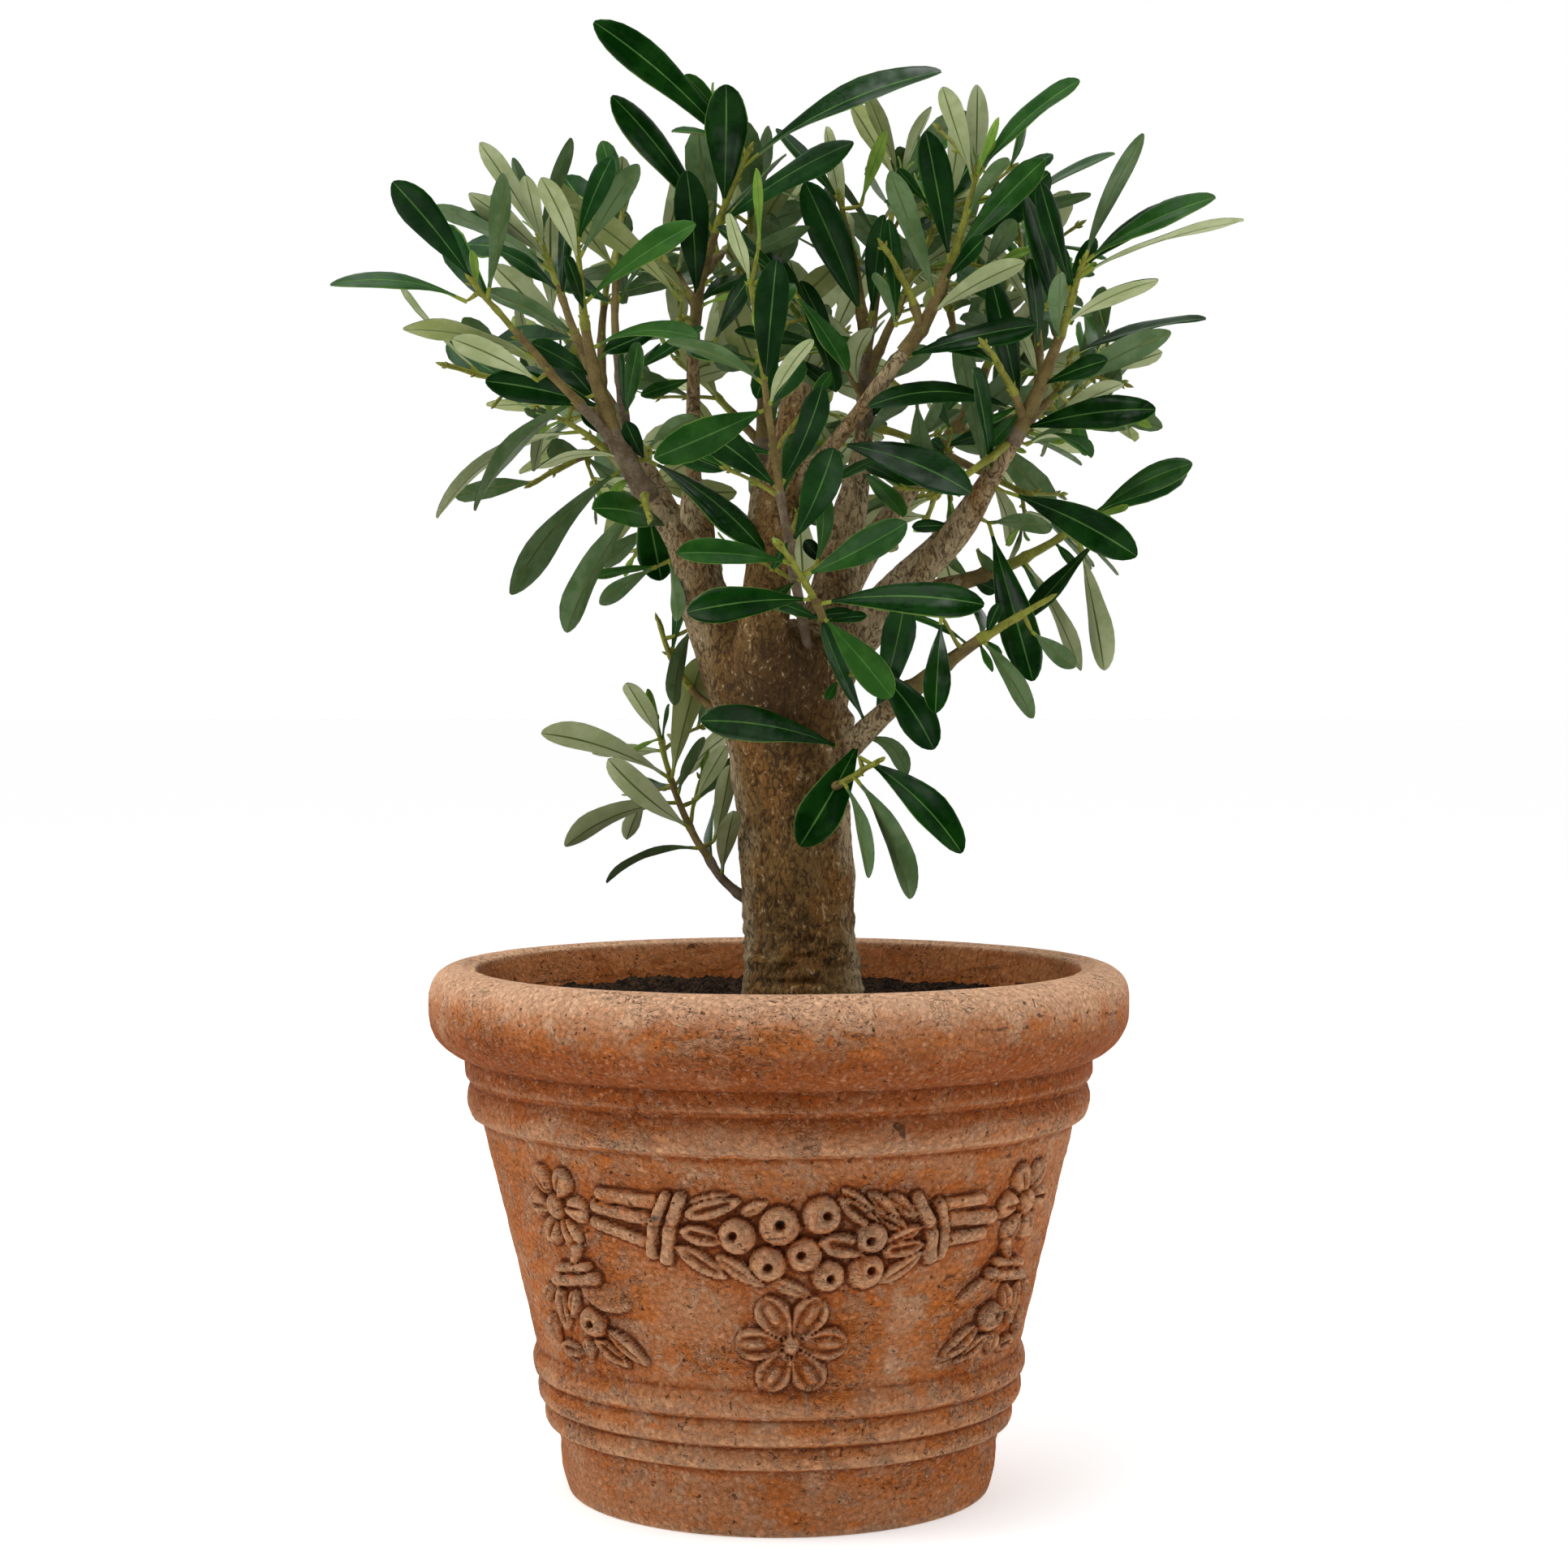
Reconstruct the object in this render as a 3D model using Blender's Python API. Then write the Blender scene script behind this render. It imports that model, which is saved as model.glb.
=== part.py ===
"""Olive bonsai in a terracotta garland pot, for Blender 4.5 (metres, +Z up).

The pot stands on the ground plane with its axis on Z, and its front faces -Y.
Every size in the tables below is in millimetres, and every angle in degrees.
"""
import math
import random

import bmesh
import bpy
from mathutils import Vector
from mathutils.bvhtree import BVHTree

MM = 0.001
UP = Vector((0.0, 0.0, 1.0))

# Clearances: between two sub-parts, and round a limb's tip where a stem grows on from it
GAP = 0.3
LIMB_CUT = 0.26

# Looks: base colours of the clay, the soil, the bark and the two sides of the leaves
CLAY = (0.46, 0.20, 0.10)
EARTH = (0.03, 0.02, 0.015)
BARK = (0.20, 0.15, 0.10)
LEAF = (0.04, 0.13, 0.03)
PALE_LEAF = (0.22, 0.28, 0.14)
LIGHT_UNDERSIDES = ("sprout",)

# Pot: corners of its outline as (radius, height, bulge, steps), from the middle of the underside, up
# the outer wall, round the rim and down the inside; the bulge is how far the stretch up to the corner
# swells out of its straight line, on a curve of that many steps
POT_OUTLINE = [
    (0, 0, 0, 1), (96.5, 0, 0, 1), (100.2, 22, 1.3, 2), (102.7, 30.3, 0, 1),
    (106.9, 32, 0, 1), (106.2, 41.2, 1.0, 2),
    (109.9, 43.2, 0, 1), (109.8, 53.8, 1.2, 2),
    (112.5, 56, 0, 1), (110.9, 66.8, 1.3, 2),
    (135.5, 169.7, 0, 1),
    (140.6, 172.5, 0, 1), (140.9, 187.4, 1.9, 2),
    (143.4, 190.5, 0, 1), (143.4, 199, 0.4, 1),
    (160.2, 225, 6.0, 4), (149, 240, 3.8, 3), (138.5, 238.6, 0, 1), (136.6, 232, 0, 1),
    (134.4, 220, 0, 1), (128, 195, 0, 1), (99, 40, 0, 1), (88.5, 17, 0, 1), (0, 17, 0, 1)]
POT_SEGMENTS = 40
WALL_FOOT = (110.9, 66.8)
WALL_HEAD = (135.5, 169.7)

# Soil: its side as (radius, height), clear of the pot's wall, the rings of its top, and the low swells
# on it, which die out at the wall and where the trunk stands
SOIL_SIDE = [(88.2, 17.3), (98.6, 40.2), (127.6, 195.1), (133.9, 219.6)]
SOIL_RINGS = [112, 88, 66, 46]
SOIL_LEVEL = 222.2
SOIL_SWELL = 2.4
SOIL_WAVES = (13.0, 15.0)
SOIL_FADE = 20.0

# Relief: a panel on the front and the same on the back, each with a swag between two rosettes, a
# pendant under each rosette and a flower under the swag; the pot's sides are plain
FRONT_SWAG = 4.1
PANEL_HALF = 51.4
SINK = 3.0

# Relief pieces as (kind, azimuth, height, azimuth, height, width, rise); the azimuths run from the
# middle of the swag
SWAG = [
    ("bar", -39.0, 151, -27.5, 149.5, 7.0, 3.4), ("bar", -40.5, 145.5, -29.0, 142, 7.0, 3.6),
    ("bar", -41.5, 138, -30.5, 132, 6.0, 3.4), ("bar", 29.0, 147, 37.8, 147.5, 6.2, 3.4),
    ("bar", 30.2, 140.5, 41.3, 138.5, 7.2, 3.6), ("bar", 30.3, 131, 39.0, 131.5, 6.4, 3.4),
    ("bar", -25.0, 152.5, -28.0, 140, 5.4, 5.2), ("bar", -28.0, 141, -29.0, 127, 5.4, 5.3),
    ("bar", -22.3, 152, -24.5, 140.5, 6.0, 5.4), ("bar", -24.4, 141.5, -26.0, 125, 6.0, 5.5),
    ("bar", 22.2, 151, 26.1, 137.5, 6.2, 5.2), ("bar", 26.0, 138.5, 26.6, 124, 6.2, 5.3),
    ("bar", 27.0, 148, 29.2, 135.5, 5.2, 5.4), ("bar", 29.1, 136.5, 28.7, 125, 5.2, 5.5),
    ("pod", -21.7, 144.5, -11.0, 152, 9.0, 4.6), ("pod", -11.0, 146, -6.0, 151.5, 6.0, 3.6),
    ("pod", -20.8, 150, -12.7, 155, 4.0, 3.2), ("pod", -22.8, 138, -14.5, 134, 9.5, 4.8),
    ("pod", -24.0, 131, -14.3, 117.5, 9.0, 3.6), ("pod", -16.3, 127.5, -6.8, 114.5, 8.5, 3.8),
    ("pod", -5.7, 117.5, 2.6, 109.5, 7.0, 3.2), ("pod", 3.4, 134, 14.0, 129.5, 11.5, 5.2),
    ("pod", 6.8, 153, 15.4, 138.5, 8.5, 5.0), ("pod", 7.5, 156.5, 14.7, 144, 6.5, 4.6),
    ("pod", 12.4, 155, 19.5, 139.5, 8.0, 4.4), ("pod", 16.3, 153.5, 22.7, 142.5, 7.5, 4.0),
    ("pod", 14.7, 144.5, 21.2, 137, 7.0, 4.1), ("pod", 16.6, 132, 24.2, 138.5, 7.5, 4.4),
    ("pod", 16.0, 128, 25.0, 130.5, 8.5, 4.2), ("pod", 16.2, 114.5, 25.2, 127, 8.0, 3.6),
    ("ball", -11.8, 136.5, 0, 0, 16.6, 6.6), ("ball", -3.9, 141, 0, 0, 17.6, 7.0),
    ("ball", -6.1, 124.5, 0, 0, 16.2, 6.4), ("ball", 0.8, 128.5, 0, 0, 15.6, 6.6),
    ("ball", 4.0, 145.5, 0, 0, 17.0, 6.0), ("ball", 5.6, 119, 0, 0, 14.4, 5.8),
    ("ball", 13.0, 120.5, 0, 0, 16.4, 6.0), ("ball", 13.5, 135, 0, 0, 15.0, 6.5)]

# Pendant pieces in the same form, from its rosette's azimuth; the right-hand pendant is mirrored
PENDANT = [
    ("bar", 3.9, 126.5, 2.9, 117, 6.0, 3.2), ("bar", -1.9, 114.5, 6.3, 117, 5.0, 4.4),
    ("bar", -4.1, 108.5, 7.7, 112.5, 6.5, 4.6), ("pod", 3.0, 107, 15.6, 101.5, 14.0, 3.6),
    ("pod", 1.2, 105.5, -2.5, 92, 7.5, 3.7), ("pod", -4.0, 105.5, -4.9, 85.5, 8.0, 3.8),
    ("pod", -8.1, 104.5, -12.0, 97, 5.5, 3.2), ("pod", -10.9, 91, -9.7, 75.5, 7.0, 3.4),
    ("pod", 8.5, 89, 17.9, 76, 9.0, 3.8), ("pod", 4.4, 84, 13.2, 74, 8.0, 3.5),
    ("pod", 0.9, 83.5, 2.0, 74.5, 8.5, 3.6), ("pod", -8.7, 77, -1.4, 76, 7.5, 3.2),
    ("ball", 5.1, 92, 0, 0, 14.2, 5.6)]
ROSETTE_HEIGHT = 142.5
ROSETTE = {"petals": 6, "turn": 0.0, "inner": 5.5, "outer": 19.5, "width": 12.5, "rise": 4.6,
           "button": 10.0, "button_rise": 5.6}
FLOWER_HEIGHT = 85.5
FLOWER_OFFSET = -1.4
FLOWER = {"petals": 6, "turn": 0.0, "inner": 4.0, "outer": 24.0, "width": 17.5, "rise": 3.0,
          "button": 10.0, "button_rise": 3.6}

# Trunk: rows of (height, x, y, half width along x, half width along y)
TRUNK = [
    (222.5, 11, 0, 29.6, 29), (231, 11, 0, 28.2, 27.6), (250, 10, 0, 26.8, 26.2),
    (272, 9, 0, 25.8, 25.4), (310, 6.2, 0, 26.4, 25.2), (336, 4, -1, 28, 26.4),
    (358, 1.5, -2, 31, 27.6), (376, -0.5, -2, 34, 28.4), (387, -1, -1, 32, 27),
    (394, -1, 0, 24, 20), (398, -1, 1, 11, 9)]
TRUNK_SIDES = 16

# Boughs: each a tapering limb through (x, y, z, radius), from inside the trunk or its parent
BOUGHS = {
    "bough_left": [(-12, -4, 360, 15), (-25, -5, 384, 13.6), (-35, -9, 406, 10.8), (-42, -12, 427, 7.6),
                   (-50, -15, 440, 5.6), (-58, -18, 451, 4.6)],
    "bough_left_rear": [(-14, 8, 366, 12), (-30, 22, 396, 10.4), (-37, 32, 426, 9), (-39, 38, 452, 7.6),
                        (-40, 36, 462, 4), (-40, 34, 498, 3.2), (-40, 30, 524, 2.8)],
    "leader_stub": [(-2, -10, 352, 14), (-7, -22, 378, 12.6), (-5, -28, 413, 10.4), (0, -24, 450, 9.2),
                    (6, -18, 482, 7.4), (9, -14, 503, 6.6)],
    "bough_centre_front": [(4, -24, 452, 4.6), (18, -26, 468, 4), (36, -28, 490, 3.6), (56, -30, 516, 3.2)],
    "bough_centre_rear": [(10, 6, 366, 14), (22, 16, 400, 11.6), (28, 22, 424, 10), (32, 26, 444, 8.4),
                          (37, 30, 466, 5.6), (40, 34, 487, 4)],
    "bough_right": [(12, 0, 364, 14), (34, -3, 388, 11.4), (56, -6, 412, 9), (72, -10, 428, 7.4),
                    (84, -13, 442, 6.4), (95, -16, 460, 5), (105, -18, 477, 4)],
    "bough_right_low": [(46, -2, 402, 5.6), (64, 6, 410, 4.4), (84, 4, 415, 3.6)],
    "bough_low_right": [(16, -10, 322, 6.4), (40, -26, 348, 5.2), (54, -31, 361, 4.2)],
    "bough_rear": [(-4, 8, 360, 12), (-6, 34, 396, 8.8), (-10, 62, 434, 6), (-8, 86, 474, 4)],
    "bough_rear_right": [(8, 8, 356, 11), (24, 34, 398, 8), (50, 58, 444, 5.4), (76, 76, 478, 3.8)],
    "bough_rear_left": [(-12, 10, 356, 11), (-26, 44, 400, 8), (-50, 64, 446, 5.4), (-72, 78, 486, 3.8)],
}
BOUGH_SIDES = 7
BOUGH_STEPS = 2

# Masses: the limb that carries each, then its shoots as (parent shoot, place along it, tip, sag,
# roll of the leaf pairs, leaf length, tips of the leaves that draw the outline)
MASSES = {
    "left_crown": ("bough_left", [
        (-1, 0, (-89, -45, 563), 0, 20, 60, [(-92, -62, 606), (-77, -35, 601), (-36, -80, 566),
                                             (-63, -15, 602)]),
        (0, 0.22, (-134, -70, 544), 10, 60, 62, [(-166, -85, 582), (-196, -88, 541), (-120, -80, 593),
                                                 (-163, -60, 525)]),
        (0, 0.38, (-109, 0, 573), 4, 10, 58, [(-133, 0, 613), (-113, 25, 601)]),
        (0, 0.12, (-74, 45, 590), 4, 40, 56, []),
        (0, 0.04, (-99, -15, 488), -4, 0, 56, [(-151, -45, 444), (-138, -12, 449), (-130, -40, 504),
                                               (-118, -50, 409), (-96, -35, 393)]),
        (0, 0.02, (-56, -70, 440), 0, 80, 52, [(-51, -75, 413)])]),
    "left_rear_crown": ("bough_left_rear", [
        (-1, 0, (-13, 10, 614), 0, 0, 56, [(-86, -10, 671), (72, -20, 643), (-25, 30, 646), (32, -20, 611),
                                           (-76, 15, 639), (-40, -25, 597), (-90, -45, 581)]),
        (0, 0.20, (-62, 75, 579), 6, 30, 58, []),
        (0, 0.35, (-23, 85, 581), 6, 70, 58, []),
        (0, 0.10, (-47, -20, 530), 0, 45, 50, [])]),
    "front_spray": ("trunk", [
        (-1, 0, (-12, -66, 544), 0, 0, 44, [(0, -80, 551), (-53, -92, 465), (-35, -88, 480), (27, -92, 468),
                                            (19, -78, 496)])]),
    "front_shoot": ("trunk", [
        (-1, 0, (0, -105, 428), 0, 0, 28, [(-38, -122, 402), (85, -118, 405), (50, -105, 362),
                                           (-42, -128, 422), (54, -125, 435)])]),
    "top_right_crown": ("bough_centre_front", [
        (-1, 0, (88, -48, 596), -6, 0, 60, [(130, -60, 631), (87, -25, 636), (66, -62, 609), (114, -78, 593),
                                            (109, -88, 524), (74, -40, 631)]),
        (0, 0.15, (45, -58, 561), 4, 50, 56, [(44, -80, 571), (14, -72, 584)])]),
    "centre_crown": ("bough_centre_rear", [
        (-1, 0, (28, 30, 596), 0, 10, 58, [(41, 40, 647), (19, 10, 626)]),
        (0, 0.30, (58, 65, 609), 6, 50, 56, [(69, 60, 638)]),
        (0, 0.20, (78, 10, 589), 6, 20, 54, [(111, 25, 586)]),
        (0, 0.12, (6, 5, 548), 4, 70, 54, []),
        (0, 0.02, (78, 14, 476), 6, 20, 44, [])]),
    "right_crown": ("bough_right", [
        (-1, 0, (135, -45, 556), 0, 0, 62, [(158, -60, 608), (193, -40, 583), (211, 5, 580), (190, -20, 534),
                                            (107, -62, 583)]),
        (0, 0.08, (145, 25, 520), 6, 30, 58, [(182, 35, 532), (169, -15, 495)]),
        (0, 0.30, (113, 15, 564), 4, 60, 58, [(140, 30, 596)]),
        (0, 0.12, (89, -60, 518), 4, 40, 54, [(83, -75, 499)]),
        (0, 0.02, (70, -44, 452), 6, 70, 42, [])]),
    "right_low_crown": ("bough_right_low", [
        (-1, 0, (143, -8, 445), 4, 0, 58, [(185, -25, 468), (158, -45, 426), (151, 0, 376),
                                           (114, -40, 371)])]),
    "low_right_crown": ("bough_low_right", [
        (-1, 0, (122, -30, 407), 4, 0, 50, [(113, -50, 355), (138, -15, 376), (71, -62, 356),
                                            (68, -68, 341)])]),
    "low_front_spray": ("trunk", [
        (-1, 0, (45, -62, 335), 0, 0, 58, [(79, -80, 295), (59, -75, 276), (42, -45, 283), (9, -98, 300),
                                           (-33, -95, 357)])]),
    "sprout": ("trunk", [
        (-1, 0, (-58, 30, 354), 4, 0, 56, [(-72, 30, 367), (-109, 5, 346), (-79, 45, 327), (-98, 0, 295),
                                           (-80, 12, 278), (-35, 50, 379)])]),
    "left_low_spray": ("trunk", [
        (-1, 0, (-56, 14, 398), 4, 0, 46, [(-51, 20, 359), (-83, 18, 406)])]),
    "rear_crown": ("bough_rear", [
        (-1, 0, (-15, 112, 575), 0, 0, 60, []),
        (0, 0.10, (-52, 130, 530), 6, 30, 60, []),
        (0, 0.10, (34, 132, 545), 6, 60, 60, []),
        (0, 0.05, (0, 158, 500), 8, 10, 60, []),
        (0, 0.30, (-14, 62, 590), 4, 70, 58, []),
        (0, 0.02, (20, 122, 455), 8, 10, 50, [])]),
    "rear_right_crown": ("bough_rear_right", [
        (-1, 0, (115, 96, 560), 0, 0, 60, []),
        (0, 0.10, (158, 78, 510), 6, 30, 60, []),
        (0, 0.08, (116, 134, 500), 6, 60, 60, []),
        (0, 0.30, (72, 104, 582), 4, 10, 58, []),
        (0, 0.02, (128, 52, 452), 8, 30, 50, []),
        (0, 0.02, (72, 112, 448), 8, 50, 50, [])]),
    "rear_left_crown": ("bough_rear_left", [
        (-1, 0, (-120, 86, 560), 0, 0, 60, []),
        (0, 0.10, (-160, 58, 520), 6, 30, 60, []),
        (0, 0.08, (-102, 134, 512), 6, 60, 60, []),
        (0, 0.30, (-78, 104, 588), 4, 10, 58, []),
        (0, 0.02, (-118, 48, 462), 8, 30, 50, []),
        (0, 0.02, (-58, 112, 456), 8, 50, 50, [])]),
}

# Stems that leave the trunk itself: start inside it, and first lean as a share of the stem's length
TRUNK_STEMS = {
    "front_spray": ((14, -18, 380), (-0.08, -0.32, 0.38)),
    "front_shoot": ((22, -14, 386), (0.0, -0.45, 0.15)),
    "low_front_spray": ((16, -16, 318), (0.22, -0.42, 0.10)),
    "sprout": ((-6, 4, 262), (-0.35, 0.05, 0.20)),
    "left_low_spray": ((-20, 8, 352), (-0.45, 0.12, 0.15)),
}

# Where the upper sides of the leaves face: the light outside, but away from the front on the sprout
LIGHT = {
    "sprout": (-0.2, 1.0, 0.5),
    "low_front_spray": (0.1, -1.0, 0.5),
    "left_low_spray": (-0.5, -0.7, 0.5),
}

# Outline of the crown from the front, as (x, height); no leaf without a named tip leaves it
CROWN_OUTLINE = [
    (-180, 570), (-165, 600), (-60, 610), (-30, 635), (70, 640), (160, 615), (195, 585), (195, 530),
    (160, 425), (150, 375), (70, 340), (-50, 360), (-120, 410), (-155, 445)]

# Growth: twig sizes, spacing of the leaf pairs from the tip down, and the leaf's own shape
TWIG_STEPS = 4
STEM_RADIUS = 3.2
SIDE_RADIUS = 2.5
TIP_RADIUS = 1.3
FIRST_PAIR = 4.0
PAIR_PITCH = (14.0, 18.0, 20.0)
BARE_FOOT = 14.0
PAIR_SIZE = (0.92, 1.0, 1.0, 0.94, 0.88)
PAIR_SPREAD = (34.0, 50.0, 58.0, 64.0)
LEAF_WIDTH = 0.29
LEAF_WIDEST = 19.0
LEAF_KEEL = 1.3
LEAF_ARCH = 0.045
LEAF_FOLD = 0.12
LEAF_ROOT = 0.4
LEAF_EDGES = ((0.30, 0.42), (0.68, 0.48))
KEEL_PLACE = 0.42
CLEARANCE = 0.6
OWN_START = 0.16
LEAF_TRIES = 9
TWIG_TRIES = 14
LIGHT_SPREAD = (260.0, 90.0)
FRONT_LIGHT = -0.4
NAMED_LIGHT = -0.8
SKY_LIGHT = 0.35
LIGHT_JITTER = 0.3


def smooth_rows(rows, steps):
    """Rows of numbers with steps - 1 new ones between each pair, on a Catmull-Rom curve."""
    result = []
    last = len(rows) - 1
    for index in range(last):
        four = [rows[max(index - 1, 0)], rows[index], rows[index + 1], rows[min(index + 2, last)]]
        for step in range(steps):
            t = step / steps
            weights = (-t + 2 * t ** 2 - t ** 3, 2 - 5 * t ** 2 + 3 * t ** 3,
                       t + 4 * t ** 2 - 3 * t ** 3, t ** 3 - t ** 2)
            columns = zip(*four)
            result.append([0.5 * sum(w * value for w, value in zip(weights, column)) for column in columns])
    result.append(list(rows[-1]))
    return result


def tube(points, radii, sides):
    """Corners and faces of a closed tube round a line of points, its frame carried without twist."""
    corners = []
    last = len(points) - 1
    side = None
    for index, point in enumerate(points):
        along = (points[min(index + 1, last)] - points[max(index - 1, 0)]).normalized()
        side = along.orthogonal() if side is None else side - along * side.dot(along)
        side.normalize()
        other = along.cross(side)
        for k in range(sides):
            angle = math.tau * k / sides
            corners.append(point + (side * math.cos(angle) + other * math.sin(angle)) * radii[index])
    return corners, ring_faces(last + 1, sides)


def ring_faces(rings, sides):
    """Faces that join rings of corners into one closed solid, ring after ring."""
    faces = [tuple(reversed(range(sides)))]
    for ring in range(rings - 1):
        low = ring * sides
        for k in range(sides):
            n = (k + 1) % sides
            faces.append((low + k, low + n, low + sides + n, low + sides + k))
    top = (rings - 1) * sides
    faces.append(tuple(range(top, top + sides)))
    return faces


def trunk_solid(extra):
    """Trunk: oval rings on its rows, each widened by extra, flat at both ends."""
    corners = []
    for z, x, y, half_x, half_y in TRUNK:
        for k in range(TRUNK_SIDES):
            angle = math.tau * k / TRUNK_SIDES
            across = (half_x + extra) * math.cos(angle)
            corners.append(Vector((x + across, y + (half_y + extra) * math.sin(angle), z)))
    top = TRUNK[-1]
    if extra:
        corners[-TRUNK_SIDES:] = [corner + UP * extra for corner in corners[-TRUNK_SIDES:]]
        corners[:TRUNK_SIDES] = [corner - UP * extra for corner in corners[:TRUNK_SIDES]]
    return corners, ring_faces(len(TRUNK), TRUNK_SIDES), Vector((top[1], top[2], top[0]))


def bough_solid(name, extra):
    """Bough: a tube on its smoothed rows, widened and lengthened by extra, and its end direction."""
    rows = smooth_rows(BOUGHS[name], BOUGH_STEPS)
    points = [Vector(row[:3]) for row in rows]
    ahead = (points[-1] - points[-2]).normalized()
    points[-1] = points[-1] + ahead * extra
    corners, faces = tube(points, [row[3] + extra for row in rows], BOUGH_SIDES)
    return corners, faces, ahead


class Space:
    """Solids that are already in place, and whether a new one would touch them."""

    def __init__(self):
        self.solids = []

    def add(self, owner, corners, faces):
        centre = sum(corners, Vector()) / len(corners)
        reach = max((corner - centre).length for corner in corners)
        self.solids.append((owner, centre, reach, BVHTree.FromPolygons(corners, faces)))

    def touches(self, corners, faces, skip=(), only=None):
        centre = sum(corners, Vector()) / len(corners)
        reach = max((corner - centre).length for corner in corners)
        tree = None
        for owner, middle, size, other in self.solids:
            if owner in skip or (only is not None and owner not in only):
                continue
            if (middle - centre).length > reach + size:
                continue
            tree = tree or BVHTree.FromPolygons(corners, faces)
            if tree.overlap(other):
                return True
        return False


def arc_points(start, control, tip, steps):
    """Points on the quadratic curve from start to tip that control pulls on."""
    points = []
    for step in range(steps + 1):
        t = step / steps
        points.append(start * (1 - t) ** 2 + control * (2 * t * (1 - t)) + tip * t ** 2)
    return points


def place_along(points, share):
    """Point and direction at a share of a line's length."""
    spans = [(b - a).length for a, b in zip(points, points[1:])]
    left = share * sum(spans)
    for a, b, span in zip(points, points[1:], spans):
        if left <= span:
            return a.lerp(b, left / span), (b - a).normalized()
        left -= span
    return points[-1].copy(), (points[-1] - points[-2]).normalized()


def leaf_solid(leaf, start=0.0):
    """Leaf: a six-cornered blade, folded along its middle, with a keel under it and a sunk root."""
    base, ahead, face, length, width = leaf
    side = ahead.cross(face)
    root = length * start if start else -LEAF_ROOT
    corners = [base + ahead * root]
    for share, half in LEAF_EDGES:
        middle = base + ahead * (length * share) + face * (length * LEAF_ARCH * 4 * share * (1 - share))
        lift = face * (width * half * LEAF_FOLD)
        corners += [middle - side * (width * half) + lift, middle + side * (width * half) + lift]
    corners.append(base + ahead * length)
    arch = length * LEAF_ARCH * 4 * KEEL_PLACE * (1 - KEEL_PLACE)
    corners.append(base + ahead * (length * KEEL_PLACE) + face * (arch - LEAF_KEEL))
    faces = [(0, 2, 1), (1, 2, 4, 3), (3, 4, 5)]
    loop = (0, 1, 3, 5, 4, 2)
    faces += [(loop[k], loop[(k + 1) % 6], 6) for k in range(6)]
    return corners, faces


def leaf_room(leaf, pad, start=0.0):
    """Room that a leaf needs: its outline widened by pad, as a plate that holds blade and keel."""
    base, ahead, face, length, width = leaf
    side = ahead.cross(face)
    outline = [(length * start, 0.0)]
    outline += [(length * share, -width * half - pad) for share, half in LEAF_EDGES]
    outline.append((length + pad, 0.0))
    outline += [(length * share, width * half + pad) for share, half in reversed(LEAF_EDGES)]
    corners = []
    for height in (-LEAF_KEEL * 0.7 - pad, width * LEAF_FOLD * 0.5 + pad):
        for along, across in outline:
            share = min(max(along / length, 0.0), 1.0)
            arch = length * LEAF_ARCH * 4 * share * (1 - share)
            corners.append(base + ahead * along + side * across + face * (arch + height))
    return corners, ring_faces(2, 6)


def leaf_face(ahead, stem, base, mass, front, jitter):
    """Direction that the leaf's upper side faces: the shoot's tip and the light outside the crown."""
    light = LIGHT.get(mass) or (base.x / LIGHT_SPREAD[0], base.y / LIGHT_SPREAD[1] + front, SKY_LIGHT)
    want = stem * 0.3 + Vector(light).normalized() + Vector(jitter) * LIGHT_JITTER
    want -= ahead * want.dot(ahead)
    return want.normalized()


def inside_outline(x, z):
    """Whether a point lies in the crown's outline as the front shows it."""
    inside = False
    for (x1, z1), (x2, z2) in zip(CROWN_OUTLINE, CROWN_OUTLINE[1:] + CROWN_OUTLINE[:1]):
        if (z1 > z) != (z2 > z) and x < x1 + (z - z1) * (x2 - x1) / (z2 - z1):
            inside = not inside
    return inside


def pair_slots(points, roll):
    """Leaf places along a shoot, from its tip down, as (node, stem direction, leaf direction, size)."""
    length = sum((b - a).length for a, b in zip(points, points[1:]))
    from_tip = FIRST_PAIR
    slots = []
    index = 0
    while from_tip < length - BARE_FOOT or index < 2:
        node, stem = place_along(points, max(1 - from_tip / length, 0.05))
        flat = UP.cross(stem)
        if flat.length < 0.2:
            flat = Vector((1.0, 0.0, 0.0)) - stem * stem.x
        flat.normalize()
        rise = stem.cross(flat)
        turn = math.radians(roll + 90.0 * index)
        spread = math.radians(PAIR_SPREAD[min(index, len(PAIR_SPREAD) - 1)])
        size = PAIR_SIZE[min(index, len(PAIR_SIZE) - 1)]
        for half_turn in (0.0, math.pi):
            sideways = flat * math.cos(turn + half_turn) + rise * math.sin(turn + half_turn)
            slots.append((node, stem, stem * math.cos(spread) + sideways * math.sin(spread), size))
        from_tip += PAIR_PITCH[min(index, len(PAIR_PITCH) - 1)]
        index += 1
    return slots


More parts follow.
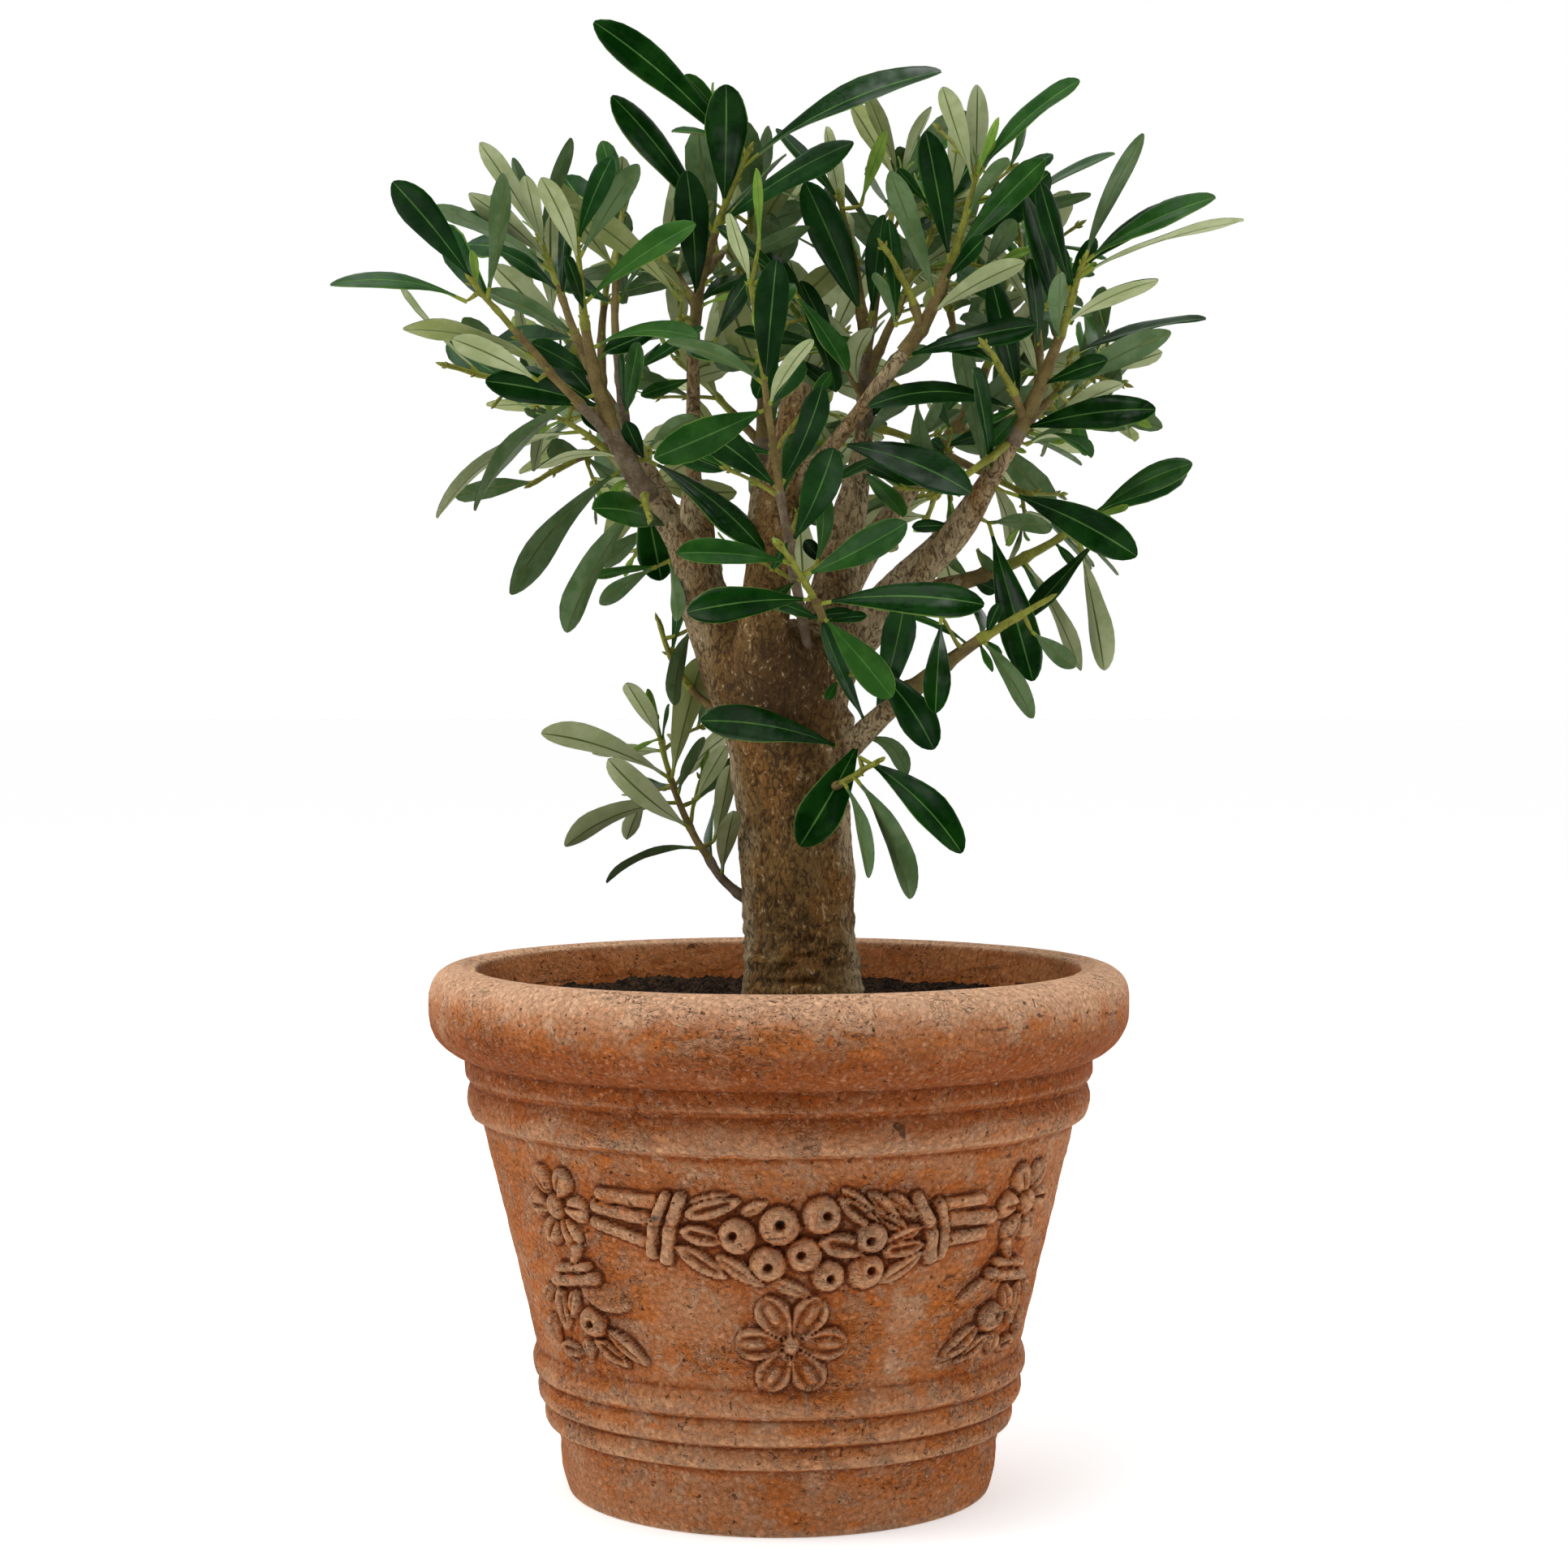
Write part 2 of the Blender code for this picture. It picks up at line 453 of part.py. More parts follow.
def grow_twigs(space):
    """Twigs of every mass, each as (points, radii, row); a tip that would touch something is moved."""
    crown = {}
    for number, (mass, (limb, rows)) in enumerate(MASSES.items()):
        rng = random.Random(100 + number)
        twigs = []
        for parent, place, tip, sag, roll, size, leads in rows:
            tip = Vector(tip)
            for attempt in range(TWIG_TRIES):
                if parent >= 0:
                    start, stem = place_along(twigs[parent][0], place)
                    control = start.lerp(tip, 0.5) + stem * ((tip - start).length * 0.15) - UP * sag
                    radius = SIDE_RADIUS
                elif limb == "trunk":
                    start = Vector(TRUNK_STEMS[mass][0])
                    control = start + Vector(TRUNK_STEMS[mass][1]) * (tip - start).length
                    radius = STEM_RADIUS
                else:
                    ahead = bough_solid(limb, 0.0)[2]
                    start = Vector(BOUGHS[limb][-1][:3]) + ahead * GAP
                    control = start + ahead * ((tip - start).length * 0.4)
                    radius = BOUGHS[limb][-1][3] * 1.15
                points = arc_points(start, control, tip, TWIG_STEPS)
                radii = [radius + (TIP_RADIUS - radius) * k / TWIG_STEPS for k in range(TWIG_STEPS + 1)]
                first = 1 if parent >= 0 else 2 if limb == "trunk" else 0
                clear = points[first:]
                padded = [r + CLEARANCE for r in radii[first:]]
                others = ("trunk",) if limb == "trunk" and parent < 0 else ()
                if not space.touches(*tube(clear, padded, 3), skip=(mass, limb) + others):
                    break
                tip = Vector(tip) + Vector([rng.uniform(-4, 4) for _ in range(3)])
            else:
                continue
            twigs.append((points, radii, (roll, size, leads)))
            space.add(mass, *tube(points, radii, 3))
        crown[mass] = twigs
    return crown


def try_leaf(space, mass, leaf):
    """Whether a leaf is clear of all other masses and limbs, and beyond its root of its own mass."""
    if space.touches(*leaf_room(leaf, CLEARANCE), skip=(mass,)):
        return False
    return not space.touches(*leaf_room(leaf, CLEARANCE * 0.3, OWN_START), only=(mass,))


def grow_leaves(space, crown):
    """Leaves of every mass: first those with named tips, then the opposite pairs of each shoot."""
    leaves = {mass: [] for mass in crown}
    plans = []
    for number, (mass, twigs) in enumerate(crown.items()):
        for points, _, (roll, size, leads) in twigs:
            slots = pair_slots(points, roll)
            named = {}
            for lead in leads:
                lead = Vector(lead)
                free = [k for k in range(len(slots)) if k not in named]
                if free:
                    best = min(free, key=lambda k: (slots[k][0] + slots[k][2] * size - lead).length
                               + 0.5 * abs((lead - slots[k][0]).length - size))
                    named[best] = lead
            plans.append((number, mass, slots, named, size))
    for with_name in (True, False):
        for number, mass, slots, named, size in plans:
            rng = random.Random(500 + 37 * number + len(slots))
            limb = MASSES[mass][0]
            for index, (node, stem, ahead, share) in enumerate(slots):
                draws = [[rng.gauss(0, 1) for _ in range(7)] for _ in range(LEAF_TRIES)]
                if (index in named) != with_name:
                    continue
                for attempt, (turn_a, turn_b, turn_c, grow, *jitter) in enumerate(draws):
                    if with_name:
                        spot = named[index] + Vector((turn_a, turn_b, turn_c)) * (2.2 * attempt)
                        length = (spot - node).length
                        way = (spot - node).normalized()
                    else:
                        grow = max(min(grow, 1.5), -1.5)
                        length = size * share * (1 + 0.08 * grow) * (1 - 0.04 * attempt)
                        loose = 0.16 + 0.05 * attempt
                        way = (ahead + Vector((turn_a, turn_b, turn_c + 0.5)) * loose).normalized()
                    if not (with_name or limb == "trunk"):
                        end = node + way * length
                        if not inside_outline(end.x, end.z):
                            continue
                    front = NAMED_LIGHT if with_name else FRONT_LIGHT
                    face = leaf_face(way, stem, node, mass, front, jitter)
                    width = min(LEAF_WIDTH * length, LEAF_WIDEST)
                    leaf = (node, way, face, length, width)
                    if try_leaf(space, mass, leaf):
                        leaves[mass].append(leaf)
                        space.add(mass, *leaf_solid(leaf))
                        break
    return leaves


def material(name, colour, roughness):
    """Principled material in one plain colour."""
    result = bpy.data.materials.new(name)
    result.use_nodes = True
    shader = result.node_tree.nodes["Principled BSDF"]
    shader.inputs["Base Color"].default_value = (*colour, 1.0)
    shader.inputs["Roughness"].default_value = roughness
    return result


def add_object(name, corners, faces):
    """Mesh object from millimetre corners, with its faces turned outward."""
    mesh = bpy.data.meshes.new(name)
    mesh.from_pydata([tuple(corner * MM) for corner in corners], [], faces)
    work = bmesh.new()
    work.from_mesh(mesh)
    bmesh.ops.recalc_face_normals(work, faces=work.faces)
    work.to_mesh(mesh)
    work.free()
    result = bpy.data.objects.new(name, mesh)
    bpy.context.scene.collection.objects.link(result)
    return result


def apply_boolean(target, others, operation):
    """Boolean of a target with a list of objects, by a collection; the others are then removed."""
    group = bpy.data.collections.new("operands")
    bpy.context.scene.collection.children.link(group)
    for other in others:
        for home in list(other.users_collection):
            home.objects.unlink(other)
        group.objects.link(other)
    modifier = target.modifiers.new("fit", "BOOLEAN")
    modifier.operand_type = "COLLECTION"
    modifier.collection = group
    modifier.operation = operation
    modifier.solver = "EXACT"
    graph = bpy.context.evaluated_depsgraph_get()
    mesh = bpy.data.meshes.new_from_object(target.evaluated_get(graph))
    target.modifiers.clear()
    old = target.data
    target.data = mesh
    bpy.data.meshes.remove(old)
    mesh.name = target.name
    for other in others:
        bpy.data.objects.remove(other)
    bpy.data.collections.remove(group)
    keep_largest(mesh)


def keep_largest(mesh):
    """Drop every loose piece of a mesh but the largest."""
    work = bmesh.new()
    work.from_mesh(mesh)
    work.faces.ensure_lookup_table()
    seen = set()
    pieces = []
    for face in work.faces:
        if face.index in seen:
            continue
        piece = []
        todo = [face]
        seen.add(face.index)
        while todo:
            here = todo.pop()
            piece.append(here)
            for edge in here.edges:
                for near in edge.link_faces:
                    if near.index not in seen:
                        seen.add(near.index)
                        todo.append(near)
        pieces.append(piece)
    pieces.sort(key=lambda piece: sum(face.calc_area() for face in piece))
    loose = [face for piece in pieces[:-1] for face in piece]
    if loose:
        bmesh.ops.delete(work, geom=loose, context="FACES")
    work.to_mesh(mesh)
    work.free()


def outline_points(rows):
    """Outline as (radius, height): each stretch is a parabola that swells out by its bulge."""
    points = [rows[0][:2]]
    for (r0, z0, _, _), (r1, z1, bulge, steps) in zip(rows, rows[1:]):
        chord = math.hypot(r1 - r0, z1 - z0)
        for step in range(1, steps + 1):
            t = step / steps
            out = 4 * bulge * t * (1 - t) / chord
            points.append((r0 + (r1 - r0) * t + (z1 - z0) * out, z0 + (z1 - z0) * t - (r1 - r0) * out))
    return points


def turned(name, outline, segments):
    """Solid turned on the Z axis from the rows of an outline whose two ends lie on it."""
    work = bmesh.new()
    verts = [work.verts.new((0.0, -r * MM, z * MM)) for r, z in outline_points(outline)]
    edges = [work.edges.new(pair) for pair in zip(verts, verts[1:])]
    bmesh.ops.spin(work, geom=verts + edges, cent=(0, 0, 0), axis=(0, 0, 1), angle=math.tau, steps=segments,
                   use_merge=True, use_normal_flip=False, use_duplicate=False)
    bmesh.ops.remove_doubles(work, verts=work.verts, dist=0.01 * MM)
    bmesh.ops.recalc_face_normals(work, faces=work.faces)
    mesh = bpy.data.meshes.new(name)
    work.to_mesh(mesh)
    work.free()
    result = bpy.data.objects.new(name, mesh)
    bpy.context.scene.collection.objects.link(result)
    return result


def wall_point(azimuth, height, out):
    """Point on the pot's sloping wall, at an azimuth from the front, raised out of it."""
    share = (height - WALL_FOOT[1]) / (WALL_HEAD[1] - WALL_FOOT[1])
    radius = WALL_FOOT[0] + share * (WALL_HEAD[0] - WALL_FOOT[0]) + out
    angle = math.radians(azimuth)
    return Vector((radius * math.sin(angle), -radius * math.cos(angle), height))


def wall_radius(height):
    """Radius of the pot's wall at a height."""
    return -wall_point(0.0, height, 0.0).y


def relief_ball(azimuth, height, width, rise):
    """Round fruit on the wall with a pit in its crown: a six-sided stub whose top falls to its middle."""
    corners = []
    turn = math.degrees(0.5 * width / wall_radius(height))
    for size, out in ((1.0, -SINK), (0.66, rise)):
        for k in range(6):
            angle = math.tau * k / 6
            corners.append(wall_point(azimuth + turn * size * math.cos(angle),
                                      height + 0.5 * width * size * math.sin(angle), out))
    corners.append(wall_point(azimuth, height, rise * 0.45))
    faces = ring_faces(2, 6)[:-1]
    faces += [(6 + k, 6 + (k + 1) % 6, 12) for k in range(6)]
    return corners, faces


def relief_strip(azimuth, height, to_azimuth, to_height, width, rise, widest):
    """Leaf or petal on the wall: eight faces between its ends, its edges, its crest and its sunk foot."""
    radius = wall_radius(0.5 * (height + to_height))
    run = Vector((math.radians(to_azimuth - azimuth) * radius, to_height - height))
    across = Vector((-run.y, run.x)).normalized() * (0.5 * width)
    turn = math.degrees(across.x / radius)
    mid_azimuth = azimuth + (to_azimuth - azimuth) * widest
    mid_height = height + (to_height - height) * widest
    corners = [wall_point(azimuth, height, -0.5), wall_point(to_azimuth, to_height, -0.5),
               wall_point(mid_azimuth + turn, mid_height + across.y, -0.5),
               wall_point(mid_azimuth, mid_height, rise),
               wall_point(mid_azimuth - turn, mid_height - across.y, -0.5),
               wall_point(mid_azimuth, mid_height, -SINK)]
    faces = [(end, 2 + k, 2 + (k + 1) % 4) for end in (0, 1) for k in range(4)]
    return corners, faces


def relief_bar(azimuth, height, to_azimuth, to_height, width, rise):
    """Stalk or band on the wall: a ridge of three corners at each end."""
    radius = wall_radius(0.5 * (height + to_height))
    run = Vector((math.radians(to_azimuth - azimuth) * radius, to_height - height))
    across = Vector((-run.y, run.x)).normalized() * (0.5 * width)
    turn = math.degrees(across.x / radius)
    corners = []
    for here_azimuth, here_height in ((azimuth, height), (to_azimuth, to_height)):
        corners += [wall_point(here_azimuth + turn, here_height + across.y, -SINK * 0.5),
                    wall_point(here_azimuth, here_height, rise),
                    wall_point(here_azimuth - turn, here_height - across.y, -SINK * 0.5)]
    return corners, ring_faces(2, 3)


def relief_pieces():
    """Every relief piece round the pot, as corners and faces."""
    pieces = []

    def strip(kind, azimuth, height, to_azimuth, to_height, width, rise):
        if kind == "ball":
            pieces.append(relief_ball(azimuth, height, width, rise))
        elif kind == "bar":
            pieces.append(relief_bar(azimuth, height, to_azimuth, to_height, width, rise))
        else:
            pieces.append(relief_strip(azimuth, height, to_azimuth, to_height, width, rise, 0.45))

    def bloom(azimuth, height, sizes):
        radius = wall_radius(height)
        for k in range(sizes["petals"]):
            angle = math.radians(sizes["turn"] + 360.0 * k / sizes["petals"])
            reach = [(azimuth + math.degrees(out * math.cos(angle) / radius), height + out * math.sin(angle))
                     for out in (sizes["inner"], sizes["outer"])]
            pieces.append(relief_strip(*reach[0], *reach[1], sizes["width"], sizes["rise"], 0.6))
        pieces.append(relief_ball(azimuth, height, sizes["button"], sizes["button_rise"]))

    for centre in (FRONT_SWAG, FRONT_SWAG + 180.0):
        for kind, azimuth, height, to_azimuth, to_height, width, rise in SWAG:
            strip(kind, centre + azimuth, height, centre + to_azimuth, to_height, width, rise)
        bloom(centre + FLOWER_OFFSET, FLOWER_HEIGHT, FLOWER)
        for side in (1.0, -1.0):
            corner = centre - side * PANEL_HALF
            bloom(corner, ROSETTE_HEIGHT, ROSETTE)
            for kind, azimuth, height, to_azimuth, to_height, width, rise in PENDANT:
                ends = (corner + azimuth * side, height, corner + to_azimuth * side, to_height)
                strip(kind, *ends, width, rise)
    return pieces


def soil_height(x, y):
    """Height of the soil's top: low swells, and a fall to the edge along the pot's wall."""
    reach = math.hypot(x, y)
    inner = min(max((reach - SOIL_RINGS[-1]) / SOIL_FADE, 0.0), 1.0)
    outer = min(max((SOIL_SIDE[-1][0] - reach) / SOIL_FADE, 0.0), 1.0)
    swell = math.sin(x / SOIL_WAVES[0]) * math.cos(y / SOIL_WAVES[1])
    return SOIL_LEVEL + SOIL_SWELL * swell * inner * outer + (SOIL_SIDE[-1][1] - SOIL_LEVEL) * (1.0 - outer)


def soil_solid():
    """Soil: rings up its side, then rings over its uneven top, with the corners of the pot's own rings."""
    corners = []
    for radius, height in SOIL_SIDE + [(ring, None) for ring in SOIL_RINGS]:
        for k in range(POT_SEGMENTS):
            angle = math.tau * k / POT_SEGMENTS
            x, y = radius * math.cos(angle), radius * math.sin(angle)
            corners.append(Vector((x, y, soil_height(x, y) if height is None else height)))
    return corners, ring_faces(len(SOIL_SIDE) + len(SOIL_RINGS), POT_SEGMENTS)


def finish(piece, home, colour, roughness, sharp=40.0):
    """Give a sub-part its own material and shading, and parent it to the plant's empty."""
    piece.data.materials.clear()
    piece.data.materials.append(material(piece.name + "_look", colour, roughness))
    piece.data.shade_smooth()
    piece.data.set_sharp_from_angle(angle=math.radians(sharp))
    piece.parent = home


def main():
    """Clear the scene and build the pot, the soil, the limbs and the masses of foliage."""
    for old in list(bpy.data.objects):
        bpy.data.objects.remove(old)
    home = bpy.data.objects.new("olive_bonsai", None)
    bpy.context.scene.collection.objects.link(home)

    pot = turned("pot", POT_OUTLINE, POT_SEGMENTS)
    relief = [add_object("relief_%03d" % k, *piece) for k, piece in enumerate(relief_pieces())]
    apply_boolean(pot, relief, "UNION")
    finish(pot, home, CLAY, 0.85)
    finish(add_object("soil", *soil_solid()), home, EARTH, 0.95)

    space = Space()
    corners, faces, _ = trunk_solid(0.0)
    finish(add_object("trunk", corners, faces), home, BARK, 0.85)
    space.add("trunk", corners, faces)
    for number, name in enumerate(BOUGHS):
        corners, faces, _ = bough_solid(name, 0.0)
        bough = add_object(name, corners, faces)
        space.add(name, corners, faces)
        cutters = [add_object("cut_trunk", *trunk_solid(GAP)[:2])]
        for other in list(BOUGHS)[:number]:
            cutters.append(add_object("cut_" + other, *bough_solid(other, GAP)[:2]))
        apply_boolean(bough, cutters, "DIFFERENCE")
        finish(bough, home, BARK, 0.85)

    crown = grow_twigs(space)
    leaves = grow_leaves(space, crown)
    for mass, twigs in crown.items():
        pieces = [tube(points, radii, 3) for points, radii, _ in twigs]
        pieces += [leaf_solid(leaf) for leaf in leaves[mass]]
        objects = [add_object(mass + "_%03d" % k, *piece) for k, piece in enumerate(pieces)]
        stem = objects[0]
        stem.name = mass
        limb = MASSES[mass][0]
        if limb == "trunk":
            apply_boolean(stem, [add_object("cut_trunk", *trunk_solid(GAP)[:2])], "DIFFERENCE")
        apply_boolean(stem, objects[1:], "UNION")
        if limb != "trunk":
            apply_boolean(stem, [add_object("cut_limb", *bough_solid(limb, LIMB_CUT)[:2])], "DIFFERENCE")
        finish(stem, home, PALE_LEAF if mass in LIGHT_UNDERSIDES else LEAF, 0.45, 30.0)


main()
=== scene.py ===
import itertools
import math
import random

import bmesh
import bpy
import numpy as np
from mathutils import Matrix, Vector
from mathutils.bvhtree import BVHTree


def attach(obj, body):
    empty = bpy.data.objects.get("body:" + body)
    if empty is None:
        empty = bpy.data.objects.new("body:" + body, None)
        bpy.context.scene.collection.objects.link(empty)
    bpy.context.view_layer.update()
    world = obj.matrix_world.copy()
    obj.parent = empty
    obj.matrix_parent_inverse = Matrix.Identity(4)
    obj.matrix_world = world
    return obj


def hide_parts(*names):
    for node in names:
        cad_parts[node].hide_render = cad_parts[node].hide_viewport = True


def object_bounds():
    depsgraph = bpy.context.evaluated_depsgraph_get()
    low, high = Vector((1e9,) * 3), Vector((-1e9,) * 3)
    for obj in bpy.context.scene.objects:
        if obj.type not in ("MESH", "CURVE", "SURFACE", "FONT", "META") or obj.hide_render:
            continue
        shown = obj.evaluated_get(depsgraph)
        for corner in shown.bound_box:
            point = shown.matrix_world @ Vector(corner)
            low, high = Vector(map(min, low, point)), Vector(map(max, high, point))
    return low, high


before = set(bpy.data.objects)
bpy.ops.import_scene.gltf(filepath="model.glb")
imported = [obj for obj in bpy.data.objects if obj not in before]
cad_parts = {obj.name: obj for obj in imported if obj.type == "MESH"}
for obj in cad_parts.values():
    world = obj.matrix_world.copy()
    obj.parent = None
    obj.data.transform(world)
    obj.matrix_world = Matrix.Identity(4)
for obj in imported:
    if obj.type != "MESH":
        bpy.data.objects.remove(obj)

MM = 0.001
UP = Vector((0.0, 0.0, 1.0))
GAP = 0.3
CAD_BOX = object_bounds()

# Large odd numbers that mix up the places of a noise, and the largest number of 32 bits
MIXERS = (374761393, 668265263, 2246822519, 3266489917)
ALL_BITS = 0xffffffff

# Camera: a square picture, 36 mm wide on the sensor, looking a little down
CAMERA_LENS = 72.14
SENSOR_WIDTH = 36.0
CAMERA_PLACE = (0.0024, -1.4406, 0.3691)
CAMERA_DIP = 1.858

# Pot: corners of its outline as (radius, height, bulge, steps), from the middle of the underside, up
# the outer wall, round the rim and down the inside; the bulge is how far the stretch up to the corner
# swells out of its straight line, on a curve of that many steps
POT_OUTLINE = [
    (0, 0, 0, 1), (96.5, 0, 0, 1), (100.2, 22, 1.3, 2), (102.7, 30.3, 0, 1),
    (106.9, 32, 0, 1), (106.2, 41.2, 1.0, 2),
    (109.9, 43.2, 0, 1), (109.8, 53.8, 1.2, 2),
    (112.5, 56, 0, 1), (110.9, 66.8, 1.3, 2),
    (135.5, 169.7, 0, 1),
    (140.6, 172.5, 0, 1), (140.9, 187.4, 1.9, 2),
    (143.4, 190.5, 0, 1), (143.4, 199, 0.4, 1),
    (160.2, 225, 6.0, 4), (149, 240, 3.8, 3), (143.6, 239.9, 0, 1), (142.3, 238.4, 0, 1),
    (141.0, 239.5, 0, 1), (138.5, 238.8, 0, 1), (136.6, 232, 0, 1),
    (134.4, 220, 0, 1), (128, 195, 0, 1), (99, 40, 0, 1), (88.5, 17, 0, 1), (0, 17, 0, 1)]
POT_WIDEST = 160.2
WALL_FOOT = (110.9, 66.8)
WALL_HEAD = (135.5, 169.7)

# Garland: how deep the creases between its motifs go. Pot's skin: the softness of its corners, the reaches
# that tell crease and recess from edge, the steps of the outline, from which radius outside and above
# which level inside it shows, how soon the garland fades out at the wall's ends, and the pot's sectors
CREASE_DEPTH = 1.5
OUTLINE_SOFTNESS = 0.45
CREASE_REACH = 1.7
RECESS_REACH = 4.0
OUTLINE_FINENESS = 8
FINEST_PITCH = 0.2
FOOT_RADIUS = 94.0
INNER_LEVEL = 214.0
WALL_FADE = 1.2
OUTLINE_PITCH = {"hidden": 14.0, "crease": 0.6, "moulding": 2.0, "wall": 1.05}
SECTORS = (("pot_front", -68.0, 76.0, 352), ("pot_right", 76.0, 112.0, 44),
           ("pot_back", 112.0, 256.0, 352), ("pot_left", 256.0, 292.0, 44))

# Soil: its side from the middle of its underside up, the low swells of its top, its fineness, and its
# crumbs as (rise, size, seed), with grit over them and the depth that they all sink by
SOIL_SIDE = [(0, 17.3), (88.2, 17.3), (98.6, 40.2), (127.6, 195.1), (133.9, 219.6)]
SOIL_LEVEL = 222.2
SOIL_SWELL = 2.4
SOIL_WAVES = (13.0, 15.0)
SOIL_FADE = 20.0
SOIL_FOOT = 46.0
SOIL_RINGS = 118
SOIL_COLUMNS = 560
CRUMBS = ((2.2, 6.0, 51), (1.8, 2.8, 52))
GRIT_RISE = 1.1
GRIT_SIZE = 1.5
GRIT_SEED = 53
CRUMB_SINK = 1.3

# Relief: a panel on the front and the same on the back, each with a swag between two rosettes, a
# pendant under each rosette and a flower under the swag; the pot's sides are plain
FRONT_SWAG = 4.1
PANEL_HALF = 51.4

# Relief pieces as (kind, azimuth, height, azimuth, height, width, rise); the azimuths run from the
# middle of the swag
SWAG = [
    ("bar", -39.0, 151, -27.5, 149.5, 7.0, 3.4), ("bar", -40.5, 145.5, -29.0, 142, 7.0, 3.6),
    ("bar", -41.5, 138, -30.5, 132, 6.0, 3.4), ("bar", 29.0, 147, 37.8, 147.5, 6.2, 3.4),
    ("bar", 30.2, 140.5, 41.3, 138.5, 7.2, 3.6), ("bar", 30.3, 131, 39.0, 131.5, 6.4, 3.4),
    ("bar", -25.0, 152.5, -28.0, 140, 5.4, 5.2), ("bar", -28.0, 141, -29.0, 127, 5.4, 5.3),
    ("bar", -22.3, 152, -24.5, 140.5, 6.0, 5.4), ("bar", -24.4, 141.5, -26.0, 125, 6.0, 5.5),
    ("bar", 22.2, 151, 26.1, 137.5, 6.2, 5.2), ("bar", 26.0, 138.5, 26.6, 124, 6.2, 5.3),
    ("bar", 27.0, 148, 29.2, 135.5, 5.2, 5.4), ("bar", 29.1, 136.5, 28.7, 125, 5.2, 5.5),
    ("pod", -21.7, 144.5, -11.0, 152, 9.0, 4.6), ("leaf", -11.0, 146, -6.0, 151.5, 6.0, 3.6),
    ("leaf", -20.8, 150, -12.7, 155, 4.0, 3.2), ("pod", -22.8, 138, -14.5, 134, 9.5, 4.8),
    ("pod", -24.0, 131, -14.3, 117.5, 9.0, 3.6), ("leaf", -16.3, 127.5, -6.8, 114.5, 8.5, 3.8),
    ("leaf", -5.7, 117.5, 2.6, 109.5, 7.0, 3.2), ("pod", 3.4, 134, 14.0, 129.5, 11.5, 5.2),
    ("pod", 6.8, 153, 15.4, 138.5, 8.5, 5.0), ("leaf", 7.5, 156.5, 14.7, 144, 6.5, 4.6),
    ("leaf", 12.4, 155, 19.5, 139.5, 8.0, 4.4), ("leaf", 16.3, 153.5, 22.7, 142.5, 7.5, 4.0),
    ("leaf", 14.7, 144.5, 21.2, 137, 7.0, 4.1), ("leaf", 16.6, 132, 24.2, 138.5, 7.5, 4.4),
    ("pod", 16.0, 128, 25.0, 130.5, 8.5, 4.2), ("leaf", 16.2, 114.5, 25.2, 127, 8.0, 3.6),
    ("ball", -11.8, 136.5, 0, 0, 16.6, 6.6), ("ball", -3.9, 141, 0, 0, 17.6, 7.0),
    ("ball", -6.1, 124.5, 0, 0, 16.2, 6.4), ("ball", 0.8, 128.5, 0, 0, 15.6, 6.6),
    ("ball", 4.0, 145.5, 0, 0, 17.0, 6.0), ("ball", 5.6, 119, 0, 0, 14.4, 5.8),
    ("ball", 13.0, 120.5, 0, 0, 16.4, 6.0), ("ball", 13.5, 135, 0, 0, 15.0, 6.5)]

# Pendant pieces in the same form, from its rosette's azimuth; the right-hand pendant is mirrored
PENDANT = [
    ("bar", 3.9, 126.5, 2.9, 117, 6.0, 4.0), ("bar", -1.9, 114.5, 6.3, 117, 5.0, 5.5),
    ("bar", -4.1, 108.5, 7.7, 112.5, 6.5, 5.8), ("shell", 3.0, 107, 15.6, 101.5, 14.0, 4.5),
    ("leaf", 1.2, 105.5, -2.5, 92, 7.5, 4.6), ("pod", -4.0, 105.5, -4.9, 85.5, 8.0, 4.8),
    ("pod", -8.1, 104.5, -12.0, 97, 5.5, 4.0), ("pod", -10.9, 91, -9.7, 75.5, 7.0, 4.2),
    ("leaf", 8.5, 89, 17.9, 76, 9.0, 4.8), ("pod", 4.4, 84, 13.2, 74, 8.0, 4.4),
    ("leaf", 0.9, 83.5, 2.0, 74.5, 8.5, 4.5), ("pod", -8.7, 77, -1.4, 76, 7.5, 4.0),
    ("ball", 5.1, 92, 0, 0, 14.2, 7.0)]
ROSETTE_HEIGHT = 142.5
ROSETTE = {"petals": 6, "turn": 0.0, "inner": 5.5, "outer": 19.5, "width": 12.5, "rise": 4.6,
           "button": 10.0, "button_rise": 5.6, "kind": "lobe"}
FLOWER_HEIGHT = 88.4
FLOWER_OFFSET = -1.4
FLOWER = {"petals": 6, "turn": 0.0, "inner": 3.0, "outer": 23.8, "width": 15.4, "rise": 5.0,
          "button": 8.0, "button_rise": 4.0, "kind": "petal"}

# How fully a petal and a lobe fill their rectangle at the ends, where the other motifs are more pointed,
# and how flat the tops of bars and buttons are
POWERS = {"lobe": 0.45, "petal": 0.5}
POINTED = 0.62
BAR_ROUND = 2.4

# Trunk: rows of (height, x, y, half width along x, half width along y)
TRUNK = [
    (222.5, 11, 0, 29.6, 29), (231, 11, 0, 28.2, 27.6), (250, 10, 0, 26.8, 26.2),
    (272, 9, 0, 25.8, 25.4), (310, 6.2, 0, 26.4, 25.2), (336, 4, -1, 28, 26.4),
    (358, 1.5, -2, 31, 27.6), (376, -0.5, -2, 34, 28.4), (387, -1, -1, 32, 27),
    (394, -1, 0, 24, 20), (398, -1, 1, 11, 9)]
TRUNK_SIDES = 16

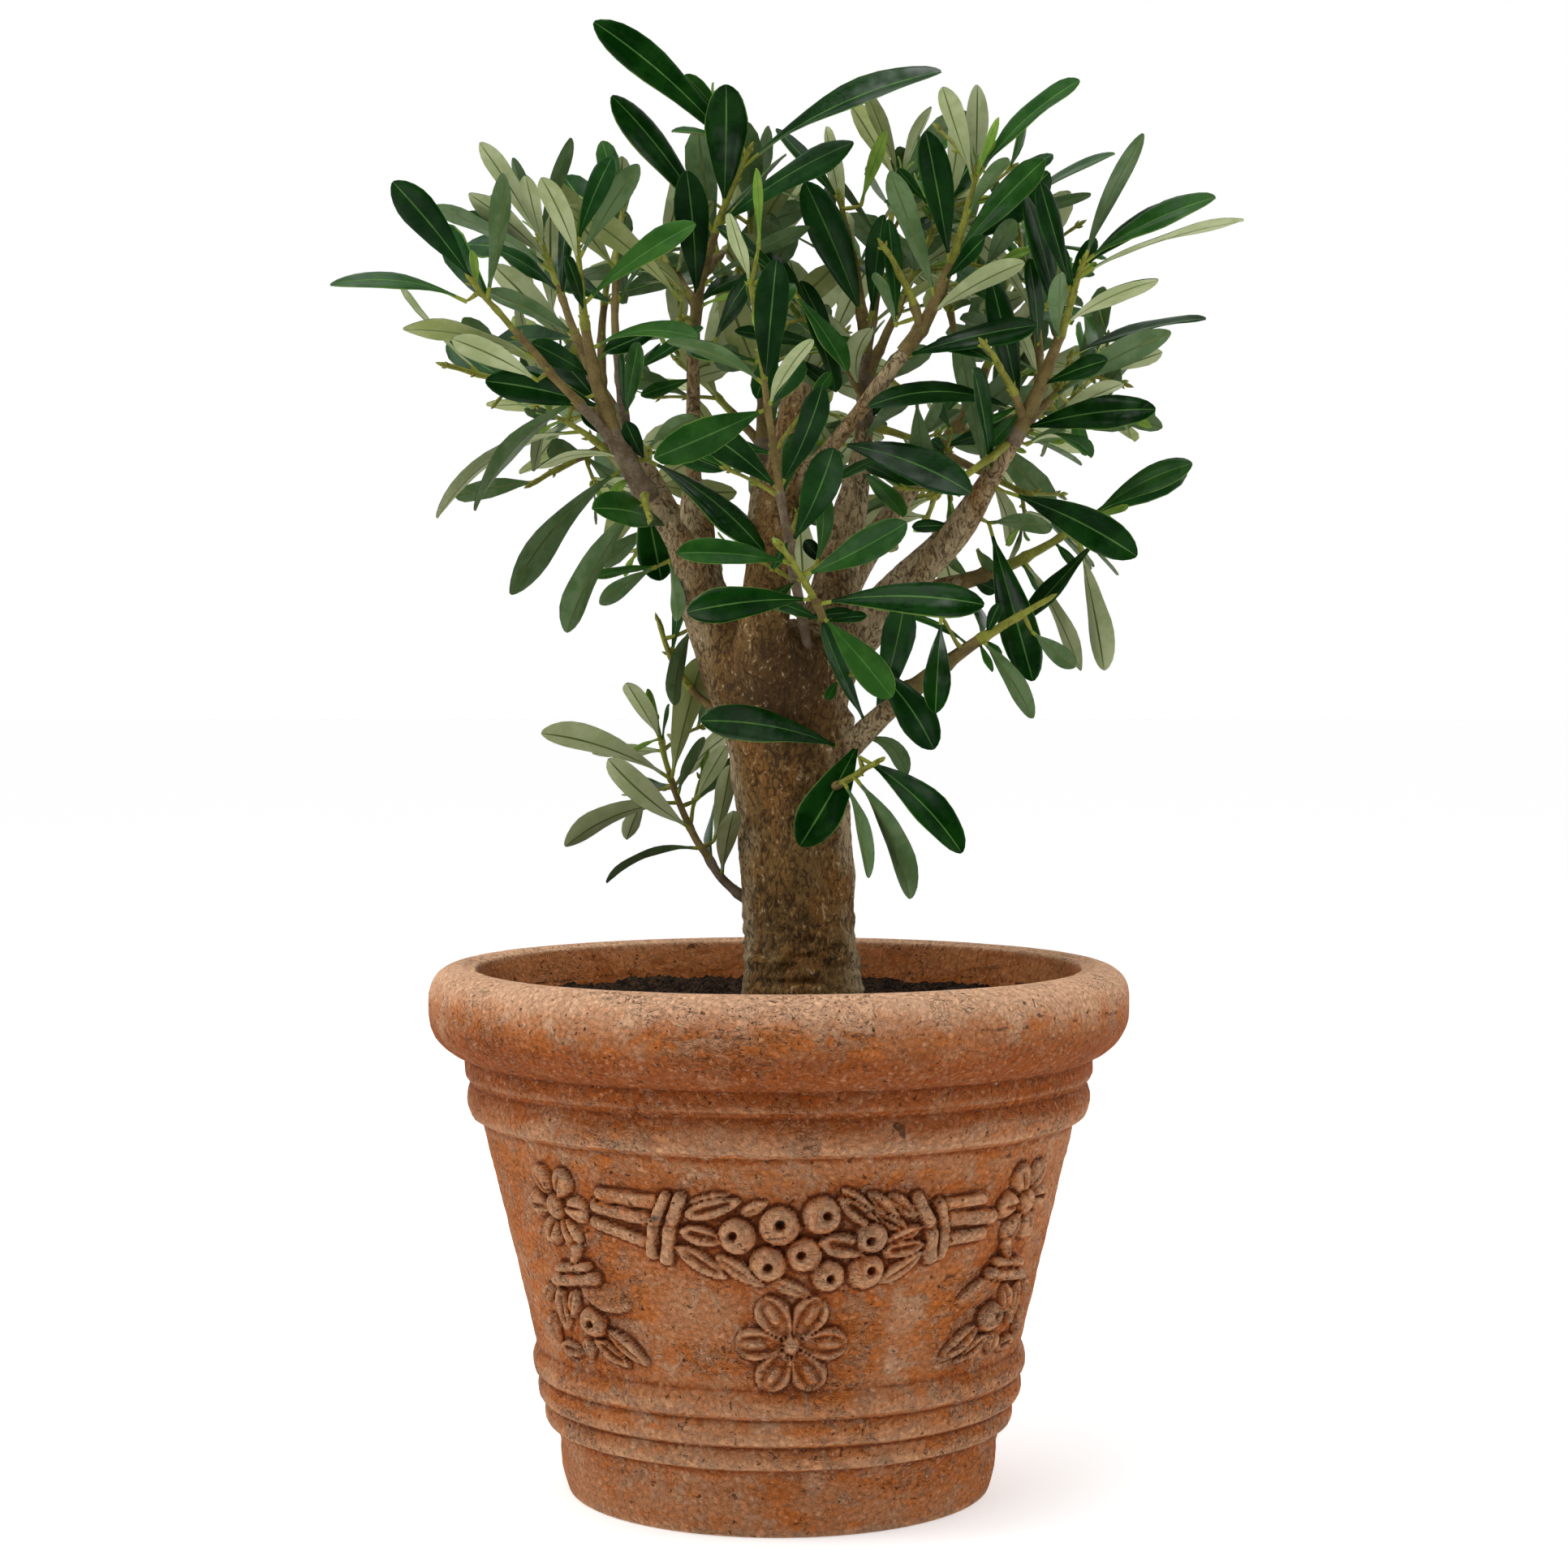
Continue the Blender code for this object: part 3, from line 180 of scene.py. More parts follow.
# Boughs: each a tapering limb through (x, y, z, radius), from inside the trunk or its parent
BOUGHS = {
    "bough_left": [(-12, -4, 360, 15), (-25, -5, 384, 13.6), (-35, -9, 406, 10.8), (-42, -12, 427, 7.6),
                   (-50, -15, 440, 5.6), (-58, -18, 451, 4.6)],
    "bough_left_rear": [(-14, 8, 366, 12), (-30, 22, 396, 10.4), (-37, 32, 426, 9), (-39, 38, 452, 7.6),
                        (-40, 36, 462, 4), (-40, 34, 498, 3.2), (-40, 30, 524, 2.8)],
    "leader_stub": [(-2, -10, 352, 14), (-7, -22, 378, 12.6), (-5, -28, 413, 10.4), (0, -24, 450, 9.2),
                    (6, -18, 482, 7.4), (9, -14, 503, 6.6)],
    "bough_centre_front": [(4, -24, 452, 4.6), (18, -26, 468, 4), (36, -28, 490, 3.6), (56, -30, 516, 3.2)],
    "bough_centre_rear": [(10, 6, 366, 14), (22, 16, 400, 11.6), (28, 22, 424, 10), (32, 26, 444, 8.4),
                          (37, 30, 466, 5.6), (40, 34, 487, 4)],
    "bough_right": [(12, 0, 364, 14), (34, -3, 388, 11.4), (56, -6, 412, 9), (72, -10, 428, 7.4),
                    (84, -13, 442, 6.4), (95, -16, 460, 5), (105, -18, 477, 4)],
    "bough_right_low": [(46, -2, 402, 5.6), (64, 6, 410, 4.4), (84, 4, 415, 3.6)],
    "bough_low_right": [(16, -10, 322, 6.4), (40, -26, 348, 5.2), (54, -31, 361, 4.2)],
    "bough_rear": [(-4, 8, 360, 12), (-6, 34, 396, 8.8), (-10, 62, 434, 6), (-8, 86, 474, 4)],
    "bough_rear_right": [(8, 8, 356, 11), (24, 34, 398, 8), (50, 58, 444, 5.4), (76, 76, 478, 3.8)],
    "bough_rear_left": [(-12, 10, 356, 11), (-26, 44, 400, 8), (-50, 64, 446, 5.4), (-72, 78, 486, 3.8)],
}
BOUGH_SIDES = 7
BOUGH_STEPS = 2

# Masses: the limb that carries each, then its shoots as (parent shoot, place along it, tip, sag,
# roll of the leaf pairs, leaf length, tips of the leaves that draw the outline). A parent of -1 is the limb.
MASSES = {
    "left_crown": ("bough_left", [
        (-1, 0, (-89, -45, 563), 0, 20, 60, [(-92, -62, 606), (-77, -35, 601), (-36, -80, 566),
            (-63, -15, 602)]),
        (0, 0.22, (-134, -70, 544), 10, 60, 62, [(-166, -85, 582), (-196, -88, 541), (-120, -80, 593),
            (-163, -60, 525)]),
        (0, 0.38, (-109, 0, 573), 4, 10, 58, [(-133, 0, 613), (-113, 25, 601)]),
        (0, 0.12, (-74, 45, 590), 4, 40, 56, []),
        (0, 0.04, (-99, -15, 488), -4, 0, 56, [(-151, -45, 444), (-138, -12, 449), (-130, -40, 504),
            (-118, -50, 409), (-96, -35, 393)]),
        (0, 0.02, (-56, -70, 440), 0, 80, 52, [(-51, -75, 413)])]),
    "left_rear_crown": ("bough_left_rear", [
        (-1, 0, (-13, 10, 614), 0, 0, 56, [(-86, -10, 671), (72, -20, 643), (-25, 30, 646),
            (32, -20, 611), (-76, 15, 639), (-40, -25, 597), (-90, -45, 581)]),
        (0, 0.20, (-62, 75, 579), 6, 30, 58, []),
        (0, 0.35, (-23, 85, 581), 6, 70, 58, []),
        (0, 0.10, (-47, -20, 530), 0, 45, 50, [])]),
    "front_spray": ("trunk", [
        (-1, 0, (-12, -66, 544), 0, 0, 44, [(0, -80, 551), (-53, -92, 465), (-35, -88, 480),
            (27, -92, 468), (19, -78, 496)])]),
    "front_shoot": ("trunk", [
        (-1, 0, (0, -105, 428), 0, 0, 28, [(-38, -122, 402), (85, -118, 405), (50, -105, 362),
            (-42, -128, 422), (54, -125, 435)])]),
    "top_right_crown": ("bough_centre_front", [
        (-1, 0, (88, -48, 596), -6, 0, 60, [(130, -60, 631), (87, -25, 636), (66, -62, 609),
            (114, -78, 593), (109, -88, 524), (74, -40, 631)]),
        (0, 0.15, (45, -58, 561), 4, 50, 56, [(44, -80, 571), (14, -72, 584)])]),
    "centre_crown": ("bough_centre_rear", [
        (-1, 0, (28, 30, 596), 0, 10, 58, [(41, 40, 647), (19, 10, 626)]),
        (0, 0.30, (58, 65, 609), 6, 50, 56, [(69, 60, 638)]),
        (0, 0.20, (78, 10, 589), 6, 20, 54, [(111, 25, 586)]),
        (0, 0.12, (6, 5, 548), 4, 70, 54, []),
        (0, 0.02, (78, 14, 476), 6, 20, 44, [])]),
    "right_crown": ("bough_right", [
        (-1, 0, (135, -45, 556), 0, 0, 62, [(158, -60, 608), (193, -40, 583), (211, 5, 580),
            (190, -20, 534), (107, -62, 583)]),
        (0, 0.08, (145, 25, 520), 6, 30, 58, [(182, 35, 532), (169, -15, 495)]),
        (0, 0.30, (113, 15, 564), 4, 60, 58, [(140, 30, 596)]),
        (0, 0.12, (89, -60, 518), 4, 40, 54, [(83, -75, 499)]),
        (0, 0.02, (70, -44, 452), 6, 70, 42, [])]),
    "right_low_crown": ("bough_right_low", [
        (-1, 0, (143, -8, 445), 4, 0, 58, [(185, -25, 468), (158, -45, 426), (151, 0, 376),
            (114, -40, 371)])]),
    "low_right_crown": ("bough_low_right", [
        (-1, 0, (122, -30, 407), 4, 0, 50, [(113, -50, 355), (138, -15, 376), (71, -62, 356),
            (68, -68, 341)])]),
    "low_front_spray": ("trunk", [
        (-1, 0, (45, -62, 335), 0, 0, 58, [(79, -80, 295), (59, -75, 276), (42, -45, 283),
            (9, -98, 300), (-33, -95, 357)])]),
    "sprout": ("trunk", [
        (-1, 0, (-58, 30, 354), 4, 0, 56, [(-72, 30, 367), (-109, 5, 346), (-79, 45, 327),
            (-98, 0, 295), (-80, 12, 278), (-35, 50, 379)])]),
    "left_low_spray": ("trunk", [
        (-1, 0, (-56, 14, 398), 4, 0, 46, [(-51, 20, 359), (-83, 18, 406)])]),
    "rear_crown": ("bough_rear", [
        (-1, 0, (-15, 112, 575), 0, 0, 60, []),
        (0, 0.10, (-52, 130, 530), 6, 30, 60, []),
        (0, 0.10, (34, 132, 545), 6, 60, 60, []),
        (0, 0.05, (0, 158, 500), 8, 10, 60, []),
        (0, 0.30, (-14, 62, 590), 4, 70, 58, []),
        (0, 0.02, (20, 122, 455), 8, 10, 50, [])]),
    "rear_right_crown": ("bough_rear_right", [
        (-1, 0, (115, 96, 560), 0, 0, 60, []),
        (0, 0.10, (158, 78, 510), 6, 30, 60, []),
        (0, 0.08, (116, 134, 500), 6, 60, 60, []),
        (0, 0.30, (72, 104, 582), 4, 10, 58, []),
        (0, 0.02, (128, 52, 452), 8, 30, 50, []),
        (0, 0.02, (72, 112, 448), 8, 50, 50, [])]),
    "rear_left_crown": ("bough_rear_left", [
        (-1, 0, (-120, 86, 560), 0, 0, 60, []),
        (0, 0.10, (-160, 58, 520), 6, 30, 60, []),
        (0, 0.08, (-102, 134, 512), 6, 60, 60, []),
        (0, 0.30, (-78, 104, 588), 4, 10, 58, []),
        (0, 0.02, (-118, 48, 462), 8, 30, 50, []),
        (0, 0.02, (-58, 112, 456), 8, 50, 50, [])]),
}

# Stems that leave the trunk itself: start inside it, and first lean as a share of the stem's length
TRUNK_STEMS = {
    "front_spray": ((14, -18, 380), (-0.08, -0.32, 0.38)),
    "front_shoot": ((22, -14, 386), (0.0, -0.45, 0.15)),
    "low_front_spray": ((16, -16, 318), (0.22, -0.42, 0.10)),
    "sprout": ((-6, 4, 262), (-0.35, 0.05, 0.20)),
    "left_low_spray": ((-20, 8, 352), (-0.45, 0.12, 0.15)),
}

# Where the upper sides of the leaves face: the light outside, but away from the front on the sprout
LIGHT = {
    "sprout": (-0.2, 1.0, 0.5),
    "low_front_spray": (0.1, -1.0, 0.5),
    "left_low_spray": (-0.5, -0.7, 0.5),
}

# Leaves as the front shows them, in places of the plane through the pot's axis, one to a line: tip x, tip
# height, base x, base height, depth of the base, width as seen, look, bow upward in hundredths of its length.
# Looks: T and D glossy and dull dark upper sides, M mid green, S sage undersides, partly real and partly
# standing in for the grey-green sky sheen of upper sides as painted reflection, P pale undersides, F young.
FRONT_TABLE = """
-176 597 -139 549 -70 17 D 2
-210 551 -142 543 -70 8 M 5
-158 586 -106 556 -10 8 S 3
-136 615 -108 570 0 10 P 2
-126 601 -132 546 -65 9 S -2
-121 608 -109 572 0 6 S 0
-141 592 -110 560 0 10 P 2
-95 617 -108 573 0 7 S 0
-115 600 -106 566 0 8 P 0
-108 599 -92 560 -45 11 P 2
-96 587 -44 543 -20 12 P 3
-76 608 -91 571 -45 11 D 0
-64 605 -88 562 -45 11 S 0
-128 566 -104 545 -5 7 D 2
-133 548 -92 528 -40 8 S 2
-171.5 530.5 -114 514 -50 8 P 6
-97 563 -90 537 -45 7 D 0
-140 566 -137 550 -70 4 F 0
-149 526 -110 507 -45 11 P 2
-134 506.5 -82 492.6 -35 15 D 3
-139.3 447.6 -84 500 -35 9 S 11
-156.6 444.3 -89.5 484.2 -10 6 P 13
-110.2 467.4 -71 470.5 -20 5 P 6
-123 409.4 -70 467 -30 12.5 S 7
-97.6 392 -64 454 -30 12.5 S 5
-85 448.5 -54 436 -10 13 M 4
-53.7 415.7 -62 457 -50 18.5 T 0
-84.3 417 -56 422 -10 5 M 2
-82 404.8 -54 420 -10 9 S 3
-46.1 396.8 -48 422 -20 6.5 S 0
-76 451 -67 462 -25 5 F 14
-113 524 -86 508 -35 11 D 2
-90 492 -77 480 -15 6 D 0
-70 488 -61 470 -15 8 D 0
-64 524 -72 490 0 8 M 0
-38 491 -60 476 -15 8 S 2
-37 526 -82 523 -45 8 M 7
-51 525 -11 505 -60 7.5 S 5
-63 500 -41 507 30 7 M 2
-25 466 -60 475 -25 10 D 3
-39.4 487 -1 455 -50 16 T 2
-7 429 -61 472 -40 13.5 T 3
-46.6 428 3 419 -100 13 M 3
-42 401 14 405 -80 16.5 T 2
94 404.5 22 405 -70 15.5 T 3
58.5 442 9 416 -90 15 M -3
88 455.5 27 476 -30 16.5 D 5
25.1 476 5 430 -45 18 D -2
20 504.4 2 459 -55 13 D -3
15 526 -3 496 -60 7 P 2
-1 562 -4 503 -65 15 D 0
12 597 34 534 0 18 D 0
31 511 7 551 5 9 M 2
26 502 8 544 5 9 D 2
42 531 37 504 0 9 P 8
118 532 57 516 -35 12.5 D 3
41 495 105 490 -25 10 D 10
60 499 42 480 30 6.5 S 0
50 499 39 488 30 5 D 0
67 463 63 499 -10 11.5 S 0
82 528 94 460 -15 10 S 0
89 512 96 464 -15 8 D 0
57 445 38 467 25 8 M 0
61 440 80 441 -10 6.5 D 2
72.5 428 86 440 -15 9 D 2
-2.6 435 3 421 -100 3.5 F 2
12 434 23 421 0 8 D 0
97 553 107 490 -25 13 D 0
172.2 493.7 108 484 -25 15.5 T 4
179 529 126 494 0 12.5 S 3
157 506 127 492 0 6.5 P 2
150 516 120 503 -25 9.5 D 2
143 472 113 478 -10 3 M 14
131 484.5 114 478 -10 6 S 0
189 469 142 447 -8 13.5 M 4
163.8 426.7 104 456 -25 18.5 T 5
125 440 96 442 0 9 S 3
116.5 369.7 97 440 -20 19 T 0
112 397 148 437 -10 9 D -2
149.6 374.6 138 432 0 12 P 2
138.7 374.6 115 421 -10 8.5 P 2
136 376 116 392 -30 9 S 0
117 353 95 387 -30 10 S 2
71.8 355 74.4 399 -50 13.5 T 0
102 381 95 387 -30 4.5 M 0
98 374 92 385 -30 3.5 M 0
121 409 112 419 -10 4.5 M 0
136 422 126 432 -10 4.5 M 2
100 411 88 416 0 8 D 0
101 405 91 394 -20 6 D 0
98 420 91 430 0 5.5 S 0
96.5 477 105 492 -20 7 M 0
95 488 105 495 -20 4 M 0
70 480 77 473 10 6 D 0
71 500 79 484 10 5.5 M 0
77 426 88 417 0 5 S 0
60 400 88 386 -25 3.5 M 4
-108.8 346 -48 325 20 13.5 P 3
-98.3 294 -43 316 15 10 P 8
-78 334 -37 303 25 13.5 P -3
-79.3 277.3 -32 295 10 5 S 8
-69.3 368.8 -54 343.5 25 9 P 0
-60 366 -53.3 344 30 4.5 F 0
-50.7 359 -52.3 342 30 1.8 M 0
-67.4 337.6 -54 343 30 2.5 F 3
-34.7 381 -45 325 45 14 P 0
-34.3 344 -41.4 320 40 5.5 S 0
-24 340 -38 315 45 8.5 P 3
-22.8 331 -30 296 40 9 P -4
-21 310 -23 284 35 10 P 0
-48.5 358.8 -40 394 10 8.5 S 5
-35.6 351.3 33 336 -50 17.5 T 3
9.7 294 35 350 -50 21 T 0
84 290.7 37 335 -50 15 T 6
60.6 269.7 33 329 -50 11 S 5
41.6 279.4 31 322 -40 7 S 5
58.5 326 38 340 -30 9 S 22
51.7 362.2 23 400 -60 16 M 2
71 338.4 41 378 -40 17 D 4
58 408 42 352 -35 15 D -2
20 396 37 352 -35 7.5 D -4
-7.7 320 16 338 -35 10 D 2
1 321 18 336 -40 8.5 M 0
22 361 27 370 -30 5 M 0
-34 389 -26 396 -15 4.5 M 0
-87 672 -16 607 5 17.5 T 3
-76 636 -28 573 15 15.5 T 3
-24 641 -25 584 15 20 T 0
-42 602 -38 541 25 17 D 0
74 647 -15 603 10 10 T 4
34 615 -24 575 15 12.5 D 3
48 582 43 535 -35 11 D 0
50 580 54 532 -40 8.5 D 0
-38 578 -84 543 -45 11.5 M 3
-10 603 -9 566 -60 4.5 F 0
22 622 32 576 20 8.5 P 0
49 620 37 586 20 6.5 F 0
14 577 -30 550 25 6.5 S 2
0 546 -36 540 25 5 F 6
-12 555 -30 524 20 8.5 D 0
10 552 28 522 20 9 D 0
-22 583 -18 550 -50 6.5 P 0
75 640 88 598 -45 10.5 P 0
90 641 88 598 -45 9.5 P 0
100 626 90 600 -45 4 F 0
137 643 92 598 -48 8.5 M 3
67 620 73 562 -40 14.5 D 0
69 631 56 598 40 6 P 0
39 641 55 600 40 8.5 P 0
51 602 67 546 -35 12.5 S 0
121 607 77 562 -45 14.5 M 3
104 608 90 582 0 7 S 0
153 610 108 586 10 4.5 M 4
142 592 114 580 10 6 S 2
112 592 126 530 -35 9.5 D 0
119 597 129 548 -35 9.5 D 0
166 619 139 562 -45 7.5 S 3
184 587 140 556 -45 9.5 D 5
199 590 140 560 -42 9.5 M 3
212 580 141 555 -38 5 P 4
173 553 134 532 0 8.5 P 3
195 535 132 518 5 5.5 D 5
127 570 134 547 -40 5.5 M 0
128 556 126 525 -30 7.5 S 0
108 580 94 558 -10 9.5 S 2
94 572 80 549 0 8.5 D 0
112 561 68 537 -35 9.5 P 3
115 566 100 560 10 4.5 F 5
110 530 118 508 -25 5.5 P 0
114 562 120 520 -25 8.5 D 0
45 556 55 530 -35 6.5 S 0
"""
FRONT_LEAVES = [(*map(float, row[:6]), row[6], float(row[7]))
                for row in map(str.split, FRONT_TABLE.strip().splitlines())]
LOOK_LETTERS = "TDMSPF"
UNDERSIDES = "SP"

# Seats of the front's leaves: sites in steps along twigs and thin boughs, chosen by their distance in the
# picture and, with less weight, in depth, with a short shoot where the nearest one is past its reach
THIN_BOUGH = 9.5
SITE_PITCH = 2.0
DEPTH_WEIGHT = 0.15
SHOOT_REACH = 6.0
SHOOT_SAG = 0.08
SHOOT_ROLL = 45.0
SHOOT_RADII = (1.3, 0.12)

# Lean of the front's leaves toward the camera or away: what a full leaf's length lacks in the picture is
# depth. The tries are shares of that lean; a leaf that is loose of all others beyond its root will do too.
FULL_LEAF = 57.0
SMALL_LEAF = 26
LEAF_REACH = 1.03
LEAST_LEAN = 9.0
FRONT_TRIES = (1.0, 0.6, 1.4, 0.2, 1.8, -0.3, 2.3, -0.9, -1.5)
LOOSE_START = 0.3
FRONT_WIDTH = 0.27
YOUNG_WIDTH = 1.2
BOX_SHRINK = 0.98
BOX_MARGIN = 2.0

# Cover: the picture's cells of 1 mm, points over a leaf or a limb that fill them, fewer that test whether a
# grown leaf hides, the share of them that has to, and how near a named tip may come to a leaf of the front
COVER_CELLS = 520
COVER_CORNER = (260, -190)
LIMB_POINTS = (120, 19)
LIMB_SHARE = 0.9
COVER_POINTS = (60, 13)
HIDE_POINTS = (12, 3)
HIDDEN_SHARE = 0.72
TWIN_REACH = 16.0

# Twigs: steps, radii, swelling of a foot on a bough, pull of the limb's direction on the curve, and how far
# a tip moves after a touch, with the sides of the rough tubes that are tested
TWIG_STEPS = 4
TWIG_TRIES = 14
STEM_RADIUS = 2.4
SIDE_RADIUS = 2.5
TIP_RADIUS = 1.3
FOOT_SWELL = 1.15
SIDE_PULL = 0.15
LIMB_PULL = 0.4
TIP_SHIFT = 4
ROUGH_SIDES = 3

# Leaf pairs from the tip down: first place, steps, the twig's bare foot, sizes and spread from the stem
FIRST_PAIR = 4.0
PAIR_PITCH = (14.0, 18.0, 20.0)
BARE_FOOT = 14.0
PAIR_SIZE = (0.92, 1.0, 1.0, 0.94, 0.88)
PAIR_SPREAD = (34.0, 50.0, 58.0, 64.0)

# Leaves of the solids, which the test for room goes by, and the room round them and beside their own twig
LEAF_WIDTH = 0.29
LEAF_WIDEST = 19.0
LEAF_KEEL = 1.3
LEAF_ARCH = 0.045
LEAF_FOLD = 0.12
LEAF_ROOT = 0.4
LEAF_EDGES = ((0.30, 0.42), (0.68, 0.48))
KEEL_PLACE = 0.42
CLEARANCE = 0.6
OWN_CLEARANCE = 0.3
OWN_START = 0.16

# Tries of a grown leaf: shift of a named tip, spread of the size, shrinking and spread of the direction with
# each try, and the turn upward
LEAF_TRIES = 9
NAMED_SHIFT = 2.2
SIZE_SPREAD = 0.08
SIZE_LIMIT = 1.5
TRY_SHRINK = 0.04
WAY_SPREAD = (0.16, 0.05)
UPTURN = 0.5

# Light that upper sides turn to: from outside the crown, from the front and from the sky
LIGHT_SPREAD = (260.0, 90.0)
FRONT_LIGHT = -0.4
NAMED_LIGHT = -0.8
SKY_LIGHT = 0.35
STEM_LIGHT = 0.3
LIGHT_JITTER = 0.3

# Skin of the twigs: corners round them and round a bud, how far from its tip a twig turns tan and then
# grey, its steps between two rows, its taper, how it swells at the leaf pairs and how it wanders
TWIG_SIDES = 7
BUD_SIDES = 5
TWIG_AGES = (38.0, 85.0)
TWIG_FINENESS = 12
TWIG_TAPER = (0.82, 0.22, 90)
NODE_SWELL = 0.24
NODE_WIDTH = 2.2
WANDER = 0.5
WANDER_SIZE = 9

# Buds: length and radius of the one at a twig's tip and of those in the leaf axils, how far these lean
# outward, and places along a bud with the radius there as a share
TIP_BUD = (4.4, 1.15)
BUD_LENGTH = (2.4, 3.8)
BUD_RADIUS = (0.7, 1.0)
BUD_LEAN = (0.5, 0.9)
BUD_PLACES = (0.0, 0.3, 0.65, 1.0)
BUD_SHARES = (0.7, 1.0, 0.7, 0.12)

# Short shoots and young leaves that the solids leave out
SPUR_LENGTH = (15.0, 34.0)
SPUR_LEAN = (48.0, 74.0)
SPUR_LEAVES = 4
SPUR_TURN = 40.0
SPUR_SPREAD = (0.16, 0.15)
SPUR_JITTER = 0.1
SPUR_RADIUS = 1.2
SPUR_TIP = 0.8
SPUR_LEAF = 33.0
SPUR_LEAF_WIDTH = 0.31
LEAFLET_LENGTH = (11.0, 19.0)
LEAFLET_WIDTH = 0.26
LEAFLET_LEAN = (12, 26)

# Leaf blade: rings from the foot of the stalk to the tip, corners across its upper side and its
# underside as shares of its half width, how many of these are on top, and the strip of the leaf that
# starts at each corner; a plain leaf is for the hundreds of grown ones. Kinds of leaves from the first
# front one on are the front's, with calmer habits.
BLADE, RIB, EDGE, BACK, BACK_RIB, STALK = range(6)
PLAIN_LEAF = (
    (0.0, 0.09, 0.20, 0.36, 0.54, 0.72, 0.87, 0.96, 1.0),
    (1.0, 0.94, 0.045, -0.045, -0.94, -1.0, -0.08, 0.08), 6,
    (EDGE, BLADE, RIB, BLADE, EDGE, BACK, BACK_RIB, BACK))
FINE_LEAF = (
    (0.0, 0.04, 0.09, 0.14, 0.20, 0.28, 0.37, 0.46, 0.55, 0.64, 0.73, 0.81, 0.88, 0.94, 0.98, 1.0),
    (1.0, 0.955, 0.72, 0.38, 0.045, -0.045, -0.38, -0.72, -0.955, -1.0, -0.6, -0.07, 0.07, 0.6), 10,
    (EDGE, BLADE, BLADE, BLADE, RIB, BLADE, BLADE, BLADE, EDGE, BACK, BACK, BACK_RIB, BACK, BACK))
FIRST_FRONT = 3
FRONT_CALM = 0.45

# Stalk, outline, rib and thickness of a blade: shares are of its length, half width or width
OUTLINE_PEAK = 0.516
TIP_POWERS = (2.2, 0.6)
BLADE_START = (0.04, 0.2)
TWIST_CENTRE = 0.4
STALK_WIDTH = 0.05
THICK_SHARE = 0.1
RIB_HALF = 0.1
EDGE_PLACE = 0.99
STALK_SHARE = 0.08
STALK_HALF = 0.85
TIP_SHARE = 0.10
LEAF_THICK = 0.5
STALK_THICK = 0.9
LEAF_KEEL_RISE = 0.35

# Habits of single leaves, each drawn between its two values, and how fast ripples and waves follow each other
RIPPLES = 17
WAVES = 9
LEAF_HABIT = {
    "arch": (-0.01, 0.085), "sweep": (-0.035, 0.035), "twist": (-0.5, 0.5), "slim": (0.8, 1.1),
    "fold": (0.04, 0.36), "curl": (0.0, 0.30), "wave": (0.0, 0.16), "ripple": (0.0, 0.035),
    "phase": (0.0, 6.28)}

# Skin of trunk and boughs: how softly they join, the rough tubes that it starts from, and how it is drawn
# onto their smooth join
JOIN_WIDTH = 7.0
VOXEL = 1.06
SLOPE_STEP = 0.4
SKIN_ROUNDS = 3
SKIN_REACH = 3
SKIN_PULL = 0.9
LIMB_STEPS = 3
ROUGH_TRUNK_SIDES = 24
ROUGH_BOUGH_SIDES = 10
TRUNK_SKIN = 0.5

# Bark: widths of its marks and how deep they go on the trunk, the limb radii between which they reach that
# depth and the bark turns old, the heights where the trunk's wrinkled foot ends, the leader's sawn end, a
# hollow as (centre, half sizes) and knots as (centre, radius)
CRACK_SIZE = 3.6
CRACK_DEPTH = 0.55
CRACK_WIDTH = 0.14
FLAKE_SIZE = 2.2
FLAKE_DEPTH = 0.35
LUMP_SIZE = 14.0
LUMP_DEPTH = 1.5
FLUTE_DEPTH = 2.2
BARK_STRETCH = 0.45
WRINKLE_STRETCH = 1.7
WRINKLE_PITCH = (0.08, 0.08, 0.42)
WRINKLE_DEPTH = 1.1
THIN_BARK = 0.25
BARK_RADII = (2.0, 22.0)
OLD_RADII = (2.5, 14.0)
TRUNK_FOOT = (240, 285)
CUT_PLACE = (9, -14, 509)
CUT_REACH = (4.0, 6.5)
HOLLOW = ((13.0, -28.5, 357.0), (5.2, 6.0, 7.5))
KNOTS = [((-26, -14, 364), 4.5), ((-22, -20, 318), 4.0), ((24, -16, 300), 3.6), ((30, -8, 352), 4.4),
         ((-18, -17, 268), 3.4), ((20, -14, 340), 3.8), ((2, -25, 246), 3.0)]

# Noises of each material, as (stretch upward, scale, detail, roughness, distortion)
CLAY_NOISES = (
    (1.0, 17, 4, 0.6, 0.9), (1.0, 75, 6, 0.68, 1.0), (3.2, 34, 6, 0.68, 0.7), (1.0, 420, 5, 0.68, 0.5),
    (2.0, 130, 4, 0.6, 1.2), (1.0, 60, 5, 0.75, 0.8), (1.0, 400, 2, 0.5, 0.3), (1.0, 170, 2, 0.5, 0.5),
    (1.0, 620, 2, 0.5, 0.6))
BARK_NOISES = ((0.55, 38, 4, 0.6, 0.5), (0.55, 330, 5, 0.68, 1.6), (0.25, 700, 3, 0.6, 0.8))
TWIG_NOISES = ((1.0, 140, 4, 0.6, 0.0), (1.0, 900, 3, 0.6, 0.0))
LEAF_NOISES = ((1.0, 70, 3, 0.55, 0.0), (1.0, 380, 3, 0.6, 0.0), (1.0, 26, 3, 0.6, 0.0))
SOIL_NOISES = ((1.0, 260, 5, 0.7, 1.0), (1.0, 420, 2, 0.5, 2.5))
FLOOR_NOISES = ((1.0, 9, 2, 0.6, 0.0),)
DULL = 0.12
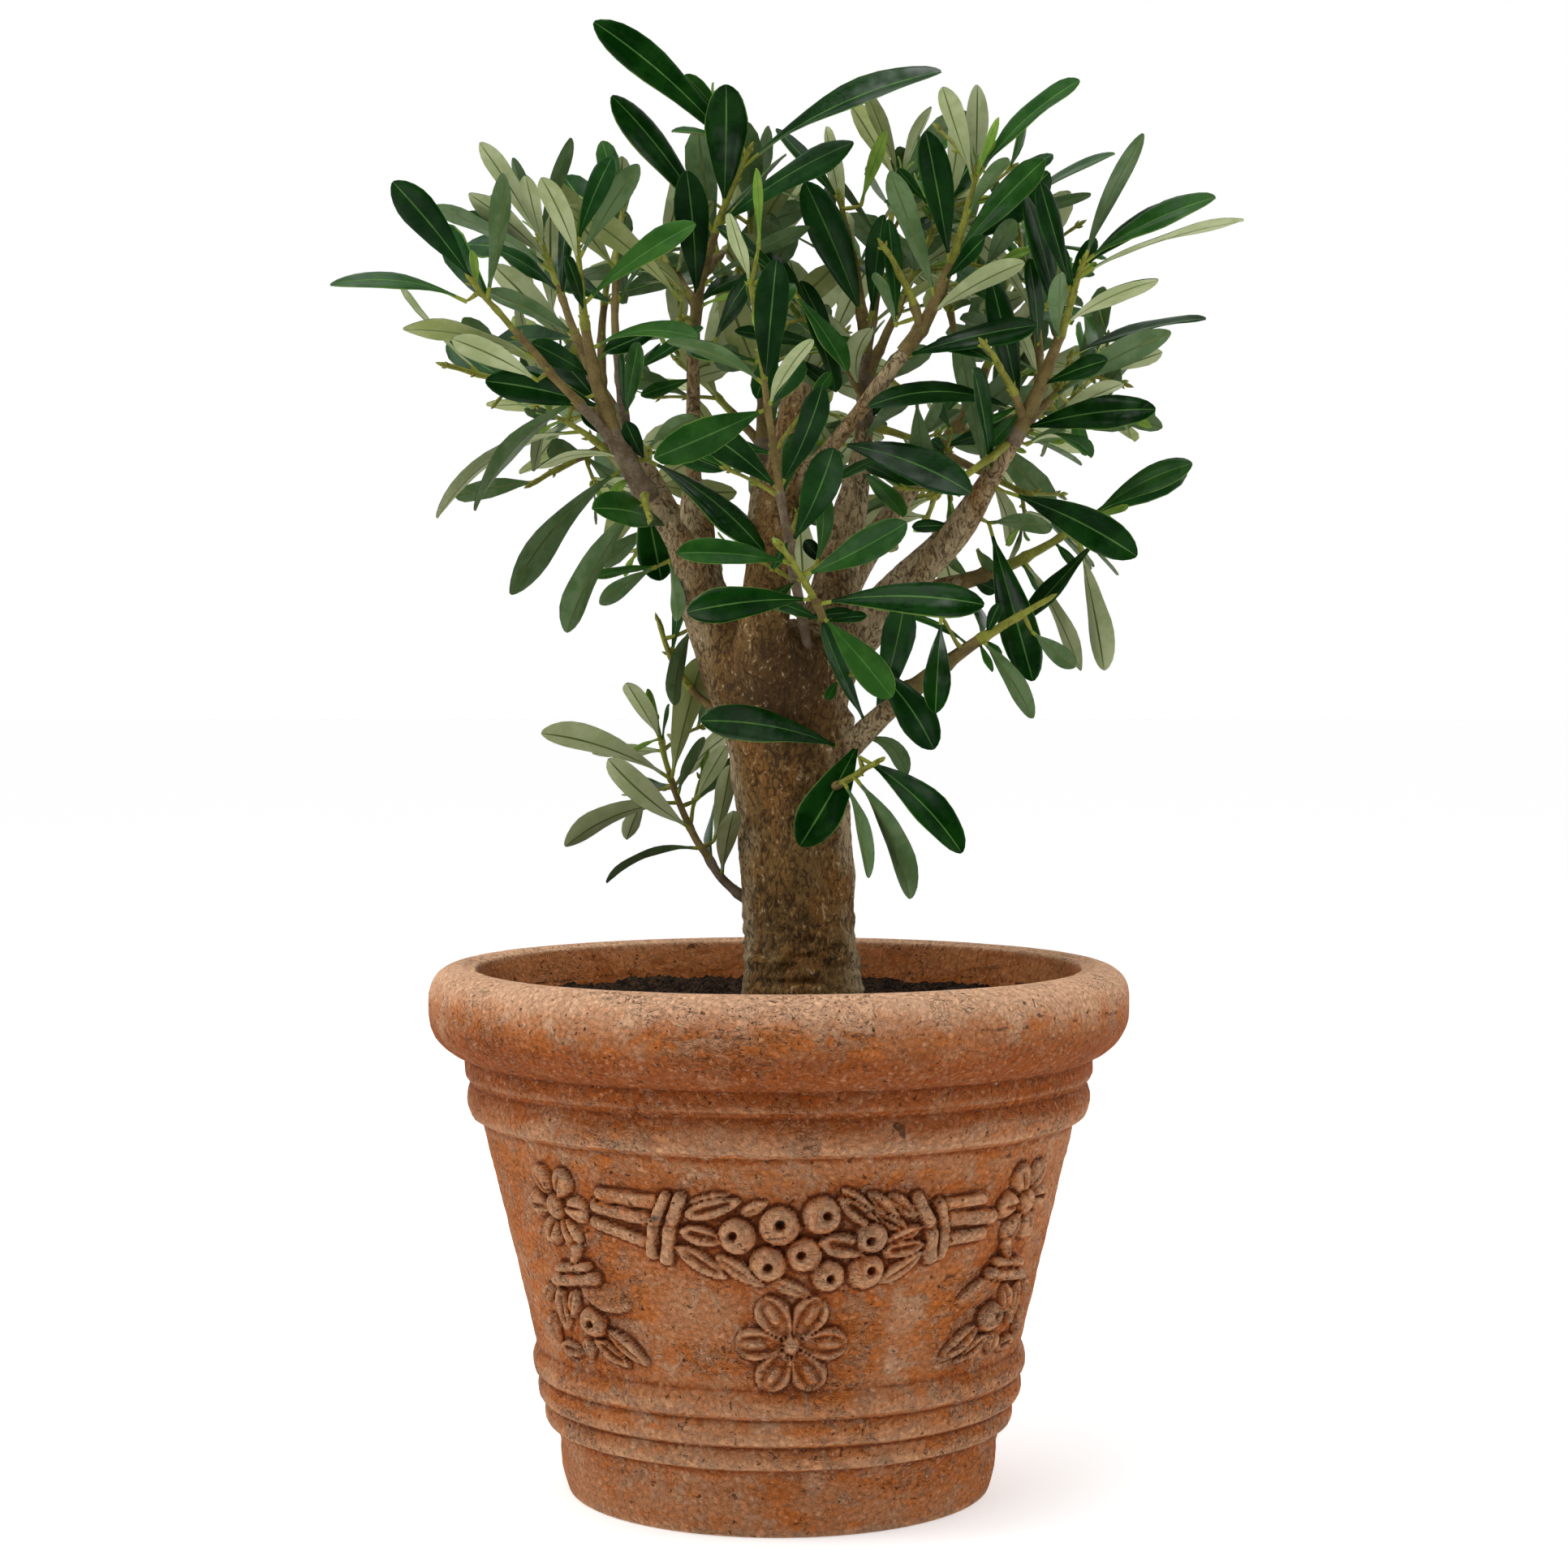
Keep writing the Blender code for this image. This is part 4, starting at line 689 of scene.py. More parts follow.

# Places on the pot and on the tree that have a colour of their own or take painted light and shade, in
# metres:
# each pair says where it starts and where it is full. The inner wall, the fork's sides and the lines of
# cracks are squares. Painted shade falls under the rim down to the rings, on the old bark's front, in the
# fork and in the crotch; the rim's top and the raised parts below RAISED_TOP take dust and painted light.
RIM_SHADE = (0.238, 0.226)
RING_SHADE = (0.178, 0.2)
RIM_TOP = (0.230, 0.249)
RAISED_TOP = (0.205, 0.19)
INNER_WALL = (0.0197, 0.0189)
INNER_TOP = (0.2392, 0.2375)
INNER_FOOT = (0.200, 0.208)
SEAM_LEVEL = 0.2258
SEAM_LINE = (0.0000006, 0.0000001)
CRACK_LINE = (0.00022, 0.0)
BARK_FRONT = (-0.012, -0.027)
FORK_SIDES = (0.0024, 0.0006)
FORK_FOOT = (0.345, 0.37)
CROTCH = (0.004, -0.030, 0.366)
CROTCH_EDGE = (0.052, 0.022)

# Colours, as linear red, green and blue
DUSTY_CLAY = (0.53, 0.215, 0.090)
ORANGE_CLAY = (0.54, 0.155, 0.030)
DEEP_ORANGE = (0.30, 0.062, 0.006)
# Painted shadow round the ornament
ORNAMENT_SHADOW_CLAY = (0.46, 0.115, 0.020)
PALE_CLAY = (0.78, 0.45, 0.25)
# Rim's top: pale dust with painted light from above
RIM_DUST_AND_LIGHT = (0.95, 0.57, 0.35)
INNER_CLAY = (0.72, 0.25, 0.075)
GREY_CLAY = (0.36, 0.215, 0.13)
DEEP_CLAY = (0.19, 0.045, 0.011)
PIT_CLAY = (0.045, 0.018, 0.009)
SPECK_CLAY = (0.75, 0.58, 0.42)
GREY_BARK = (0.36, 0.275, 0.155)
BROWN_BARK = (0.19, 0.108, 0.034)
ORANGE_BARK = (0.32, 0.12, 0.02)
DARK_BARK = (0.045, 0.024, 0.011)
PALE_BARK = (0.56, 0.44, 0.29)
SAWN_WOOD = (0.17, 0.055, 0.028)
DARK_SOIL = (0.010, 0.006, 0.004)
BROWN_SOIL = (0.075, 0.040, 0.020)
SOIL_FIBRE = (0.26, 0.16, 0.09)
FLOOR_GREYS = ((0.86, 0.86, 0.86), (0.88, 0.88, 0.88))

# Spots on the wall, near-black and one red-brown, as (azimuth, height, reach, colour), how far out they lie
# on the ornament, and how far past its reach a spot starts and is full
WALL_SPOTS = [
    (-23.0, 143.5, 1.6, (0.035, 0.045, 0.055)), (-20.5, 143.0, 1.3, (0.035, 0.045, 0.055)),
    (0.2, 143.3, 2.6, (0.05, 0.055, 0.06)), (-20.9, 109.0, 2.6, (0.30, 0.035, 0.008))]
SPOT_RISE = 4.0
SPOT_EDGE = (2.6, 1.0)

TWIG_SHADES = {
    "young_twig": ((0.22, 0.23, 0.03), (0.15, 0.15, 0.02), 0.5),
    "tan_twig": ((0.17, 0.125, 0.04), (0.11, 0.075, 0.025), 0.65),
    "grey_twig": ((0.17, 0.13, 0.085), (0.10, 0.07, 0.04), 0.8)}
LEAF_LOOKS = {
    "gloss_leaf": ((0.0015, 0.018, 0.0012), (0.005, 0.035, 0.003), 0.27),
    "deep_leaf": ((0.002, 0.018, 0.002), (0.004, 0.030, 0.003), 0.34),
    "dark_leaf": ((0.004, 0.030, 0.004), (0.009, 0.048, 0.007), 0.38),
    "mid_leaf": ((0.009, 0.048, 0.005), (0.018, 0.072, 0.009), 0.38),
    "fresh_leaf": ((0.018, 0.072, 0.008), (0.030, 0.100, 0.013), 0.40),
    "leaf_rib": ((0.045, 0.12, 0.025), (0.08, 0.17, 0.04), 0.5),
    "leaf_edge": ((0.05, 0.12, 0.02), (0.11, 0.18, 0.035), 0.5),
    "leaf_stalk": ((0.24, 0.27, 0.04), (0.18, 0.21, 0.03), 0.5),
    "pale_back": ((0.37, 0.41, 0.22), (0.29, 0.34, 0.16), 0.6),
    "olive_back": ((0.27, 0.30, 0.12), (0.21, 0.25, 0.08), 0.6),
    "sage_back_and_sky_sheen": ((0.105, 0.165, 0.070), (0.065, 0.120, 0.040), 0.5),
    "back_rib": ((0.07, 0.10, 0.03), (0.11, 0.14, 0.04), 0.55),
    "young_leaf": ((0.13, 0.24, 0.03), (0.20, 0.31, 0.05), 0.42)}

# Share of the waxy sheen on the upper sides that have one
SHEEN = {"gloss_leaf": 0.5, "deep_leaf": 0.2, "dark_leaf": 0.25, "mid_leaf": 0.25, "sage_back_and_sky_sheen": 0.2}

# Which of these looks each strip of a leaf takes, in five choices dealt out by spray: for grown leaves,
# for the small leaves of short shoots, for young ones at the tips, and for the letters of the front table
LOOK_ORDER = list(LEAF_LOOKS)
STRIP_LOOKS = {
    BLADE: "deep_leaf dark_leaf mid_leaf dark_leaf deep_leaf", RIB: "leaf_rib", EDGE: "leaf_edge",
    BACK: "pale_back sage_back_and_sky_sheen olive_back sage_back_and_sky_sheen pale_back", BACK_RIB: "back_rib", STALK: "leaf_stalk"}
KIND_LOOKS = (
    {}, {BLADE: "mid_leaf dark_leaf mid_leaf dark_leaf fresh_leaf"},
    {BLADE: "young_leaf", BACK: "young_leaf"},
    {BLADE: "gloss_leaf"}, {BLADE: "deep_leaf dark_leaf", EDGE: "mid_leaf"},
    # M, then S: sage undersides with dark edges, partly standing in for the sky sheen of upper sides as
    # painted reflection
    {BLADE: "mid_leaf fresh_leaf"}, {BACK: "sage_back_and_sky_sheen", EDGE: "dark_leaf"},
    {BACK: "pale_back pale_back olive_back", EDGE: "mid_leaf"},
    {BLADE: "young_leaf", BACK: "young_leaf", EDGE: "young_leaf"})
CHOICES = 5
LEAF_SHADES = np.array([[[LOOK_ORDER.index(names[k % len(names)]) for k in range(CHOICES)]
                         for names in ((STRIP_LOOKS | kind)[part].split() for part in range(STALK + 1))]
                        for kind in KIND_LOOKS])

# Studio: glow and reach of the floor, light of the walls from front to back, and the lamps
WHITE = (1.0, 1.0, 1.0, 1.0)
FLOOR_GLOW = 0.40
FLOOR_REACH = 30000.0
FLOOR_SIDES = 64
FLOOR_DROP = 0.15
LAMP_TARGET = (0, 0, 0.35)
STUDIO_WALLS = (-0.75, 0.30, 0.03, 1.0)
LAMPS = [
    ("top_lamp", (-0.4, -0.5, 2.1), 1.2, 26.0),
    ("left_lamp", (-1.7, -0.3, 0.9), 0.9, 9.0),
    ("right_lamp", (1.7, -0.2, 0.8), 0.9, 8.0),
    ("front_lamp", (-0.8, -1.9, 1.2), 0.8, 5.0)]


def ease(low, high, value):
    """Smooth step: 0 below low, 1 above high, and a cubic between them."""
    share = np.clip((value - low) / (high - low), 0.0, 1.0)
    return share * share * (3 - 2 * share)


def lattice(cells, seed):
    """Random numbers from 0 to 1 for whole-number places: their products are folded bit by bit."""
    first, second, third, fourth = (np.uint32(factor) for factor in MIXERS)
    mixed = cells[..., 0] * first + cells[..., 1] * second + cells[..., 2] * third
    mixed = mixed + np.uint32(seed * MIXERS[3] & ALL_BITS)
    mixed = (mixed ^ (mixed >> np.uint32(15))) * third
    mixed = (mixed ^ (mixed >> np.uint32(13))) * fourth
    return (mixed ^ (mixed >> np.uint32(16))) / ALL_BITS


def noise(places, seed=0):
    """Noise from -1 to 1: random numbers at whole places, joined by cubic steps along each axis."""
    floor = np.floor(places)
    part = places - floor
    cells = floor.astype(np.int64).astype(np.uint32)
    smooth = part * part * (3 - 2 * part)
    total = np.zeros(places.shape[:-1])
    for corner in itertools.product((0, 1), repeat=3):
        weight = np.prod(np.where(corner, smooth, 1 - smooth), axis=-1)
        total += weight * lattice(cells + np.array(corner, np.uint32), seed)
    return 2 * total - 1


def layered(places, layers, seed=0):
    """Sum of noises, each twice as fine and half as strong as the one before."""
    return sum(noise(places * 2.0 ** k + 17.3 * k, seed + k) * 0.5 ** k for k in range(layers))


def smooth_join(first, second, width):
    """Lower of two distances, rounded off where they are nearer to each other than the width."""
    share = np.clip(0.5 + 0.5 * (second - first) / width, 0.0, 1.0)
    return second * (1 - share) + first * share - width * share * (1 - share)


def strand_faces(count, rings, loop):
    """Faces of many closed strands of rings of corners: quads between the rings, one face on each end."""
    ring, place = np.meshgrid(np.arange(rings - 1), np.arange(loop), indexing="ij")
    after = (place + 1) % loop
    one = np.stack([ring * loop + place, ring * loop + after,
                    (ring + 1) * loop + after, (ring + 1) * loop + place], axis=-1).reshape(-1, 4)
    start = np.arange(count)[:, None, None] * rings * loop
    ends = np.stack([np.arange(loop)[::-1], (rings - 1) * loop + np.arange(loop)])
    return (one + start).reshape(-1, 4), (ends + start).reshape(-1, loop)


def grid_faces(columns, rows, closed=False):
    """Faces between columns of this many rows of corners; a closed grid joins its last and first column."""
    column, row = np.meshgrid(np.arange(columns), np.arange(rows - 1), indexing="ij")
    after = (column + 1) % columns if closed else column + 1
    return np.stack([column * rows + row, after * rows + row,
                     after * rows + row + 1, column * rows + row + 1], axis=-1).reshape(-1, 4)


def make_piece(name, corners, faces, looks, shades=None, marks=None, sharp=60.0, merge=False):
    """Mesh piece from corners in millimetres and groups of faces."""
    mesh = bpy.data.meshes.new(name)
    corners = np.asarray(corners, float).reshape(-1, 3)
    totals = np.concatenate([np.full(len(group), group.shape[1]) for group in faces])
    loops = np.concatenate([group.ravel() for group in faces])
    mesh.vertices.add(len(corners))
    mesh.vertices.foreach_set("co", (corners * MM).ravel())
    mesh.loops.add(len(loops))
    mesh.loops.foreach_set("vertex_index", loops.astype(np.int32))
    mesh.polygons.add(len(totals))
    mesh.polygons.foreach_set("loop_start", (np.cumsum(totals) - totals).astype(np.int32))
    for look in looks:
        mesh.materials.append(look)
    if shades is not None:
        mesh.polygons.foreach_set("material_index", shades.astype(np.int32))
    for key, values in (marks or {}).items():
        mark = mesh.attributes.new(key, "FLOAT", "POINT")
        mark.data.foreach_set("value", np.asarray(values, float).ravel())
    mesh.update(calc_edges=True)
    mesh.validate()
    if merge:
        work = bmesh.new()
        work.from_mesh(mesh)
        bmesh.ops.remove_doubles(work, verts=work.verts, dist=1e-6)
        work.to_mesh(mesh)
        work.free()
    mesh.shade_smooth()
    mesh.set_sharp_from_angle(angle=math.radians(sharp))
    piece = bpy.data.objects.new(name, mesh)
    bpy.context.scene.collection.objects.link(piece)
    return piece


def belongs(piece, material_slot, *nodes):
    """Puts a piece on the plant's body, in the place of the solids that it stands for."""
    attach(piece, "root")
    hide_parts(*nodes)


class Value:
    """A number or colour that varies over a surface; arithmetic on a number adds Math nodes."""

    def __init__(self, look, socket):
        self.look = look
        self.socket = socket

    def maths(self, operation, first, second):
        return self.look.node("Math", {"operation": operation}, {0: first, 1: second})

    def __add__(self, other):
        return self.maths("ADD", self, other)

    def __radd__(self, other):
        return self.maths("ADD", other, self)

    def __sub__(self, other):
        return self.maths("SUBTRACT", self, other)

    def __rsub__(self, other):
        return self.maths("SUBTRACT", other, self)

    def __mul__(self, other):
        return self.maths("MULTIPLY", self, other)

    def __rmul__(self, other):
        return self.maths("MULTIPLY", other, self)


class Look:
    """A Principled material, or another owner of a shader, and the nodes that vary it."""

    def __init__(self, name, owner=None, shader="Principled BSDF", **constants):
        self.owner = bpy.data.materials.new(name) if owner is None else owner
        self.owner.use_nodes = True
        self.tree = self.owner.node_tree
        self.shader = self.tree.nodes[shader]
        for socket, value in constants.items():
            self.shader.inputs[socket.replace("_", " ")].default_value = value

    def node(self, kind, settings=None, inputs=None, output=0):
        """Adds a node of a type, sets it up, fills its sockets with values or links, gives one output."""
        made = self.tree.nodes.new("ShaderNode" + kind)
        for key, value in (settings or {}).items():
            setattr(made, key, value)
        for key, value in (inputs or {}).items():
            if isinstance(value, Value):
                self.tree.links.new(value.socket, made.inputs[key])
            else:
                made.inputs[key].default_value = value
        return Value(self, made.outputs[output])

    def feed(self, **sockets):
        """Links values to the shader's own sockets."""
        for name, value in sockets.items():
            self.tree.links.new(value.socket, self.shader.inputs[name.replace("_", " ")])

    def noises(self, rows):
        """One noise from 0 to 1 for each row of (stretch upward, scale, detail, roughness, distortion)."""
        found = []
        for up, *shape in rows:
            place = self.node("TexCoord", output="Object")
            where = self.node("Mapping", None, {"Vector": place, "Scale": (1.0, 1.0, up)})
            inputs = dict(zip(("Vector", "Scale", "Detail", "Roughness", "Distortion"), (where, *shape)))
            found.append(self.node("TexNoise", None, inputs))
        return found

    def axes(self, place):
        """The three coordinates of a place."""
        return [self.node("SeparateXYZ", None, {0: place}, output=k) for k in range(3)]

    def away(self, place, centre):
        """Distance of a place from a fixed one, in metres."""
        return self.node("VectorMath", {"operation": "DISTANCE"}, {0: place, 1: centre}, output=1)

    def mark(self, name):
        """A number that the mesh carries at each corner."""
        return self.node("Attribute", {"attribute_name": name}, output="Fac")

    def step(self, value, low, high):
        """0 below low and 1 above high, smooth between them."""
        settings = {"interpolation_type": "SMOOTHSTEP"}
        return self.node("MapRange", settings, {"Value": value, "From Min": low, "From Max": high})

    def mix(self, share, first, second):
        """Colour between two colours, by a share from 0 to 1."""
        inputs = {0: share, 6: colour(first), 7: colour(second)}
        return self.node("Mix", {"data_type": "RGBA"}, inputs, output=2)

    def layers(self, shade, rows):
        """Lays colours over a shade, each as (share, value, where it starts, where it is full, colour)."""
        for share, value, low, high, over in rows:
            shade = self.mix(share * self.step(value, low, high), shade, over)
        return shade

    def bump(self, height, distance, strength=1.0, under=None):
        """Normal that a height in metres would give, on top of another bump."""
        inputs = {"Height": height, "Distance": distance, "Strength": strength}
        if under is not None:
            inputs["Normal"] = under
        return self.node("Bump", None, inputs)


def colour(value):
    """A colour socket's four numbers, or a link as it is."""
    return value if isinstance(value, Value) else (*value[:3], 1.0)


def smooth_rows(rows, steps):
    """Rows of numbers with steps - 1 new ones between each pair, on a Catmull-Rom curve."""
    return flowing(np.array([rows], float), steps)[0]


def tube(points, radii, sides):
    """Corners and faces of a closed tube round a line of points, its frame carried without twist."""
    corners = []
    last = len(points) - 1
    side = None
    for index, point in enumerate(points):
        along = (points[min(index + 1, last)] - points[max(index - 1, 0)]).normalized()
        side = along.orthogonal() if side is None else side - along * side.dot(along)
        side.normalize()
        other = along.cross(side)
        for k in range(sides):
            angle = math.tau * k / sides
            corners.append(point + (side * math.cos(angle) + other * math.sin(angle)) * radii[index])
    return corners, ring_faces(last + 1, sides)


def ring_faces(rings, sides):
    """Faces that join rings of corners into one closed solid, ring after ring."""
    faces = [tuple(reversed(range(sides)))]
    for ring in range(rings - 1):
        low = ring * sides
        for k in range(sides):
            n = (k + 1) % sides
            faces.append((low + k, low + n, low + sides + n, low + sides + k))
    top = (rings - 1) * sides
    faces.append(tuple(range(top, top + sides)))
    return faces


def trunk_solid(sides, extra=0.0):
    """Corners and faces of the trunk: oval rings on its rows, widened by extra, flat at both ends."""
    corners = []
    for z, x, y, half_x, half_y in TRUNK:
        for k in range(sides):
            angle = math.tau * k / sides
            across = (half_x + extra) * math.cos(angle)
            corners.append(Vector((x + across, y + (half_y + extra) * math.sin(angle), z)))
    return corners, ring_faces(len(TRUNK), sides)


def bough_solid(name):
    """Corners and faces of a bough, a tube on its smoothed rows, and the direction of its end."""
    rows = smooth_rows(BOUGHS[name], BOUGH_STEPS)
    points = [Vector(row[:3]) for row in rows]
    corners, faces = tube(points, [row[3] for row in rows], BOUGH_SIDES)
    return corners, faces, (points[-1] - points[-2]).normalized()


class Space:
    """Solids that are already in place, and whether a new one would touch them."""

    def __init__(self):
        self.solids = []

    def add(self, owner, corners, faces):
        centre = sum(corners, Vector()) / len(corners)
        reach = max((corner - centre).length for corner in corners)
        self.solids.append((owner, centre, reach, BVHTree.FromPolygons(corners, faces)))

    def touches(self, corners, faces, skip=(), only=None):
        centre = sum(corners, Vector()) / len(corners)
        reach = max((corner - centre).length for corner in corners)
        tree = None
        for owner, middle, size, other in self.solids:
            if owner in skip or (only is not None and owner not in only):
                continue
            if (middle - centre).length > reach + size:
                continue
            tree = tree or BVHTree.FromPolygons(corners, faces)
            if tree.overlap(other):
                return True
        return False


def arc_points(start, control, tip, steps):
    """Points on the quadratic curve from start to tip that control pulls on."""
    points = []
    for step in range(steps + 1):
        t = step / steps
        points.append(start * (1 - t) ** 2 + control * (2 * t * (1 - t)) + tip * t ** 2)
    return points


def tapering(first, last):
    """Radii of a twig from its foot to its tip."""
    return [first + (last - first) * k / TWIG_STEPS for k in range(TWIG_STEPS + 1)]


def place_along(points, share):
    """Point and direction at a share of a line's length."""
    spans = [(b - a).length for a, b in zip(points, points[1:])]
    left = share * sum(spans)
    for a, b, span in zip(points, points[1:], spans):
        if left <= span:
            return a.lerp(b, left / span), (b - a).normalized()
        left -= span
    return points[-1].copy(), (points[-1] - points[-2]).normalized()


def leaf_solid(leaf, start=0.0):
    """Leaf: a six-cornered blade, folded along its middle, with a keel under it and a sunk root."""
    base, ahead, face, length, width = leaf
    side = ahead.cross(face)
    root = length * start if start else -LEAF_ROOT
    corners = [base + ahead * root]
    for share, half in LEAF_EDGES:
        middle = base + ahead * (length * share) + face * (length * LEAF_ARCH * 4 * share * (1 - share))
        lift = face * (width * half * LEAF_FOLD)
        corners += [middle - side * (width * half) + lift, middle + side * (width * half) + lift]
    corners.append(base + ahead * length)
    arch = length * LEAF_ARCH * 4 * KEEL_PLACE * (1 - KEEL_PLACE)
    corners.append(base + ahead * (length * KEEL_PLACE) + face * (arch - LEAF_KEEL))
    faces = [(0, 2, 1), (1, 2, 4, 3), (3, 4, 5)]
    loop = (0, 1, 3, 5, 4, 2)
    faces += [(loop[k], loop[(k + 1) % 6], 6) for k in range(6)]
    return corners, faces


def leaf_room(leaf, pad, start=0.0):
    """Room that a leaf needs: its outline widened by pad, as a plate that holds blade and keel."""
    base, ahead, face, length, width = leaf
    side = ahead.cross(face)
    outline = [(length * start, 0.0)]
    outline += [(length * share, -width * half - pad) for share, half in LEAF_EDGES]
    outline.append((length + pad, 0.0))
    outline += [(length * share, width * half + pad) for share, half in reversed(LEAF_EDGES)]
    corners = []
    for height in (-LEAF_KEEL * 0.7 - pad, width * LEAF_FOLD * 0.5 + pad):
        for along, across in outline:
            share = min(max(along / length, 0.0), 1.0)
            arch = length * LEAF_ARCH * 4 * share * (1 - share)
            corners.append(base + ahead * along + side * across + face * (arch + height))
    return corners, ring_faces(2, 6)


def leaf_face(ahead, stem, base, mass, front, jitter):
    """Direction that the leaf's upper side faces: the shoot's tip and the light outside the crown."""
    light = LIGHT.get(mass) or (base.x / LIGHT_SPREAD[0], base.y / LIGHT_SPREAD[1] + front, SKY_LIGHT)
    want = stem * STEM_LIGHT + Vector(light).normalized() + Vector(jitter) * LIGHT_JITTER
    want -= ahead * want.dot(ahead)
    return want.normalized()


def has_twin(lead):
    """Whether the table of front leaves holds a leaf with nearly this tip."""
    x, height = seen(lead)
    return any(math.hypot(row[0] - x, row[1] - height) < TWIN_REACH for row in FRONT_LEAVES)


def seen(point):
    """Where the camera sees a point on the plane through the pot's axis, as (x, height)."""
    eye_x, eye_y, eye_z = (value / MM for value in CAMERA_PLACE)
    share = -eye_y / (point[1] - eye_y)
    return eye_x + (point[0] - eye_x) * share, eye_z + (point[2] - eye_z) * share


def at_depth(x, height, depth):
    """Point at a depth that the camera sees at a place of the plane through the pot's axis."""
    eye = Vector(CAMERA_PLACE) / MM
    return eye + (Vector((x, 0.0, height)) - eye) * ((depth - eye.y) / -eye.y)


def blade_points(leaf, along, across):
    """Points over a leaf's blade, a number of them along it and across it."""
    base, ahead, face, length, width = (np.array(part) for part in leaf)
    s = np.linspace(0.06, 1.0, along)[:, None, None]
    v = np.linspace(-1.0, 1.0, across)[None, :, None]
    half = 0.5 * width * np.sqrt(np.clip(s * (1.02 - s) * 4, 0, 1)) * 0.94
    return (base + ahead * length * s + np.cross(ahead, face) * half * v).reshape(-1, 3)


class Cover:
    """Depth of the nearest leaf or limb of the front at each place of the picture, in cells of 1 mm."""

    def __init__(self):
        self.depth = np.full((COVER_CELLS, COVER_CELLS), np.inf)

    def cells(self, points):
        x, height = seen(points.T)
        return np.rint(x + COVER_CORNER[0]).astype(int), np.rint(height + COVER_CORNER[1]).astype(int)

    def add(self, points):
        column, row = self.cells(points)
        for shift_x, shift_z in itertools.product((-1, 0, 1), repeat=2):
            np.minimum.at(self.depth, (column + shift_x, row + shift_z), points[:, 1])

    def add_limbs(self):
        for rows in list(BOUGHS.values()) + [[(x, y, z, wide) for z, x, y, wide, _ in TRUNK]]:
            rows = np.array(rows, float)
            places = np.linspace(0, len(rows) - 1, LIMB_POINTS[0])
            line = np.stack([np.interp(places, np.arange(len(rows)), rows[:, k]) for k in range(4)], axis=-1)
            for share in np.linspace(-LIMB_SHARE, LIMB_SHARE, LIMB_POINTS[1]):
                self.add(line[:, :3] + line[:, 3:] * (share, 0, 0))

    def hides(self, points):
        """Whether most of the points lie behind what the front shows."""
        column, row = self.cells(points)
        return np.mean(self.depth[column, row] < points[:, 1]) >= HIDDEN_SHARE


def pair_slots(points, roll):
    """Leaf places along a shoot, from its tip down, as (node, stem direction, leaf direction, size)."""
    length = sum((b - a).length for a, b in zip(points, points[1:]))
    from_tip = FIRST_PAIR
    slots = []
    index = 0
    while from_tip < length - BARE_FOOT or index < 2:
        node, stem = place_along(points, max(1 - from_tip / length, 0.05))
        flat = UP.cross(stem)
        if flat.length < 0.2:
            flat = Vector((1.0, 0.0, 0.0)) - stem * stem.x
        flat.normalize()
        rise = stem.cross(flat)
        turn = math.radians(roll + 90.0 * index)
        spread = math.radians(PAIR_SPREAD[min(index, len(PAIR_SPREAD) - 1)])
        size = PAIR_SIZE[min(index, len(PAIR_SIZE) - 1)]
        for half_turn in (0.0, math.pi):
            sideways = flat * math.cos(turn + half_turn) + rise * math.sin(turn + half_turn)
            slots.append((node, stem, stem * math.cos(spread) + sideways * math.sin(spread), size))
        from_tip += PAIR_PITCH[min(index, len(PAIR_PITCH) - 1)]
        index += 1
    return slots


def grow_twigs(space):
    """Twigs of every mass, each as (points, radii, roll), and the plans of their leaves.

    A tip that would touch something is moved. A plan is (mass number, mass, leaf places, size, named tips).
    """
    crown = {}
    plans = []
    for number, (mass, (limb, rows)) in enumerate(MASSES.items()):
        rng = random.Random(100 + number)
        twigs = []
        for parent, place, tip, sag, roll, size, leads in rows:
            tip = Vector(tip)
            for attempt in range(TWIG_TRIES):
                if parent >= 0:
                    start, stem = place_along(twigs[parent][0], place)
                    pull = stem * ((tip - start).length * SIDE_PULL)
                    control = start.lerp(tip, 0.5) + pull - UP * sag
                    radius = SIDE_RADIUS
                elif limb == "trunk":
                    start = Vector(TRUNK_STEMS[mass][0])
                    control = start + Vector(TRUNK_STEMS[mass][1]) * (tip - start).length
                    radius = STEM_RADIUS
                else:
                    ahead = bough_solid(limb)[2]
                    start = Vector(BOUGHS[limb][-1][:3]) + ahead * GAP
                    control = start + ahead * ((tip - start).length * LIMB_PULL)
                    radius = BOUGHS[limb][-1][3] * FOOT_SWELL
                points = arc_points(start, control, tip, TWIG_STEPS)
                radii = tapering(radius, TIP_RADIUS)
                first = 1 if parent >= 0 else 2 if limb == "trunk" else 0
                clear = points[first:]
                padded = [r + CLEARANCE for r in radii[first:]]
                others = ("trunk",) if limb == "trunk" and parent < 0 else ()
                if not space.touches(*tube(clear, padded, ROUGH_SIDES), skip=(mass, limb) + others):
                    break
                tip = tip + Vector([rng.uniform(-TIP_SHIFT, TIP_SHIFT) for _ in range(3)])
            else:
                continue
            twigs.append((points, radii, roll))
            plans.append((number, mass, pair_slots(points, roll), size, leads))
            space.add(mass, *tube(points, radii, ROUGH_SIDES))
        crown[mass] = twigs
    return crown, plans


def try_leaf(space, owners, leaf):
    """Whether a leaf is clear of all other masses and limbs, and beyond its root of its own ones."""
    if space.touches(*leaf_room(leaf, CLEARANCE), skip=owners):
        return False
    return not space.touches(*leaf_room(leaf, CLEARANCE * OWN_CLEARANCE, OWN_START), only=owners)


